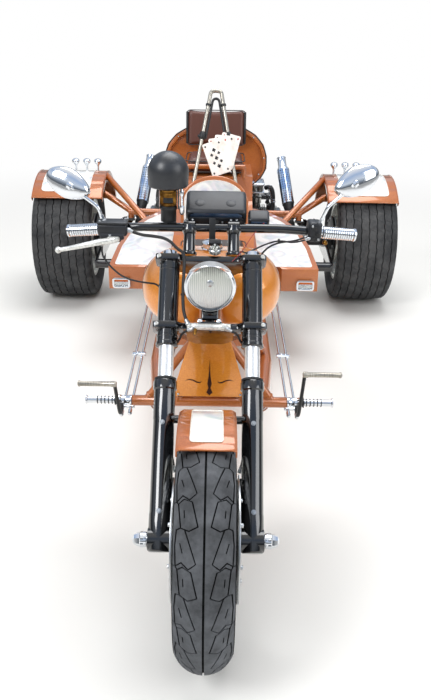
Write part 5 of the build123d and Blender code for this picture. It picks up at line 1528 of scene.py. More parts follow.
class TRIKE_OT_fenders(bpy.types.Operator):
    """Rounds the rear fenders and lays their bare pale panels and edge lines"""
    bl_idname = "trike.fenders"
    bl_label = "Rear fenders"

    def execute(self, context):
        shell = softened("rear_fenders", 2.2)
        done(shell, "rear_fender_shells", "frame", "orange_paint", "copper_lacquer",
             stands_for=("rear_fenders",))
        panel = curved_sheet(352.6, (644, 889), (-34, 40), 22)
        line = wire(curved_outline(353.2, (644, 889), (-34, 40), 22), 2.0, closed=True, soft=False)
        bead = wire(curved_outline(352.4, (579, 934), (-40.4, 67.4), 6), 1.4, closed=True, soft=False)
        where = place_at(0, *REAR_AXLE)
        sheets = mirrored(placed(panel, where))
        for piece in (line, bead):
            piece.data.transform(where)
        done(smoothed(sheets, 60), "rear_fender_panels", "frame", "orange_paint", "pearl_panel")
        done(smoothed(mirrored(line), 60), "rear_fender_lines", "frame", "orange_paint", "ivory_line")
        done(smoothed(mirrored(bead), 60), "rear_fender_beading", "frame", "chrome", "copper_lacquer")
        return {"FINISHED"}


def curved_sheet(radius, across, around, corner):
    """A sheet that lies on a wheel arch: a grid wrapped round the axle, its corners rounded."""
    clear()
    bpy.ops.mesh.primitive_grid_add(x_subdivisions=16, y_subdivisions=24, size=1)
    obj = bpy.context.object
    low, high = across
    start, end = (math.radians(a) for a in around)
    reach = (end - start) * radius
    width = high - low
    for vertex in obj.data.vertices:
        u = (vertex.co.x + 0.5) * width
        v = (vertex.co.y + 0.5) * reach
        du = max(corner - min(u, width - u), 0)
        dv = max(corner - min(v, reach - v), 0)
        far = math.hypot(du, dv)
        if du > 0 and dv > 0 and far > corner:
            share = corner / far
            u = (corner - du * share) if u < width / 2 else width - (corner - du * share)
            v = (corner - dv * share) if v < reach / 2 else reach - (corner - dv * share)
        angle = start + v / radius
        vertex.co = Vector((low + u, radius * math.sin(angle), radius * math.cos(angle))) * MM
    outward(obj)
    if obj.data.polygons[len(obj.data.polygons) // 2].normal.z < 0:
        obj.data.flip_normals()
    return obj


def curved_outline(radius, across, around, corner):
    """The edge of such a sheet as a loop of points."""
    low, high = across
    start, end = (math.radians(a) for a in around)
    reach = (end - start) * radius
    flat_loop = rounded([(low, 0), (high, 0), (high, reach), (low, reach)], corner, 5)
    points = []
    for (x0, y0), (x1, y1) in zip(flat_loop, flat_loop[1:] + flat_loop[:1]):
        parts = max(int(math.hypot(x1 - x0, y1 - y0) / 14), 1)
        for k in range(parts):
            t = k / parts
            angle = start + (y0 + (y1 - y0) * t) / radius
            points.append(Vector((x0 + (x1 - x0) * t, radius * math.sin(angle),
                                  radius * math.cos(angle))) * MM)
    return points


class TRIKE_OT_fender_lamps(bpy.types.Operator):
    """Models the three round marker lamps on each rear fender"""
    bl_idname = "trike.fender_lamps"
    bl_label = "Fender lamps"

    def execute(self, context):
        chrome, lenses = [], []
        surface = REAR_AXLE[1] + math.sqrt(352 ** 2 - 120 ** 2)
        for side in SIDES:
            for x in (643, 703, 763):
                stem = turned([(-4, 8), (0, 8), (2, 5), (26, 5), (34, 8), (46, 18), (50, 20), (56, 20),
                               (62, 17), (66, 11), (68, 4)], 32)
                placed(stem, place_at(side * x, 2650, surface))
                head = turned([(0, 12), (14, 13.5), (18, 13.5), (20, 12)], 32)
                placed(head, facing(at(side * x, 2651, surface + 52), (0, 1, 0)))
                lens = turned([(19.5, 12.4), (22, 11), (24, 7), (24.6, 2)], 28)
                placed(lens, facing(at(side * x, 2651, surface + 52), (0, 1, 0)))
                chrome += [stem, head]
                lenses.append(lens)
        shown(chrome, "fender_lamp_bodies", "frame", "chrome", "chrome_plate",
             stands_for=("fender_lamps",))
        shown(lenses, "fender_lamp_lenses", "frame", "red_lens", "red_acrylic")
        return {"FINISHED"}


class TRIKE_OT_mudguard(bpy.types.Operator):
    """Rounds the front mudguard, and lays its bare panel, its line and its stays' bolts"""
    bl_idname = "trike.mudguard"
    bl_label = "Front mudguard"

    def execute(self, context):
        shell = softened("front_mudguard", 1.8)
        done(shell, "front_mudguard_shell", "steering", "orange_paint", "copper_lacquer", "black_enamel",
             stands_for=("front_mudguard",))
        painted(shell, lambda f: abs(f.center.x) > 69.8 * MM, 1)
        where = place_at(0, 0, FRONT_AXLE_Z)
        panel = curved_sheet(321.5, (-37, 37), (-9.5, 22), 9)
        placed(panel, where)
        done(smoothed(panel, 60), "front_mudguard_panel", "steering", "orange_paint", "pearl_panel")
        line = wire(curved_outline(322, (-37, 37), (-9.5, 22), 9), 1.5, closed=True, soft=False)
        line.data.transform(where)
        done(smoothed(line, 60), "front_mudguard_line", "steering", "orange_paint", "ivory_line")
        stays = []
        for side in SIDES:
            for behind in (-20, 20):
                start = on_fork(side * 66, behind, 304)
                end = on_fork(side * 94, behind * 0.8, 304)
                stays.append(wire([start, (start + end) / 2, end], 4.5, sides=12))
        shown(stays, "mudguard_stays", "steering", "black_metal", "black_enamel")
        spots = [(on_fork(side * 70, behind, 304), (side, 0, 0)) for side in SIDES for behind in (-20, 20)]
        bolted(dome_nut, 4.4, spots, "mudguard_nuts", "steering", "chrome_plate")
        return {"FINISHED"}


class TRIKE_OT_front_panel(bpy.types.Operator):
    """Rounds the panel between the front tubes and pulls its brown spear and curls"""
    bl_idname = "trike.front_panel"
    bl_label = "Front panel"

    def execute(self, context):
        # The front panel's paint is the body's copper, painted lighter for the light falling on it.
        done(softened("front_panel", 1.2), "front_panel_sheet", "frame", "orange_paint", "amber_lacquer",
             stands_for=("front_panel",))
        where = facing(at(0, 494.0, 664), (0, -1, 0.102))
        spear = [(1.5, -130), (3, -150), (6.5, -172), (3, -186), (9.3, -200), (2, -207)]
        curl = [(72, -163.5), (60, -158.5), (48, -160), (36, -166), (28, -167.5), (23, -163), (27, -170.5),
                (37, -170), (49, -163.5), (60, -161)]
        parts = [[(0, -97)] + spear + [(0, -210)] + [(-x, y) for x, y in reversed(spear)]]
        parts += [[(side * x, y) for x, y in curl] for side in SIDES]
        pulled = [flat([outline], 0.5, where) for outline in parts]
        done(joined(pulled), "front_panel_scallops", "frame", "orange_paint", "brown_line")
        spots = [(where @ Vector((x * MM, y * MM, 0)), (0, -1, 0.1))
                 for x, y in ((0, -14), (-92, -206), (92, -206))]
        bolted(dome_nut, 3.6, spots, "front_panel_screws", "frame", "zinc_plate")
        return {"FINISHED"}


# Tank, body, seats

def deck(x, station):
    """A point on the sloping deck of a side pod."""
    return at(x, station, 432 + DECK_SLOPE * (station - 1700))


class TRIKE_OT_tank_and_body(bpy.types.Operator):
    """Rounds the tank and body, sets the fuel cap, and lays the pods' bare panels and their lines"""
    bl_idname = "trike.tank_and_body"
    bl_label = "Tank and body"

    def execute(self, context):
        tank = smoothed(merged_copy("fuel_tank"), 50)
        # The tank's paint is the body's copper, painted lighter for the light falling on it.
        done(tank, "fuel_tank_skin", "frame", "orange_paint", "amber_lacquer", stands_for=("fuel_tank",))
        cap = turned([(0, 30), (3, 34), (6, 32), (20, 32), (24, 30), (27, 22), (28.5, 10)], 12)
        placed(cap, place_at(0, 800, 804))
        done(smoothed(cap, 20), "fuel_cap_chrome", "frame", "chrome", "chrome_plate",
             stands_for=("fuel_cap",))
        done(softened("body_tub", 9, 3), "body_shell", "frame", "orange_paint", "copper_lacquer",
             stands_for=("body_tub",))
        slope = Vector((0, 1, DECK_SLOPE)).normalized()
        panels, lines = [], []
        for side in SIDES:
            origin = deck(0, 1700) + Vector((0, 0, 0.4 * MM))
            x_axis = Vector((1, 0, 0))
            axes = Matrix((x_axis, slope, x_axis.cross(slope))).transposed().to_4x4()
            where = Matrix.Translation(origin) @ axes
            outline = [(206, 20), (442, 20), (428, 196), (392, 376), (334, 482), (262, 566), (188, 604)]
            loop = rounded([(side * x, y) for x, y in outline], 14, 3)
            sheet, bead = bordered(loop, where)
            panels.append(sheet)
            lines.append(bead)
        done(joined(panels), "pod_panels", "frame", "orange_paint", "pearl_panel")
        shown(lines, "pod_lines", "frame", "orange_paint", "ivory_line")
        return {"FINISHED"}


class TRIKE_OT_pod_lamps(bpy.types.Operator):
    """Models the ribbed lamps on the front of the side pods"""
    bl_idname = "trike.pod_lamps"
    bl_label = "Pod lamps"

    def execute(self, context):
        frames, glasses, tops = [], [], []
        for side in SIDES:
            where = facing(at(side * 411, 1699, 361), (0, -1, 0))
            outer = rounded([(-38, -23), (38, -23), (38, 23), (-38, 23)], 12, 4)
            inner = rounded([(-33, -18), (33, -18), (33, 18), (-33, 18)], 8, 4)
            frames.append(flat([outer, inner], 19, where, 2))
            frames.append(flat([inner], 6, where))
            glasses.append(flat([rounded([(-33, -18), (33, -18), (33, 5), (-33, 5)], 5, 3)], 15, where, 1.5))
            for k in range(15):
                x = -28 + 4 * k
                rib = box((1.8, 19, 2.4), where @ shift(x, -6.5, 15.2), 0.6, 1)
                glasses.append(rib)
            tops.append(flat([rounded([(-33, 6), (33, 6), (33, 18), (-33, 18)], 5, 3)], 15, where, 1.5))
        shown(frames, "pod_lamp_frames", "frame", "chrome", "chrome_plate",
             stands_for=("front_lamps",))
        shown(glasses, "pod_lamp_glasses", "frame", "clear_glass", "lamp_glass")
        shown(tops, "pod_lamp_tops", "frame", "clear_glass", "amber_acrylic")
        return {"FINISHED"}


def stuffed(size, where, swell, corner):
    """A foam cushion: remeshed, blown up as cloth with its travel capped, and subdivided once."""
    obj = box([s - swell * 0.7 for s in size], None, corner, 3)
    only(obj)
    mesh = obj.modifiers.new("remesh", "REMESH")
    mesh.mode = "VOXEL"
    mesh.voxel_size = 0.006
    bpy.ops.object.modifier_apply(modifier=mesh.name)
    rest = [v.co.copy() for v in obj.data.vertices]
    cloth = obj.modifiers.new("cloth", "CLOTH")
    cloth.settings.use_pressure = True
    cloth.settings.uniform_pressure_force = 4.0
    cloth.settings.effector_weights.gravity = 0.0
    cloth.point_cache.frame_start = 1
    cloth.point_cache.frame_end = 20
    for step in range(1, 21):
        bpy.context.scene.frame_set(step)
    only(obj)
    bpy.ops.object.modifier_apply(modifier=cloth.name)
    bpy.context.scene.frame_set(1)
    for vertex, start in zip(obj.data.vertices, rest):
        move = vertex.co - start
        if move.length > swell * MM:
            vertex.co = start + move.normalized() * swell * MM
    half = Vector(size) * MM / 2
    for vertex in obj.data.vertices:
        for axis in range(3):
            vertex.co[axis] = max(-half[axis], min(half[axis], vertex.co[axis]))
    only(obj)
    finer = obj.modifiers.new("finer", "SUBSURF")
    finer.levels = 1
    finer.render_levels = 1
    bpy.ops.object.modifier_apply(modifier=finer.name)
    obj.data.transform(where)
    return smoothed(obj, 60)


def widened(obj, share, height, about):
    """Stretches a piece across, and in height about a level, in place."""
    level = Matrix.Translation((0, 0, about * MM))
    obj.data.transform(level @ Matrix.Diagonal((share, 1, height, 1)) @ level.inverted())
    return obj


def ring_of(size, corner, height):
    """The outline of a cushion's edge, in metres, at that height above its middle."""
    x, y = size[0] / 2, size[1] / 2
    loop = rounded([(-x, -y), (x, -y), (x, y), (-x, y)], corner, 5)
    return [Vector((a * MM, b * MM, height * MM)) for a, b in loop]


class TRIKE_OT_driver_seat(bpy.types.Operator):
    """Models the driver's cushion, and the arched backrest with its pale bare face"""
    bl_idname = "trike.driver_seat"
    bl_label = "Driver's seat"

    def execute(self, context):
        where = place_at(0, 1446, 587.3)
        cushion = stuffed((270, 210, 57), where, 8, 22)
        done(cushion, "driver_cushion_leather", "frame", "dark_leather", "dark_leather",
             stands_for=("driver_cushion",))
        pipes = []
        for height in (-20, 17):
            pipes.append(wire([where @ p for p in ring_of((266, 206), 34, height)], 2.6, closed=True, sides=8,
                              soft=False))
        for x in (-90, -45, 0, 45, 90):
            line = [where @ (Vector((x, y, 28.5 - abs(y) * 0.035)) * MM) for y in (-86, -40, 0, 40, 86)]
            pipes.append(wire(line, 1.2))
        shown(pipes, "driver_cushion_piping", "frame", "dark_leather", "waxed_thread")

        arch = widened(softened("driver_backrest", 5, 3), 1.22, 0.96, 618)
        done(arch, "driver_backrest_shell", "frame", "orange_paint", "copper_lacquer",
             stands_for=("driver_backrest",))
        lean = facing(at(0, 1650, 618), (0, -1, 0.2))
        outline = [(-128, 22), (128, 22)]
        arc = [(128 * math.cos(math.radians(a)),
                122 + 88 * math.sin(math.radians(a))) for a in range(0, 181, 9)]
        outline = outline + arc
        sheet, bead = bordered(outline, lean @ Matrix.Translation((0, 0, 0.3 * MM)), line=3.2)
        done(sheet, "driver_backrest_panel", "frame", "orange_paint", "pearl_panel")
        done(smoothed(bead), "driver_backrest_line", "frame", "orange_paint", "ivory_line")
        return {"FINISHED"}


class TRIKE_OT_passenger_seat(bpy.types.Operator):
    """Models the passenger's shell, cushion and back pad, with rim, screws and seams"""
    bl_idname = "trike.passenger_seat"
    bl_label = "Passenger's seat"

    def execute(self, context):
        shell = widened(softened("passenger_shell", 4, 3), 1.15, 1, 0)
        done(shell, "passenger_shell_round", "frame", "orange_paint", "copper_lacquer",
             stands_for=("passenger_shell",))
        lean = facing(at(0, 2262, 668), (0, -1, 0.18))
        outline = [(-150, 2), (150, 2), (194, 41), (218, 90), (218, 150), (203, 204), (169, 250), (114, 286),
                   (50, 302), (-50, 302), (-114, 286), (-169, 250), (-203, 204), (-218, 150), (-218, 90),
                   (-194, 41)]
        rim = wire([lean @ (Vector((1.15 * x, y, 0.5)) * MM) for x, y in rounded(outline, 30, 3)], 2.6,
                   closed=True, sides=8, soft=False)
        done(smoothed(rim), "passenger_shell_rim", "frame", "black_rubber", "moulded_rubber")
        spots = [(lean @ Vector((x * MM, y * MM, 0.5 * MM)), (0, -1, 0.18))
                 for x, y in ((-214, 62), (214, 62), (-237, 140), (237, 140), (-184, 238), (184, 238))]
        bolted(dome_nut, 4, spots, "passenger_shell_screws", "frame", "zinc_plate")

        base = place_at(0, 2065, 826.3)
        seat = stuffed((272, 222, 71), base, 10, 26)
        done(seat, "passenger_seat_leather", "frame", "brown_leather", "brown_leather",
             stands_for=("passenger_cushions",))
        pad_where = lean @ shift(0, 281, 17.3)
        pad = stuffed((290, 168, 34), pad_where, 6, 14)
        done(pad, "passenger_back_leather", "frame", "brown_leather", "brown_leather")
        pipes = [wire([base @ p for p in ring_of((268, 218), 36, h)], 2.6, closed=True, sides=8, soft=False)
                 for h in (-24, 24)]
        pipes.append(wire([pad_where @ p for p in ring_of((284, 162), 20, 10)], 2.4, closed=True, sides=8,
                          soft=False))
        shown(pipes, "passenger_piping", "frame", "brown_leather", "dark_leather")
        cheeks = []
        for side in SIDES:
            cheek = box((11, 150, 30), pad_where @ shift(side * 140, 0, -1), 4, 3)
            cheeks.append(cheek)
            for y in (-40, 40):
                cheeks.append(box((20, 14, 12), pad_where @ shift(side * 136, y, -10), 3))
        shown(cheeks, "passenger_back_sides", "frame", "black_plastic", "satin_black")
        return {"FINISHED"}


CARD_PIVOT_Z = 832


class TRIKE_OT_sissy_bar(bpy.types.Operator):
    """Models the sissy bar with its black inner arch and knobs, and the fan of four cards"""
    bl_idname = "trike.sissy_bar"
    bl_label = "Sissy bar and cards"

    def execute(self, context):
        foot, top = at(129, 1700, 600), at(22, 1940, 1156)
        run = top - foot
        leg = [foot, foot + run * 0.96, top]
        tube = wire([other_side(p) for p in leg] + list(reversed(leg)), 8, sides=20)
        # The sissy bar's warm grey-gold tint is a painted reflection.
        done(smoothed(tube, 50), "sissy_bar_tube", "frame", "chrome", "brushed_nickel",
             stands_for=("sissy_bar",))
        inward = Vector((-14, 0, -6)) * MM
        arch = [foot + run * share + inward for share in (0.67, 0.9, 0.955)]
        arch_tube = wire([other_side(p) for p in arch] + list(reversed(arch)), 5.5, sides=16)
        done(smoothed(arch_tube, 50), "sissy_bar_arch", "frame", "black_plastic", "satin_black")
        knobs = []
        for side in SIDES:
            base = foot if side > 0 else other_side(foot)
            way = run if side > 0 else other_side(run)
            knob = turned([(-16, 10.5), (-13, 13), (-4, 14.5), (4, 14.5), (13, 13), (16, 10.5)], 28)
            knobs.append(placed(knob, facing(base + way * 0.68, way, (0, 1, 0))))
            for share in (0.7, 0.9):
                band = turned([(-5, 9.6), (-4, 11.5), (4, 11.5), (5, 9.6)], 28)
                knobs.append(placed(band, facing(base + way * share, way, (0, 1, 0))))
            wing = turned([(0, 5), (12, 4), (14, 6), (20, 6), (22, 3)], 16)
            knobs.append(placed(wing, facing(base + way * 0.68, (side, -0.4, 0))))
        shown(knobs, "sissy_bar_knobs", "frame", "black_plastic", "satin_black")
        ahead = Vector((0, -run.z, run.y)).normalized()
        share = (CARD_PIVOT_Z * MM - foot.z) / run.z
        pivot = Vector((84.5 * MM, foot.y + run.y * share, CARD_PIVOT_Z * MM))
        boards, red, black = [], [], []
        for layer, turn in enumerate((20, 8, -3, -14)):
            clear_by = (9.3 + 3 * (4 - layer - 0.5)) * MM
            where = facing(pivot + ahead * clear_by, ahead) @ Matrix.Rotation(math.radians(turn), 4, "Z")
            where = where @ shift(-53, 83, -1.5)
            card = flat([rounded([(-41, -73), (41, -73), (41, 73), (-41, 73)], 7, 4)], 2.6, where, 0.5)
            boards.append(card)
            inks = red if layer % 2 else black
            face = where @ Matrix.Translation((0, 0, 2.65 * MM))
            for x, y, size, flip in ((-31, 60, 5, 1), (31, -60, 5, -1), (31, 60, 5, 1), (-31, -60, 5, -1)):
                inks.append(flat([pip(size * flip, x, y, layer)], 0.3, face))
            if layer == 0:
                for x, y, size in ((0, 36, 9), (0, 0, 9), (0, -36, 9), (-16, 18, 7), (16, 18, 7),
                                   (-16, -18, 7), (16, -18, 7)):
                    inks.append(flat([pip(size if y >= 0 else -size, x, y, layer)], 0.3, face))
        shown(boards, "cards", "frame", "card_white", "card_board", stands_for=("card_fan",))
        done(joined(red), "card_pips_red", "frame", "card_white", "red_ink")
        done(joined(black), "card_pips_black", "frame", "card_white", "black_ink")
        screw = [(pivot + ahead * 21.5 * MM + Vector((-16, 0, 0)) * MM, ahead)]
        bolted(dome_nut, 4, screw, "card_screw", "frame", "zinc_plate")
        return {"FINISHED"}


def pip(size, x, y, kind):
    """The outline of a plain suit mark: a spade-like drop, or a diamond."""
    if kind % 2:
        shape = [(0, 1.2), (0.8, 0), (0, -1.2), (-0.8, 0)]
    else:
        shape = [(0, 1.2), (0.45, 0.6), (0.95, 0.0), (0.8, -0.5), (0.25, -0.45), (0.4, -1.0), (-0.4, -1.0),
                 (-0.25, -0.45), (-0.8, -0.5), (-0.95, 0.0), (-0.45, 0.6)]
    return [(x + size * a, y + size * b) for a, b in shape]
# Foot controls, frame, axle, engine and rear bar

WELD_BEAD = 2.2


def collared(start, end, profile, sides=28, turn=(1, 0, 0)):
    """A turned piece along a line; profile holds (share of the line or millimetres, radius)."""
    reach = (end - start).length / MM
    pairs = [(h * reach if 0 <= h <= 1 else (h if h > 0 else reach + h), r) for h, r in profile]
    return placed(turned(pairs, sides), facing(start, end - start, turn))


def weld(point, direction, radius):
    """The ripple of a weld where a tube of that radius ends."""
    ring = []
    for k in range(48):
        angle = 2 * math.pi * k / 48
        lift = radius + (0.5 if k % 2 else -0.2)
        ring.append(Vector((lift * math.cos(angle), lift * math.sin(angle), 0)) * MM)
    obj = wire(ring, WELD_BEAD, closed=True, soft=False)
    obj.data.transform(facing(point, direction, (1, 0, 0) if abs(direction[0]) < 0.9 else (0, 1, 0)))
    return obj


def coil(start, end, radius, thickness, turns):
    """A helical spring between two points."""
    steps = 16
    where = facing(start, end - start)
    reach = (end - start).length
    points = []
    for k in range(turns * steps + 1):
        share = k / (turns * steps)
        eased = share * share * (3 - 2 * share) * 0.12 + share * 0.88
        angle = 2 * math.pi * k / steps
        x, y = radius * MM * math.cos(angle), radius * MM * math.sin(angle)
        points.append(where @ Vector((x, y, eased * reach)))
    return wire(points, thickness / 2, sides=8, soft=False)


class TRIKE_OT_foot_controls(bpy.types.Operator):
    """Models the pegs with their rubber rings, the pedals, and the twin rods behind them"""
    bl_idname = "trike.foot_controls"
    bl_label = "Pegs, pedals and rods"

    def execute(self, context):
        bright, warm_reflection_bars, arms, rubber, rods = [], [], [], [], []
        for side, pedal_z in ((-1, 527), (1, 566)):
            station, height = 492, 425
            start = at(side * 230.5, station, height)
            end = at(side * 276, station, height)
            bright.append(collared(start, end, [(0, 13), (2, 16), (10, 16), (12, 14.6), (34, 14.6), (36, 16),
                                                (44, 16), (1, 13)], 36, (0, 1, 0)))
            tip = at(side * 371, station, height)
            bright.append(collared(end, tip, [(0, 9), (2, 10), (88, 10), (90, 14), (93, 14), (95, 11),
                                              (95.6, 4)], 32, (0, 1, 0)))
            for ring in range(5):
                low = at(side * (288 + 11 * ring), station, height)
                high = at(side * (292 + 11 * ring), station, height)
                rubber.append(collared(low, high, [(0, 9.5), (0.6, 11.4), (1.4, 12), (2.6, 12), (3.4, 11.4),
                                                   (4, 9.5)], 28, (0, 1, 0)))
            arm = [at(side * 262, station, height), at(side * 262, 462, 408), at(side * 262, 446, 404),
                   at(side * 264, 424, 450), at(side * 268, 400, pedal_z)]
            arms.append(wire(arm, 5.2, sides=14, taper=(1.3, 1.3, 1.2, 1.0, 1.0)))
            low, high = at(side * 262, 400, pedal_z), at(side * 373, 400, pedal_z)
            warm_reflection_bars.append(collared(low, high,
                                    [(0, 5), (1.5, 8.4), (14, 8.4), (16, 7.2), (102, 7.2), (104, 8.6),
                                                (108, 8.6), (110.6, 4)], 28, (0, 1, 0)))
            rubber.append(collared(at(side * 276, station, height), at(side * 282, station, height),
                                   [(0, 10), (1, 16), (5, 16), (6, 10)], 32, (0, 1, 0)))
            for x, front in ((238, 470), (262, 462)):
                low, high = at(side * x, front, 390), at(side * x, 1828, 400)
                rods.append(collared(low, high,
                                     [(0, 3), (2, 6.5), (22, 6.5), (24, 4.4), (-60, 4.4), (-58, 6.8),
                                                 (-48, 6.8), (-46, 4.4), (-30, 4.4), (-28, 7), (-2, 7),
                                                 (1, 3)], 14))
            for place in (520, 880, 1500):
                z = 391 + (place - 466) * 0.0077
                rods.append(box((46, 22, 10), place_at(side * 250, place, z), 2.4))
                for dx in (-7, 7):
                    rods.append(placed(hex_bolt(3.4), facing(at(side * 250 + dx, place, z + 5), (0, 0, 1))))
        shown(bright, "peg_and_pedal_metal", "frame", "chrome", "chrome_plate",
             stands_for=("foot_controls",))
        # The pedal bars' warm grey-gold tint is a painted reflection.
        shown(warm_reflection_bars, "pedal_bars", "frame", "chrome", "brushed_nickel")
        shown(arms, "pedal_arms", "frame", "black_metal", "satin_black")
        shown(rubber, "peg_rubbers", "frame", "black_rubber", "moulded_rubber")
        shown(rods, "pedal_rod_pairs", "frame", "chrome", "chrome_plate",
             stands_for=("pedal_rods",))
        return {"FINISHED"}


class TRIKE_OT_cables(bpy.types.Operator):
    """Lays the brake hoses and control cables with their ferrules and ties"""
    bl_idname = "trike.cables"
    bl_label = "Hoses and cables"

    def execute(self, context):
        runs = (
            (4.4, (at(-234, 556, 931), at(-200, 552, 918), at(-166, 545, 918), at(-120, 530, 915),
                   at(-92, 512, 890), on_fork(-72, -30, 768), on_fork(-74, -30, 700), on_fork(-74, -42, 620),
                   on_fork(-68, -56, 570),
                   on_fork(-56, -60, 546))),
            (2.6, (at(-300, 540, 902), at(-312, 536, 872), at(-284, 525, 834), at(-244, 510, 805),
                   at(-190, 500, 796), on_fork(-140, 30, 700), on_fork(-136, 30, 640),
                   on_fork(-134, 26, LOWER_CLAMP_UP + 12))),
            (2.6, (at(274, 572, 918), at(240, 558, 905), at(190, 545, 906), at(152, 530, 892),
                   on_fork(134, 50, 790), on_fork(136, 48, 740), on_fork(136, 34, 640),
                   on_fork(134, 26, LOWER_CLAMP_UP + 12))),
            (2.4, (at(276, 560, 914), at(236, 550, 900), at(188, 545, 912), at(140, 540, 896),
                   at(96, 536, 872), on_fork(84, -10, 790), on_fork(60, 30, 782))),
            (3.2, (on_fork(-44, -66, 532), on_fork(-60, -58, 529), on_fork(-75, -34, 528),
                   on_fork(-80, 0, 526),
                   on_fork(-98, 40, 518), on_fork(-106, 43, 440), on_fork(-106, 44, 260),
                   on_fork(-84, 44, 176))),
            (3.2, (on_fork(44, -66, 532), on_fork(60, -58, 529), on_fork(75, -34, 528), on_fork(80, 0, 526),
                   on_fork(98, 40, 518), on_fork(106, 43, 440), on_fork(106, 44, 260),
                   on_fork(84, 44, 176))),
        )
        hoses = [wire(points, radius, sides=12) for radius, points in runs]
        ties = []
        for point, direction in ((at(188, 545, 909), (1, 0.2, 0)), (on_fork(-74, -39, 640), FORK_UP),
                                 (on_fork(136, 41, 690), FORK_UP), (on_fork(-106, 44, 270), FORK_UP),
                                 (on_fork(106, 44, 270), FORK_UP)):
            ties.append(placed(turned([(-2.5, 4.5), (-2, 6), (2, 6), (2.5, 4.5)], 16),
                               facing(point, direction)))
        shown(hoses + ties, "hoses_and_cables", "steering", "black_rubber", "moulded_rubber",
             stands_for=("brake_hoses",))
        ferrules = []
        for radius, points in runs:
            for end, near in ((points[0], points[1]), (points[-1], points[-2])):
                profile = [(-2, radius + 1.6), (0, radius + 2.4), (7, radius + 2.4), (8, radius + 1.2),
                           (15, radius + 1.0), (16, radius * 0.8)]
                ferrules.append(placed(turned(profile, 18), facing(end, near - end)))
        shown(ferrules, "hose_ferrules", "steering", "aluminium", "zinc_plate")
        return {"FINISHED"}


class TRIKE_OT_calipers(bpy.types.Operator):
    """Models the two-piston front calipers over the discs, and the polished tubes inside the covers"""
    bl_idname = "trike.calipers"
    bl_label = "Calipers"

    def execute(self, context):
        bodies, bright = [], []
        for side in SIDES:
            for x, width in ((68.5, 15), (92.0, 17)):
                where = facing(on_fork(side * x, 76, 118), FORK_UP)
                half = box((width, 58, 88), where, 5, 3)
                bodies.append(half)
            for up in (92, 144):
                bridge = box((40, 14, 22), facing(on_fork(side * 80, 102, up), FORK_UP), 3)
                bodies.append(bridge)
                bore = turned([(0, 19), (7, 19), (9, 16), (10, 8)], 32)
                bodies.append(placed(bore, facing(on_fork(side * 99, 74, up + 1), (side, 0, 0))))
                bright.append(placed(cap_screw(5.5), facing(on_fork(side * 101, 100, up), (side, 0, 0))))
            lug = box((22, 26, 60), facing(on_fork(side * 113, 41, 118), FORK_UP), 4)
            bodies.append(lug)
            for up in (98, 138):
                bright.append(placed(hex_bolt(6), facing(on_fork(side * 124, 44, up), (side, 0, 0))))
            nipple = turned([(0, 4), (5, 4), (6, 2.6), (14, 2.6)], 12)
            bright.append(placed(nipple, facing(on_fork(side * 84, 84, 162), FORK_UP)))
        shown(bodies, "caliper_castings", "steering", "black_metal", "satin_black",
             stands_for=("calipers",))
        shown(bright, "caliper_bolts", "steering", "chrome", "zinc_plate")
        rods = []
        for side in SIDES:
            low, high = on_fork(side * LEG_X, 0, 405.3), on_fork(side * LEG_X, 0, 783)
            rods.append(collared(low, high, [(0, 19.8), (1, 20.5), (-1, 20.5), (1, 19.8)], 48))
        shown(rods, "polished_stanchions", "steering", "aluminium", "chrome_plate",
             stands_for=("stanchions",))
        return {"FINISHED"}


class TRIKE_OT_frame_tubes(bpy.types.Operator):
    """Smooths the frame's tubes and adds the welds and bearing cups"""
    bl_idname = "trike.frame_tubes"
    bl_label = "Frame"

    def execute(self, context):
        for node in ("frame_backbone", "frame_front", "frame_rails", "frame_crossmembers"):
            done(softened(node, 0.8, 1), node + "_painted", "frame", "orange_paint", "copper_lacquer",
                 stands_for=(node,))
        beads = []
        for side in SIDES:
            for start, end, radius in ((at(side * 28, 512, 664), at(side * 98, 490, 430), 13.5),
                                       (at(side * 30, 516, 645), at(side * 186, 494, 430), 12)):
                run = (end - start).normalized()
                beads.append(weld(end - run * 0.016, run, radius))
            beads.append(weld(at(side * 176, 1050, 346), Vector((-188, 0, 192)) * MM, 18))
            for station in (1200, 1750, 2120):
                beads.append(weld(at(side * 175, station, 303.7), (1, 0, 0), 20))
            beads.append(weld(at(side * 155, 514, 409), at(side * 176, 760, 304) - at(side * 150, 502, 417),
                              24))
        cups = []
        for low, high in ((575, 582), (732, 739)):
            cups.append(placed(turned([(low, 30.5), (low + 1.5, 33), (high - 1.5, 33), (high, 30.5)], 48),
                               facing(on_fork(0, 65, 0), FORK_UP)))
        shown(beads, "frame_welds", "frame", "orange_paint", "copper_lacquer")
        shown(cups, "neck_bearing_cups", "frame", "chrome", "chrome_plate")
        return {"FINISHED"}


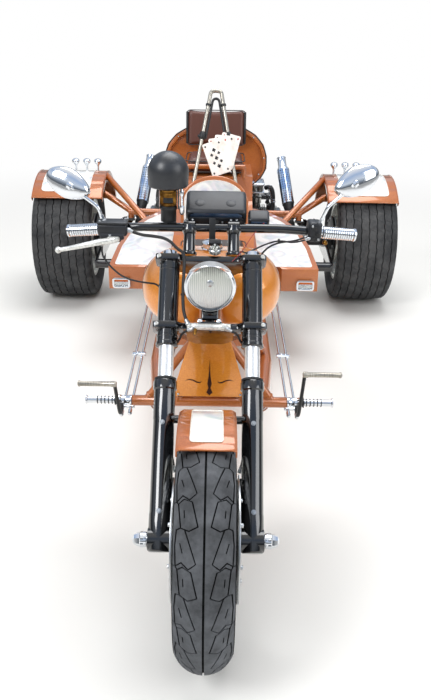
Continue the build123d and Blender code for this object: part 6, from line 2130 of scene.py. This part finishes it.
class TRIKE_OT_rear_axle(bpy.types.Operator):
    """Models the swing tubes, gaiters, brake plates, arms, hoop and sprung dampers"""
    bl_idname = "trike.rear_axle"
    bl_label = "Rear axle"

    def execute(self, context):
        station, height = REAR_AXLE
        done(softened("axle_tubes", 1.5), "swing_tubes", "frame", "black_metal", "satin_black",
             stands_for=("axle_tubes",))
        done(softened("trailing_arms", 2.0), "arm_plates", "frame", "black_metal", "black_enamel",
             stands_for=("trailing_arms",))
        done(softened("rear_hoop", 0.8, 1), "hoop_and_stays", "frame", "orange_paint", "copper_lacquer",
             stands_for=("rear_hoop",))
        gaiters, bolts, beads = [], [], []
        for side in SIDES:
            profile = [(0, 52), (4, 60), (14, 60), (16, 50)]
            for fold in range(6):
                crest = 56 - 3.4 * fold
                profile += [(20 + 11 * fold, crest - 7), (25 + 11 * fold, crest)]
            profile += [(86, 33), (94, 33), (95, 31.4)]
            gaiter = turned(profile, 44)
            gaiters.append(placed(gaiter, facing(at(side * 109, station, height), (side, 0, 0))))
            for k in range(8):
                angle = math.pi / 4 * k
                spot = at(side * 632.5, station + 118 * math.cos(angle), height + 118 * math.sin(angle))
                bolts.append((spot, (-side, 0, 0)))
            for x, z in ((-16, 352), (30, 350), (-16, 296), (30, 296)):
                bolts.append((at(side * 580.5, station + x, z), (-side, 0, 0)))
            beads.append(weld(at(side * 226, 2390, 482), (0, 56, 240), 16))
            beads.append(weld(at(side * 566, 2505, 653), (250, 324, 170), 16))
            beads.append(weld(at(side * 566, 2418, 580), (140, 30, 84), 16))
        shown(gaiters, "axle_gaiters", "frame", "black_rubber", "moulded_rubber")
        bolted(hex_bolt, 6, bolts, "axle_bolts", "frame", "zinc_plate")
        shown(beads, "hoop_welds", "frame", "orange_paint", "copper_lacquer")
        springs, dampers, bright = [], [], []
        for side in SIDES:
            top, foot = at(side * 440, 2404, 462), at(side * 558, 2514, 366)
            run = (foot - top).normalized()
            springs.append(coil(top + run * 0.050, foot - run * 0.030, 24, 8, 7))
            dampers.append(collared(top + run * 0.012, top + run * 0.104,
                                    [(0, 14), (3, 20), (30, 22), (36, 26), (44, 26),
                                                                 (46, 21), (90, 20), (92, 14)], 36))
            dampers.append(collared(foot - run * 0.03, foot - run * 0.022,
                                    [(0, 22), (2, 28), (7, 28), (8, 22)], 36))
            bright.append(collared(top + run * 0.1, foot - run * 0.012, [(0, 7), (1, 7)], 24))
            for point in (top, foot):
                eye = turned([(-17, 10), (-15, 14), (15, 14), (17, 10)], 28)
                dampers.append(placed(eye, facing(point, (1, 0, 0))))
                for out in SIDES:
                    bright.append(placed(dome_nut(7),
                                         facing(point + Vector((out * 0.017, 0, 0)), (out, 0, 0))))
        done(smoothed(joined(springs), 60), "damper_springs", "frame", "chrome", "chrome_plate",
             stands_for=("shocks",))
        shown(dampers, "damper_bodies", "frame", "black_metal", "black_enamel")
        shown(bright, "damper_rods", "frame", "chrome", "chrome_plate")
        return {"FINISHED"}


def shield(start, run, radius, first, last):
    """A perforated sleeve: one holed tile copied in rows, merged, wrapped round and given thickness."""
    hole, around, reach = 3.6, 16, last - first
    along = int(reach / (2 * math.pi * radius / around))
    wide, high = 2 * math.pi * radius / around, reach / along
    clear()
    bpy.ops.mesh.primitive_circle_add(vertices=8, radius=hole * MM, fill_type="NOTHING")
    tile = bpy.context.object
    edit(tile)
    bpy.ops.mesh.extrude_edges_move(TRANSFORM_OT_translate={"value": (0, 0, 0)})
    bpy.ops.transform.resize(value=(1.5, 1.5, 1), center_override=(0, 0, 0))
    bpy.ops.object.mode_set(mode="OBJECT")
    for vertex in tile.data.vertices:
        x, y = vertex.co.x, vertex.co.y
        if math.hypot(x, y) > hole * 1.2 * MM:
            corner = abs(abs(x) - abs(y)) < 1e-5
            vertex.co.x = 0 if abs(x) < 1e-5 else math.copysign(wide / 2 * MM, x)
            vertex.co.y = 0 if abs(y) < 1e-5 else math.copysign(high / 2 * MM, y)
            if corner:
                vertex.co.z = 0
    sheet = copies(tile, [shift(wide * (i + 0.5), high * (j + 0.5), 0)
                          for i in range(around) for j in range(along)])
    for vertex in sheet.data.vertices:
        angle = vertex.co.x / MM / radius
        up = first + vertex.co.y / MM
        vertex.co = Vector((radius * math.cos(angle), radius * math.sin(angle), up)) * MM
    outward(sheet, 2e-5)
    only(sheet)
    thick = sheet.modifiers.new("sheet", "SOLIDIFY")
    thick.thickness = 1.2 * MM
    thick.offset = -1
    bpy.ops.object.modifier_apply(modifier=thick.name)
    return placed(sheet, facing(start, run))


def silencer_ends(side):
    """Where a silencer starts and where it points."""
    return at(side * 405, 2500, 462), at(side * 358, 2712, 728)


class TRIKE_OT_exhausts(bpy.types.Operator):
    """Models the two upswept silencers in perforated shields, and the pipes that feed them"""
    bl_idname = "trike.exhausts"
    bl_label = "Exhausts"

    def execute(self, context):
        shields, cans, tips = [], [], []
        for side in SIDES:
            foot, top = silencer_ends(side)
            run = top - foot
            shields.append(shield(foot, run, 33, 76, 262))
            for low in (68, 258):
                band = turned([(low, 31.6), (low + 1, 33.6), (low + 9, 33.6), (low + 10, 31.6)], 48)
                shields.append(placed(band, facing(foot, run)))
            can = turned([(-4, 19), (0, 21), (6, 21), (8, 20), (70, 31), (74, 30), (266, 30), (270, 31),
                          (272, 24)],
                         40)
            cans.append(placed(can, facing(foot, run)))
            tip = turned([(268, 33), (272, 33), (288, 24), (290, 23), (334, 23), (338, 25), (343, 25),
                          (343, 20.6), (296, 20.2), (268, 20.2)], 44, ring=True)
            tips.append(placed(tip, facing(foot, run)))
        # The shields' chrome has a painted blue sky reflection in its colour.
        shown(shields, "silencer_shields", "frame", "chrome", "blued_chrome",
             stands_for=("silencers",))
        shown(cans, "silencer_cans", "frame", "black_metal", "satin_black")
        shown(tips, "silencer_tips", "frame", "chrome", "chrome_plate")
        pipes = softened("exhaust_headers", 0.8, 1)
        flanges, bolts = [pipes], []
        for side in SIDES:
            for point, direction in ((at(side * 329, 2677, 351), (side * 68, -74, 14)),
                                     (at(side * 328, 2930, 330), (0, 1, 0))):
                plate = turned([(-4, 26), (-3, 27.5), (3, 27.5), (4, 26)], 32)
                flanges.append(placed(plate, facing(point, direction)))
            clamp = turned([(-9, 21), (-8, 22.4), (8, 22.4), (9, 21)], 32)
            foot, top = silencer_ends(side)
            flanges.append(placed(clamp, facing(foot - (top - foot).normalized() * 0.014, top - foot)))
            bolts.append((foot + Vector((side * 24, -4, -8)) * MM, (side, 0, 0)))
        shown(flanges, "exhaust_pipes", "frame", "cast_metal", "satin_black",
             stands_for=("exhaust_headers",))
        bolted(hex_bolt, 5, bolts, "exhaust_clamp_bolts", "frame", "zinc_plate")
        return {"FINISHED"}


# Places in the engine, in millimetres
CRANK_Z = 366
FAN_Z = 585
CASE_STATION = 2812
HEAD_STATION = 2804
CYLINDER_STATIONS = (2742, 2866)
CARB_X = 236
CARB_STATION = 2856


class TRIKE_OT_engine(bpy.types.Operator):
    """Models the air-cooled flat-four: case, finned cylinders, heads, covers, fan, belt and carburettors"""
    bl_idname = "trike.engine"
    bl_label = "Engine and gearbox"

    def execute(self, context):
        parts = [box((226, 286, 212), place_at(0, CASE_STATION, 352), 14, 3),
                 box((190, 214, 34), place_at(0, CASE_STATION, 249), 8, 2),
                 box((10, 292, 218), place_at(0, CASE_STATION, 352), 2.5)]
        for x in (-84, -56, -28, 28, 56, 84):
            parts.append(box((5, 268, 10), place_at(x, CASE_STATION, 246), 1.5))
        for z in (300, 330, 400, 430):
            parts.append(box((150, 291, 6), place_at(0, CASE_STATION, z), 2))
        nose = turned([(0, 46), (4, 48), (12, 40), (26, 32), (42, 30)], 40)
        parts.append(placed(nose, facing(at(0, 2953, CRANK_Z), (0, 1, 0))))
        gearcase = box((212, 206, 196), place_at(0, 2500, 336), 30, 4)
        snout = turned([(-30, 50), (-26, 62), (0, 75), (60, 80), (64, 84), (80, 84), (84, 82), (226, 95)], 48)
        placed(snout, facing(at(0, 2170, 340), (0, 1, 0)))
        bell = turned([(-4, 120), (0, 148), (8, 152), (10, 160), (50, 168), (53, 170), (64.4, 170)], 64)
        placed(bell, facing(at(0, 2604, 352), (0, 1, 0)))
        parts += [gearcase, snout, bell]
        for k in range(10):
            angle = 2 * math.pi * k / 10
            rib = box((8, 60, 14), place_at(150 * math.cos(angle), 2622, 352 + 150 * math.sin(angle))
                      @ Matrix.Rotation(-angle, 4, "Y"), 2)
            parts.append(rib)
        for z in (276, 306, 366, 396):
            parts.append(box((222, 190, 7), place_at(0, 2500, z), 3))
        mount = box((120, 39, 90), place_at(0, 2160, 322), 6)
        parts.append(mount)
        shown(parts, "crankcase_and_gearcase", "frame", "cast_metal", "sand_cast_alloy",
             stands_for=("engine_block", "gearbox"))

        fin = flat([rounded([(-56, -57), (56, -57), (56, 57), (-56, 57)], 15, 3)], 2.6,
                   facing((0, 0, 0), (1, 0, 0)), 0.5)
        places = []
        for side in SIDES:
            for station in CYLINDER_STATIONS:
                for k in range(15):
                    places.append(place_at(side * (124 + 11.6 * k) - 1.3, station, CRANK_Z))
        barrels = [copies(fin, places)]
        for side in SIDES:
            for station in CYLINDER_STATIONS:
                barrel = turned([(0, 50), (2, 52), (8, 52), (10, 47), (184, 47)], 40)
                barrels.append(placed(barrel, facing(at(side * 113, station, CRANK_Z), (side, 0, 0))))
            for station in (2714, 2770, 2838, 2894):
                tube = turned([(0, 12), (3, 13), (8, 10), (14, 13), (20, 10), (24, 9), (150, 9), (156, 13),
                               (162, 10), (168, 13), (176, 12)], 24)
                run = at(side * 302, station, 322) - at(side * 110, station, 286)
                placed(tube, facing(at(side * 112, station, 288), run, (0, 1, 0)))
                barrels.append(tube)
        shown(barrels, "finned_cylinders", "frame", "cast_metal", "sand_cast_alloy")

        heads, covers, wires, plugs = [], [], [], []
        for side in SIDES:
            core = box((54, 240, 104), place_at(side * 328, HEAD_STATION, CRANK_Z), 8, 2)
            heads.append(core)
            blade = box((4, 248, 124), None, 1.2, 1)
            fins = [place_at(side * (303 + 9 * k), HEAD_STATION, CRANK_Z) for k in range(6)]
            heads.append(copies(blade, fins))
            lid = box((28, 226, 72), place_at(side * 371, HEAD_STATION, CRANK_Z + 2), 11, 4)
            ridge = box((8, 150, 26), place_at(side * 385, HEAD_STATION, CRANK_Z + 2), 3.5, 3)
            rim = box((6, 238, 82), place_at(side * 360, HEAD_STATION, CRANK_Z + 2), 2.4)
            covers += [lid, ridge, rim]
            bail = [at(side * 352, 2750, CRANK_Z - 44), at(side * 386, 2752, CRANK_Z - 40),
                    at(side * 390, 2760, CRANK_Z + 4),
                    at(side * 390, 2848, CRANK_Z + 4), at(side * 386, CARB_STATION, CRANK_Z - 40),
                    at(side * 352, 2858, CRANK_Z - 44)]
            wires.append(wire(bail, 2.4, sides=8))
            for station in CYLINDER_STATIONS:
                cap = turned([(0, 9), (3, 12), (20, 11), (24, 7), (30, 5)], 20)
                spot = at(side * 300, station + 30, CRANK_Z + 62)
                plugs.append(placed(cap, facing(spot, (side * 0.4, 0, 1), (0, 1, 0))))
                lead = [spot + Vector((side * 10, 0, 28)) * MM, spot + Vector((side * 4, 10, 70)) * MM,
                        at(side * 150, station + 36, 486), at(side * 84, 2900, 488),
                        at(70 + side * 6, 2930, 486)]
                plugs.append(wire(lead, 3.2, sides=8))
        shown(heads, "cylinder_heads", "frame", "cast_metal", "sand_cast_alloy")
        shown(covers, "rocker_covers", "frame", "chrome", "chrome_plate")
        shown(wires, "rocker_bails", "frame", "chrome", "zinc_plate")
        cap = turned([(0, 30), (4, 32), (30, 30), (34, 26), (50, 22), (52, 14)], 32)
        plugs.append(placed(cap, facing(at(70, 2930, 444), (0, 0, 1))))
        shown(plugs, "ignition_leads", "frame", "black_rubber", "moulded_rubber")

        hood = flat([rounded([(-190, 458.3), (190, 458.3), (190, 560), (150, 640), (80, 690), (-80, 690),
                              (-150, 640), (-190, 560)], 34, 5)], 86,
                    facing(at(0, 2790, 0), (0, -1, 0)), 6)
        rim = turned([(0, 118), (2, 124), (10, 124), (14, 116), (14, 60)], 64)
        placed(rim, facing(at(0, 2704, FAN_Z), (0, -1, 0)))
        feet = box((360, 60, 10), place_at(0, 2747, 464), 3)
        tin = box((410, 250, 5), place_at(0, HEAD_STATION, 454), 1.6)
        shown([hood, feet, tin], "fan_housing", "frame", "chrome", "satin_black",
             stands_for=("fan_shroud",))
        done(smoothed(rim), "fan_intake_ring", "frame", "chrome", "chrome_plate")
        blades = []
        hub = turned([(0, 30), (3, 34), (12, 34), (15, 26), (17, 10)], 36)
        placed(hub, facing(at(0, 2700, FAN_Z), (0, -1, 0)))
        blade = box((26, 64, 3), facing(Vector((0, 66, 0)) * MM, (0.5, 0, 1)), 1)
        placed(blade, facing((0, 0, 0), (0, -1, 0)))
        blades.append(copies(blade, [place_at(0, 2698, FAN_Z) @ Matrix.Rotation(2 * math.pi * k / 14, 4, "Y")
                                     for k in range(14)]))
        shown([hub, *blades], "fan_blades", "frame", "aluminium", "polished_alloy")

        charge = [turned([(0, 48), (3, 52), (60, 52), (64, 49), (70, 52), (130, 52), (134, 46), (160, 40)],
                         48)]
        placed(charge[0], facing(at(0, 2790.5, FAN_Z), (0, 1, 0)))
        for k in range(12):
            angle = 2 * math.pi * k / 12
            slot = box((9, 34, 3), place_at(51.5 * math.sin(angle), 2890, FAN_Z + 51.5 * math.cos(angle))
                       @ Matrix.Rotation(angle, 4, "Y"), 1)
            charge.append(slot)
        stand = box((60, 90, 78), place_at(0, 2850, 497), 9, 3)
        strap = turned([(0, 52.5), (0.6, 55), (18, 55), (18.6, 52.5)], 48)
        placed(strap, facing(at(0, 2842, FAN_Z), (0, 1, 0)))
        shown([*charge, strap], "alternator", "frame", "chrome", "chrome_plate")
        done(smoothed(stand), "alternator_stand", "frame", "cast_metal", "sand_cast_alloy")
        top = turned([(0, 20), (160, 20), (162, 62), (164, 75), (169, 75), (172, 66), (176, 66), (179, 75),
                      (184, 75), (186, 40), (190, 24), (194, 20), (196, 8)], 56)
        placed(top, facing(at(0, 2818, FAN_Z), (0, 1, 0)))
        low = turned([(0, 30), (2, 80), (4, 86), (9, 86), (12, 78), (16, 78), (19, 86), (22, 86), (24, 40),
                      (30, 26), (34, 24), (36, 8)], 56)
        placed(low, facing(at(0, 2988, CRANK_Z), (0, 1, 0)))
        shown([top, low], "pulleys", "frame", "chrome", "chrome_plate")
        loop = []
        for k in range(13):
            angle = math.radians(-4 + 188 * k / 12)
            loop.append((68 * math.cos(angle), FAN_Z + 68 * math.sin(angle)))
        for k in range(13):
            angle = math.radians(184 + 172 * k / 12)
            loop.append((80 * math.cos(angle), CRANK_Z + 80 * math.sin(angle)))
        inner = [(x * 0.9, FAN_Z + (z - FAN_Z) * 0.9) if z > 500
                 else (x * 0.91, CRANK_Z + (z - CRANK_Z) * 0.91)
                 for x, z in loop]
        belt = flat([loop, inner], 11, facing(at(0, 3008, 0), (0, -1, 0)), 1.2)
        done(smoothed(belt), "fan_belt", "frame", "black_rubber", "moulded_rubber")

        carbs, hoses, lids = [], [], []
        for side in SIDES:
            stack = turned([(0, 30), (4, 32), (14, 32), (16, 25), (40, 23), (44, 30), (84, 30), (88, 25),
                            (104, 25), (108, 34), (113, 34)], 36)
            carbs.append(placed(stack, facing(at(side * CARB_X, CARB_STATION, 400), (0, 0, 1))))
            bowl = box((44, 56, 40), place_at(side * CARB_X, 2884, 462), 8, 3)
            carbs.append(bowl)
            base = box((86, 148, 10), place_at(side * CARB_X, CARB_STATION, 516), 3)
            lid = box((86, 148, 12), place_at(side * CARB_X, CARB_STATION, 563), 5, 3)
            lids += [base, lid]
            for k in range(7):
                lids.append(box((70, 5, 3), place_at(side * CARB_X, 2802 + 18 * k, 569), 1.2))
            lids.append(placed(dome_nut(6), facing(at(side * CARB_X, CARB_STATION, 569), (0, 0, 1))))
            pleats = []
            count = 64
            for k in range(count):
                angle = 2 * math.pi * k / count
                scale = 1.0 if k % 2 else 0.93
                pleats.append((37 * scale * math.copysign(abs(math.cos(angle)) ** 0.5, math.cos(angle)),
                               67 * scale * math.copysign(abs(math.sin(angle)) ** 0.5, math.sin(angle))))
            carbs.append(flat([pleats], 38, place_at(side * CARB_X, CARB_STATION, 520)))
            bend = [at(side * 282, 2776, 548), at(side * 306, 2760, 560), at(side * 322, 2740, 540),
                    at(side * 326, 2720, 480), at(side * 318, 2704, 440)]
            hoses.append(wire(bend, 13, sides=16))
            for k in range(10):
                share = k / 9
                near = bend[1].lerp(bend[3], share)
                ring = turned([(-2.4, 12.5), (-1, 15.5), (1, 15.5), (2.4, 12.5)], 20)
                lids.append(placed(ring, facing(near, bend[3] - bend[1])))
        shown(lids, "air_cleaner_lids", "frame", "chrome", "chrome_plate",
             stands_for=("air_cleaners",))
        shown(carbs, "carburettors", "frame", "aluminium", "polished_alloy")
        shown(hoses, "breather_hoses", "frame", "black_rubber", "moulded_rubber")
        return {"FINISHED"}


class TRIKE_OT_rear_bar(bpy.types.Operator):
    """Models the rear bar, blank plate, round lamps and tow hitch"""
    bl_idname = "trike.rear_bar"
    bl_label = "Rear bar, lamps and hitch"

    def execute(self, context):
        done(softened("rear_bar", 1.0), "bar_and_plates", "frame", "black_metal", "black_enamel",
             stands_for=("rear_bar",))
        plate = flat([rounded([(-132, -44), (132, -44), (132, 44), (-132, 44)], 10)], 1.4,
                     facing(at(0, 3128.4, 490), (0, 1, 0), (-1, 0, 0)), 0.4)
        done(smoothed(plate), "blank_plate", "frame", "card_white", "plate_sheet")
        border = rounded([(-134, -46), (134, -46), (134, 46), (-134, 46)], 12)
        rim = wire([at(x, 3130, 490 + z) for x, z in border], 2.2, closed=True, soft=False)
        done(smoothed(rim), "plate_rim", "frame", "chrome", "chrome_plate")
        lenses, bezels = [], []
        spots = [(at(x, 3130, 490), (0, 1, 0)) for x in (-112, 112)]
        spots += [(at(side * 162 + x, 3111, 236 + z),
                   (0, 1, 0)) for side in SIDES for x in (-21, 21) for z in (-21, 21)]
        for side in SIDES:
            where = facing(at(side * 252, 3120, 462), (0, 1, 0))
            cup = turned([(-6, 14), (0, 30), (3, 39), (20, 43), (24, 44), (28, 43), (29, 39), (27, 38)], 56)
            bezels.append(placed(cup, where))
            lens = turned([(24, 38), (27, 36), (27, 30), (29, 29), (29, 22), (31, 21), (31, 14), (33, 12),
                           (33.6, 4)], 56)
            lenses.append(placed(lens, where))
            stalk = turned([(0, 12), (14, 12)], 28)
            bezels.append(placed(stalk, facing(at(side * 252, 3112, 450), (0, 1, 0))))
        done(smoothed(joined(lenses), 25), "tail_lenses", "frame", "red_lens", "red_acrylic",
             stands_for=("tail_lamps",))
        shown(bezels, "tail_bezels", "frame", "chrome", "chrome_plate")
        bolted(hex_bolt, 5, spots, "rear_bar_bolts", "frame", "zinc_plate")
        base = box((60, 13, 44), place_at(0, 3125, 300), 3)
        shank = turned([(0, 15), (14, 15), (20, 13)], 32)
        placed(shank, facing(at(0, 3128, 300), (0, 1, 0)))
        stem = turned([(-14, 10), (-12, 19), (0, 19), (3, 16), (10, 12.5), (24, 12), (32, 14), (34, 16),
                       (38, 20.6), (46, 24), (55, 25), (64, 23.5), (72, 18.5), (77, 11), (78.6, 4)], 48)
        placed(stem, facing(at(0, 3145, 298), (0, 0, 1)))
        done(smoothed(joined([base, shank, stem]), 50), "tow_ball_forging", "frame", "chrome", "chrome_plate",
             stands_for=("tow_ball",))
        caps = []
        for side in SIDES:
            caps.append(placed(turned([(0, 21), (2, 21.4), (5, 20), (7, 14), (7.8, 5)], 40),
                               facing(at(side * 339, 3112, 420), (side, 0, 0))))
        shown(caps, "bar_end_caps", "frame", "black_rubber", "moulded_rubber")
        return {"FINISHED"}


class TrikeSizes(bpy.types.PropertyGroup):
    focal_px: FloatProperty(name="Focal length in pixels",
                            description="Focal length on a frame 700 pixels high", default=750.0, min=100.0)
    tread_depth: FloatProperty(name="Tread depth", description="Depth of the front tyre's grooves",
                               default=0.0055, unit="LENGTH", subtype="DISTANCE")


class TrikeColours(bpy.types.PropertyGroup):
    paint_shade: FloatVectorProperty(name="Paint shade",
                                     description="What the paint darkens to in its deep areas",
                                     subtype="COLOR", default=linear("#C98A55"), min=0.0, max=1.0)


class TRIKE_PT_panel(bpy.types.Panel):
    """Lists the trike's pieces in the sidebar"""
    bl_label = "Motorised trike"
    bl_idname = "TRIKE_PT_panel"
    bl_space_type = "VIEW_3D"
    bl_region_type = "UI"
    bl_category = "Trike"

    def draw(self, context):
        layout = self.layout
        for group in (context.scene.trike_sizes, context.scene.trike_colours):
            for name in group.__annotations__:
                layout.prop(group, name)
        for operator in OPERATORS:
            layout.operator(operator.bl_idname)


OPERATORS = (TRIKE_OT_finishes,
             TRIKE_OT_front_tyre,
             TRIKE_OT_front_rim,
             TRIKE_OT_fork,
             TRIKE_OT_headlight,
             TRIKE_OT_manifold,
             TRIKE_OT_handlebar,
             TRIKE_OT_controls,
             TRIKE_OT_mirrors,
             TRIKE_OT_instruments,
             TRIKE_OT_horn,
             TRIKE_OT_rear_tyres,
             TRIKE_OT_fenders,
             TRIKE_OT_fender_lamps,
             TRIKE_OT_mudguard,
             TRIKE_OT_front_panel,
             TRIKE_OT_tank_and_body,
             TRIKE_OT_pod_lamps,
             TRIKE_OT_driver_seat,
             TRIKE_OT_passenger_seat,
             TRIKE_OT_sissy_bar,
             TRIKE_OT_foot_controls,
             TRIKE_OT_cables,
             TRIKE_OT_calipers,
             TRIKE_OT_frame_tubes,
             TRIKE_OT_rear_axle,
             TRIKE_OT_exhausts,
             TRIKE_OT_engine,
             TRIKE_OT_rear_bar,
             TRIKE_OT_stage)
CLASSES = (TrikeSizes, TrikeColours, *OPERATORS, TRIKE_PT_panel)


def register():
    for cls in CLASSES:
        bpy.utils.register_class(cls)
    bpy.types.Scene.trike_sizes = PointerProperty(type=TrikeSizes)
    bpy.types.Scene.trike_colours = PointerProperty(type=TrikeColours)


def unregister():
    del bpy.types.Scene.trike_colours
    del bpy.types.Scene.trike_sizes
    for cls in reversed(CLASSES):
        bpy.utils.unregister_class(cls)


def main():
    register()
    for operator in OPERATORS:
        group, name = operator.bl_idname.split(".")
        getattr(getattr(bpy.ops, group), name)()


if __name__ == "__main__":
    main()
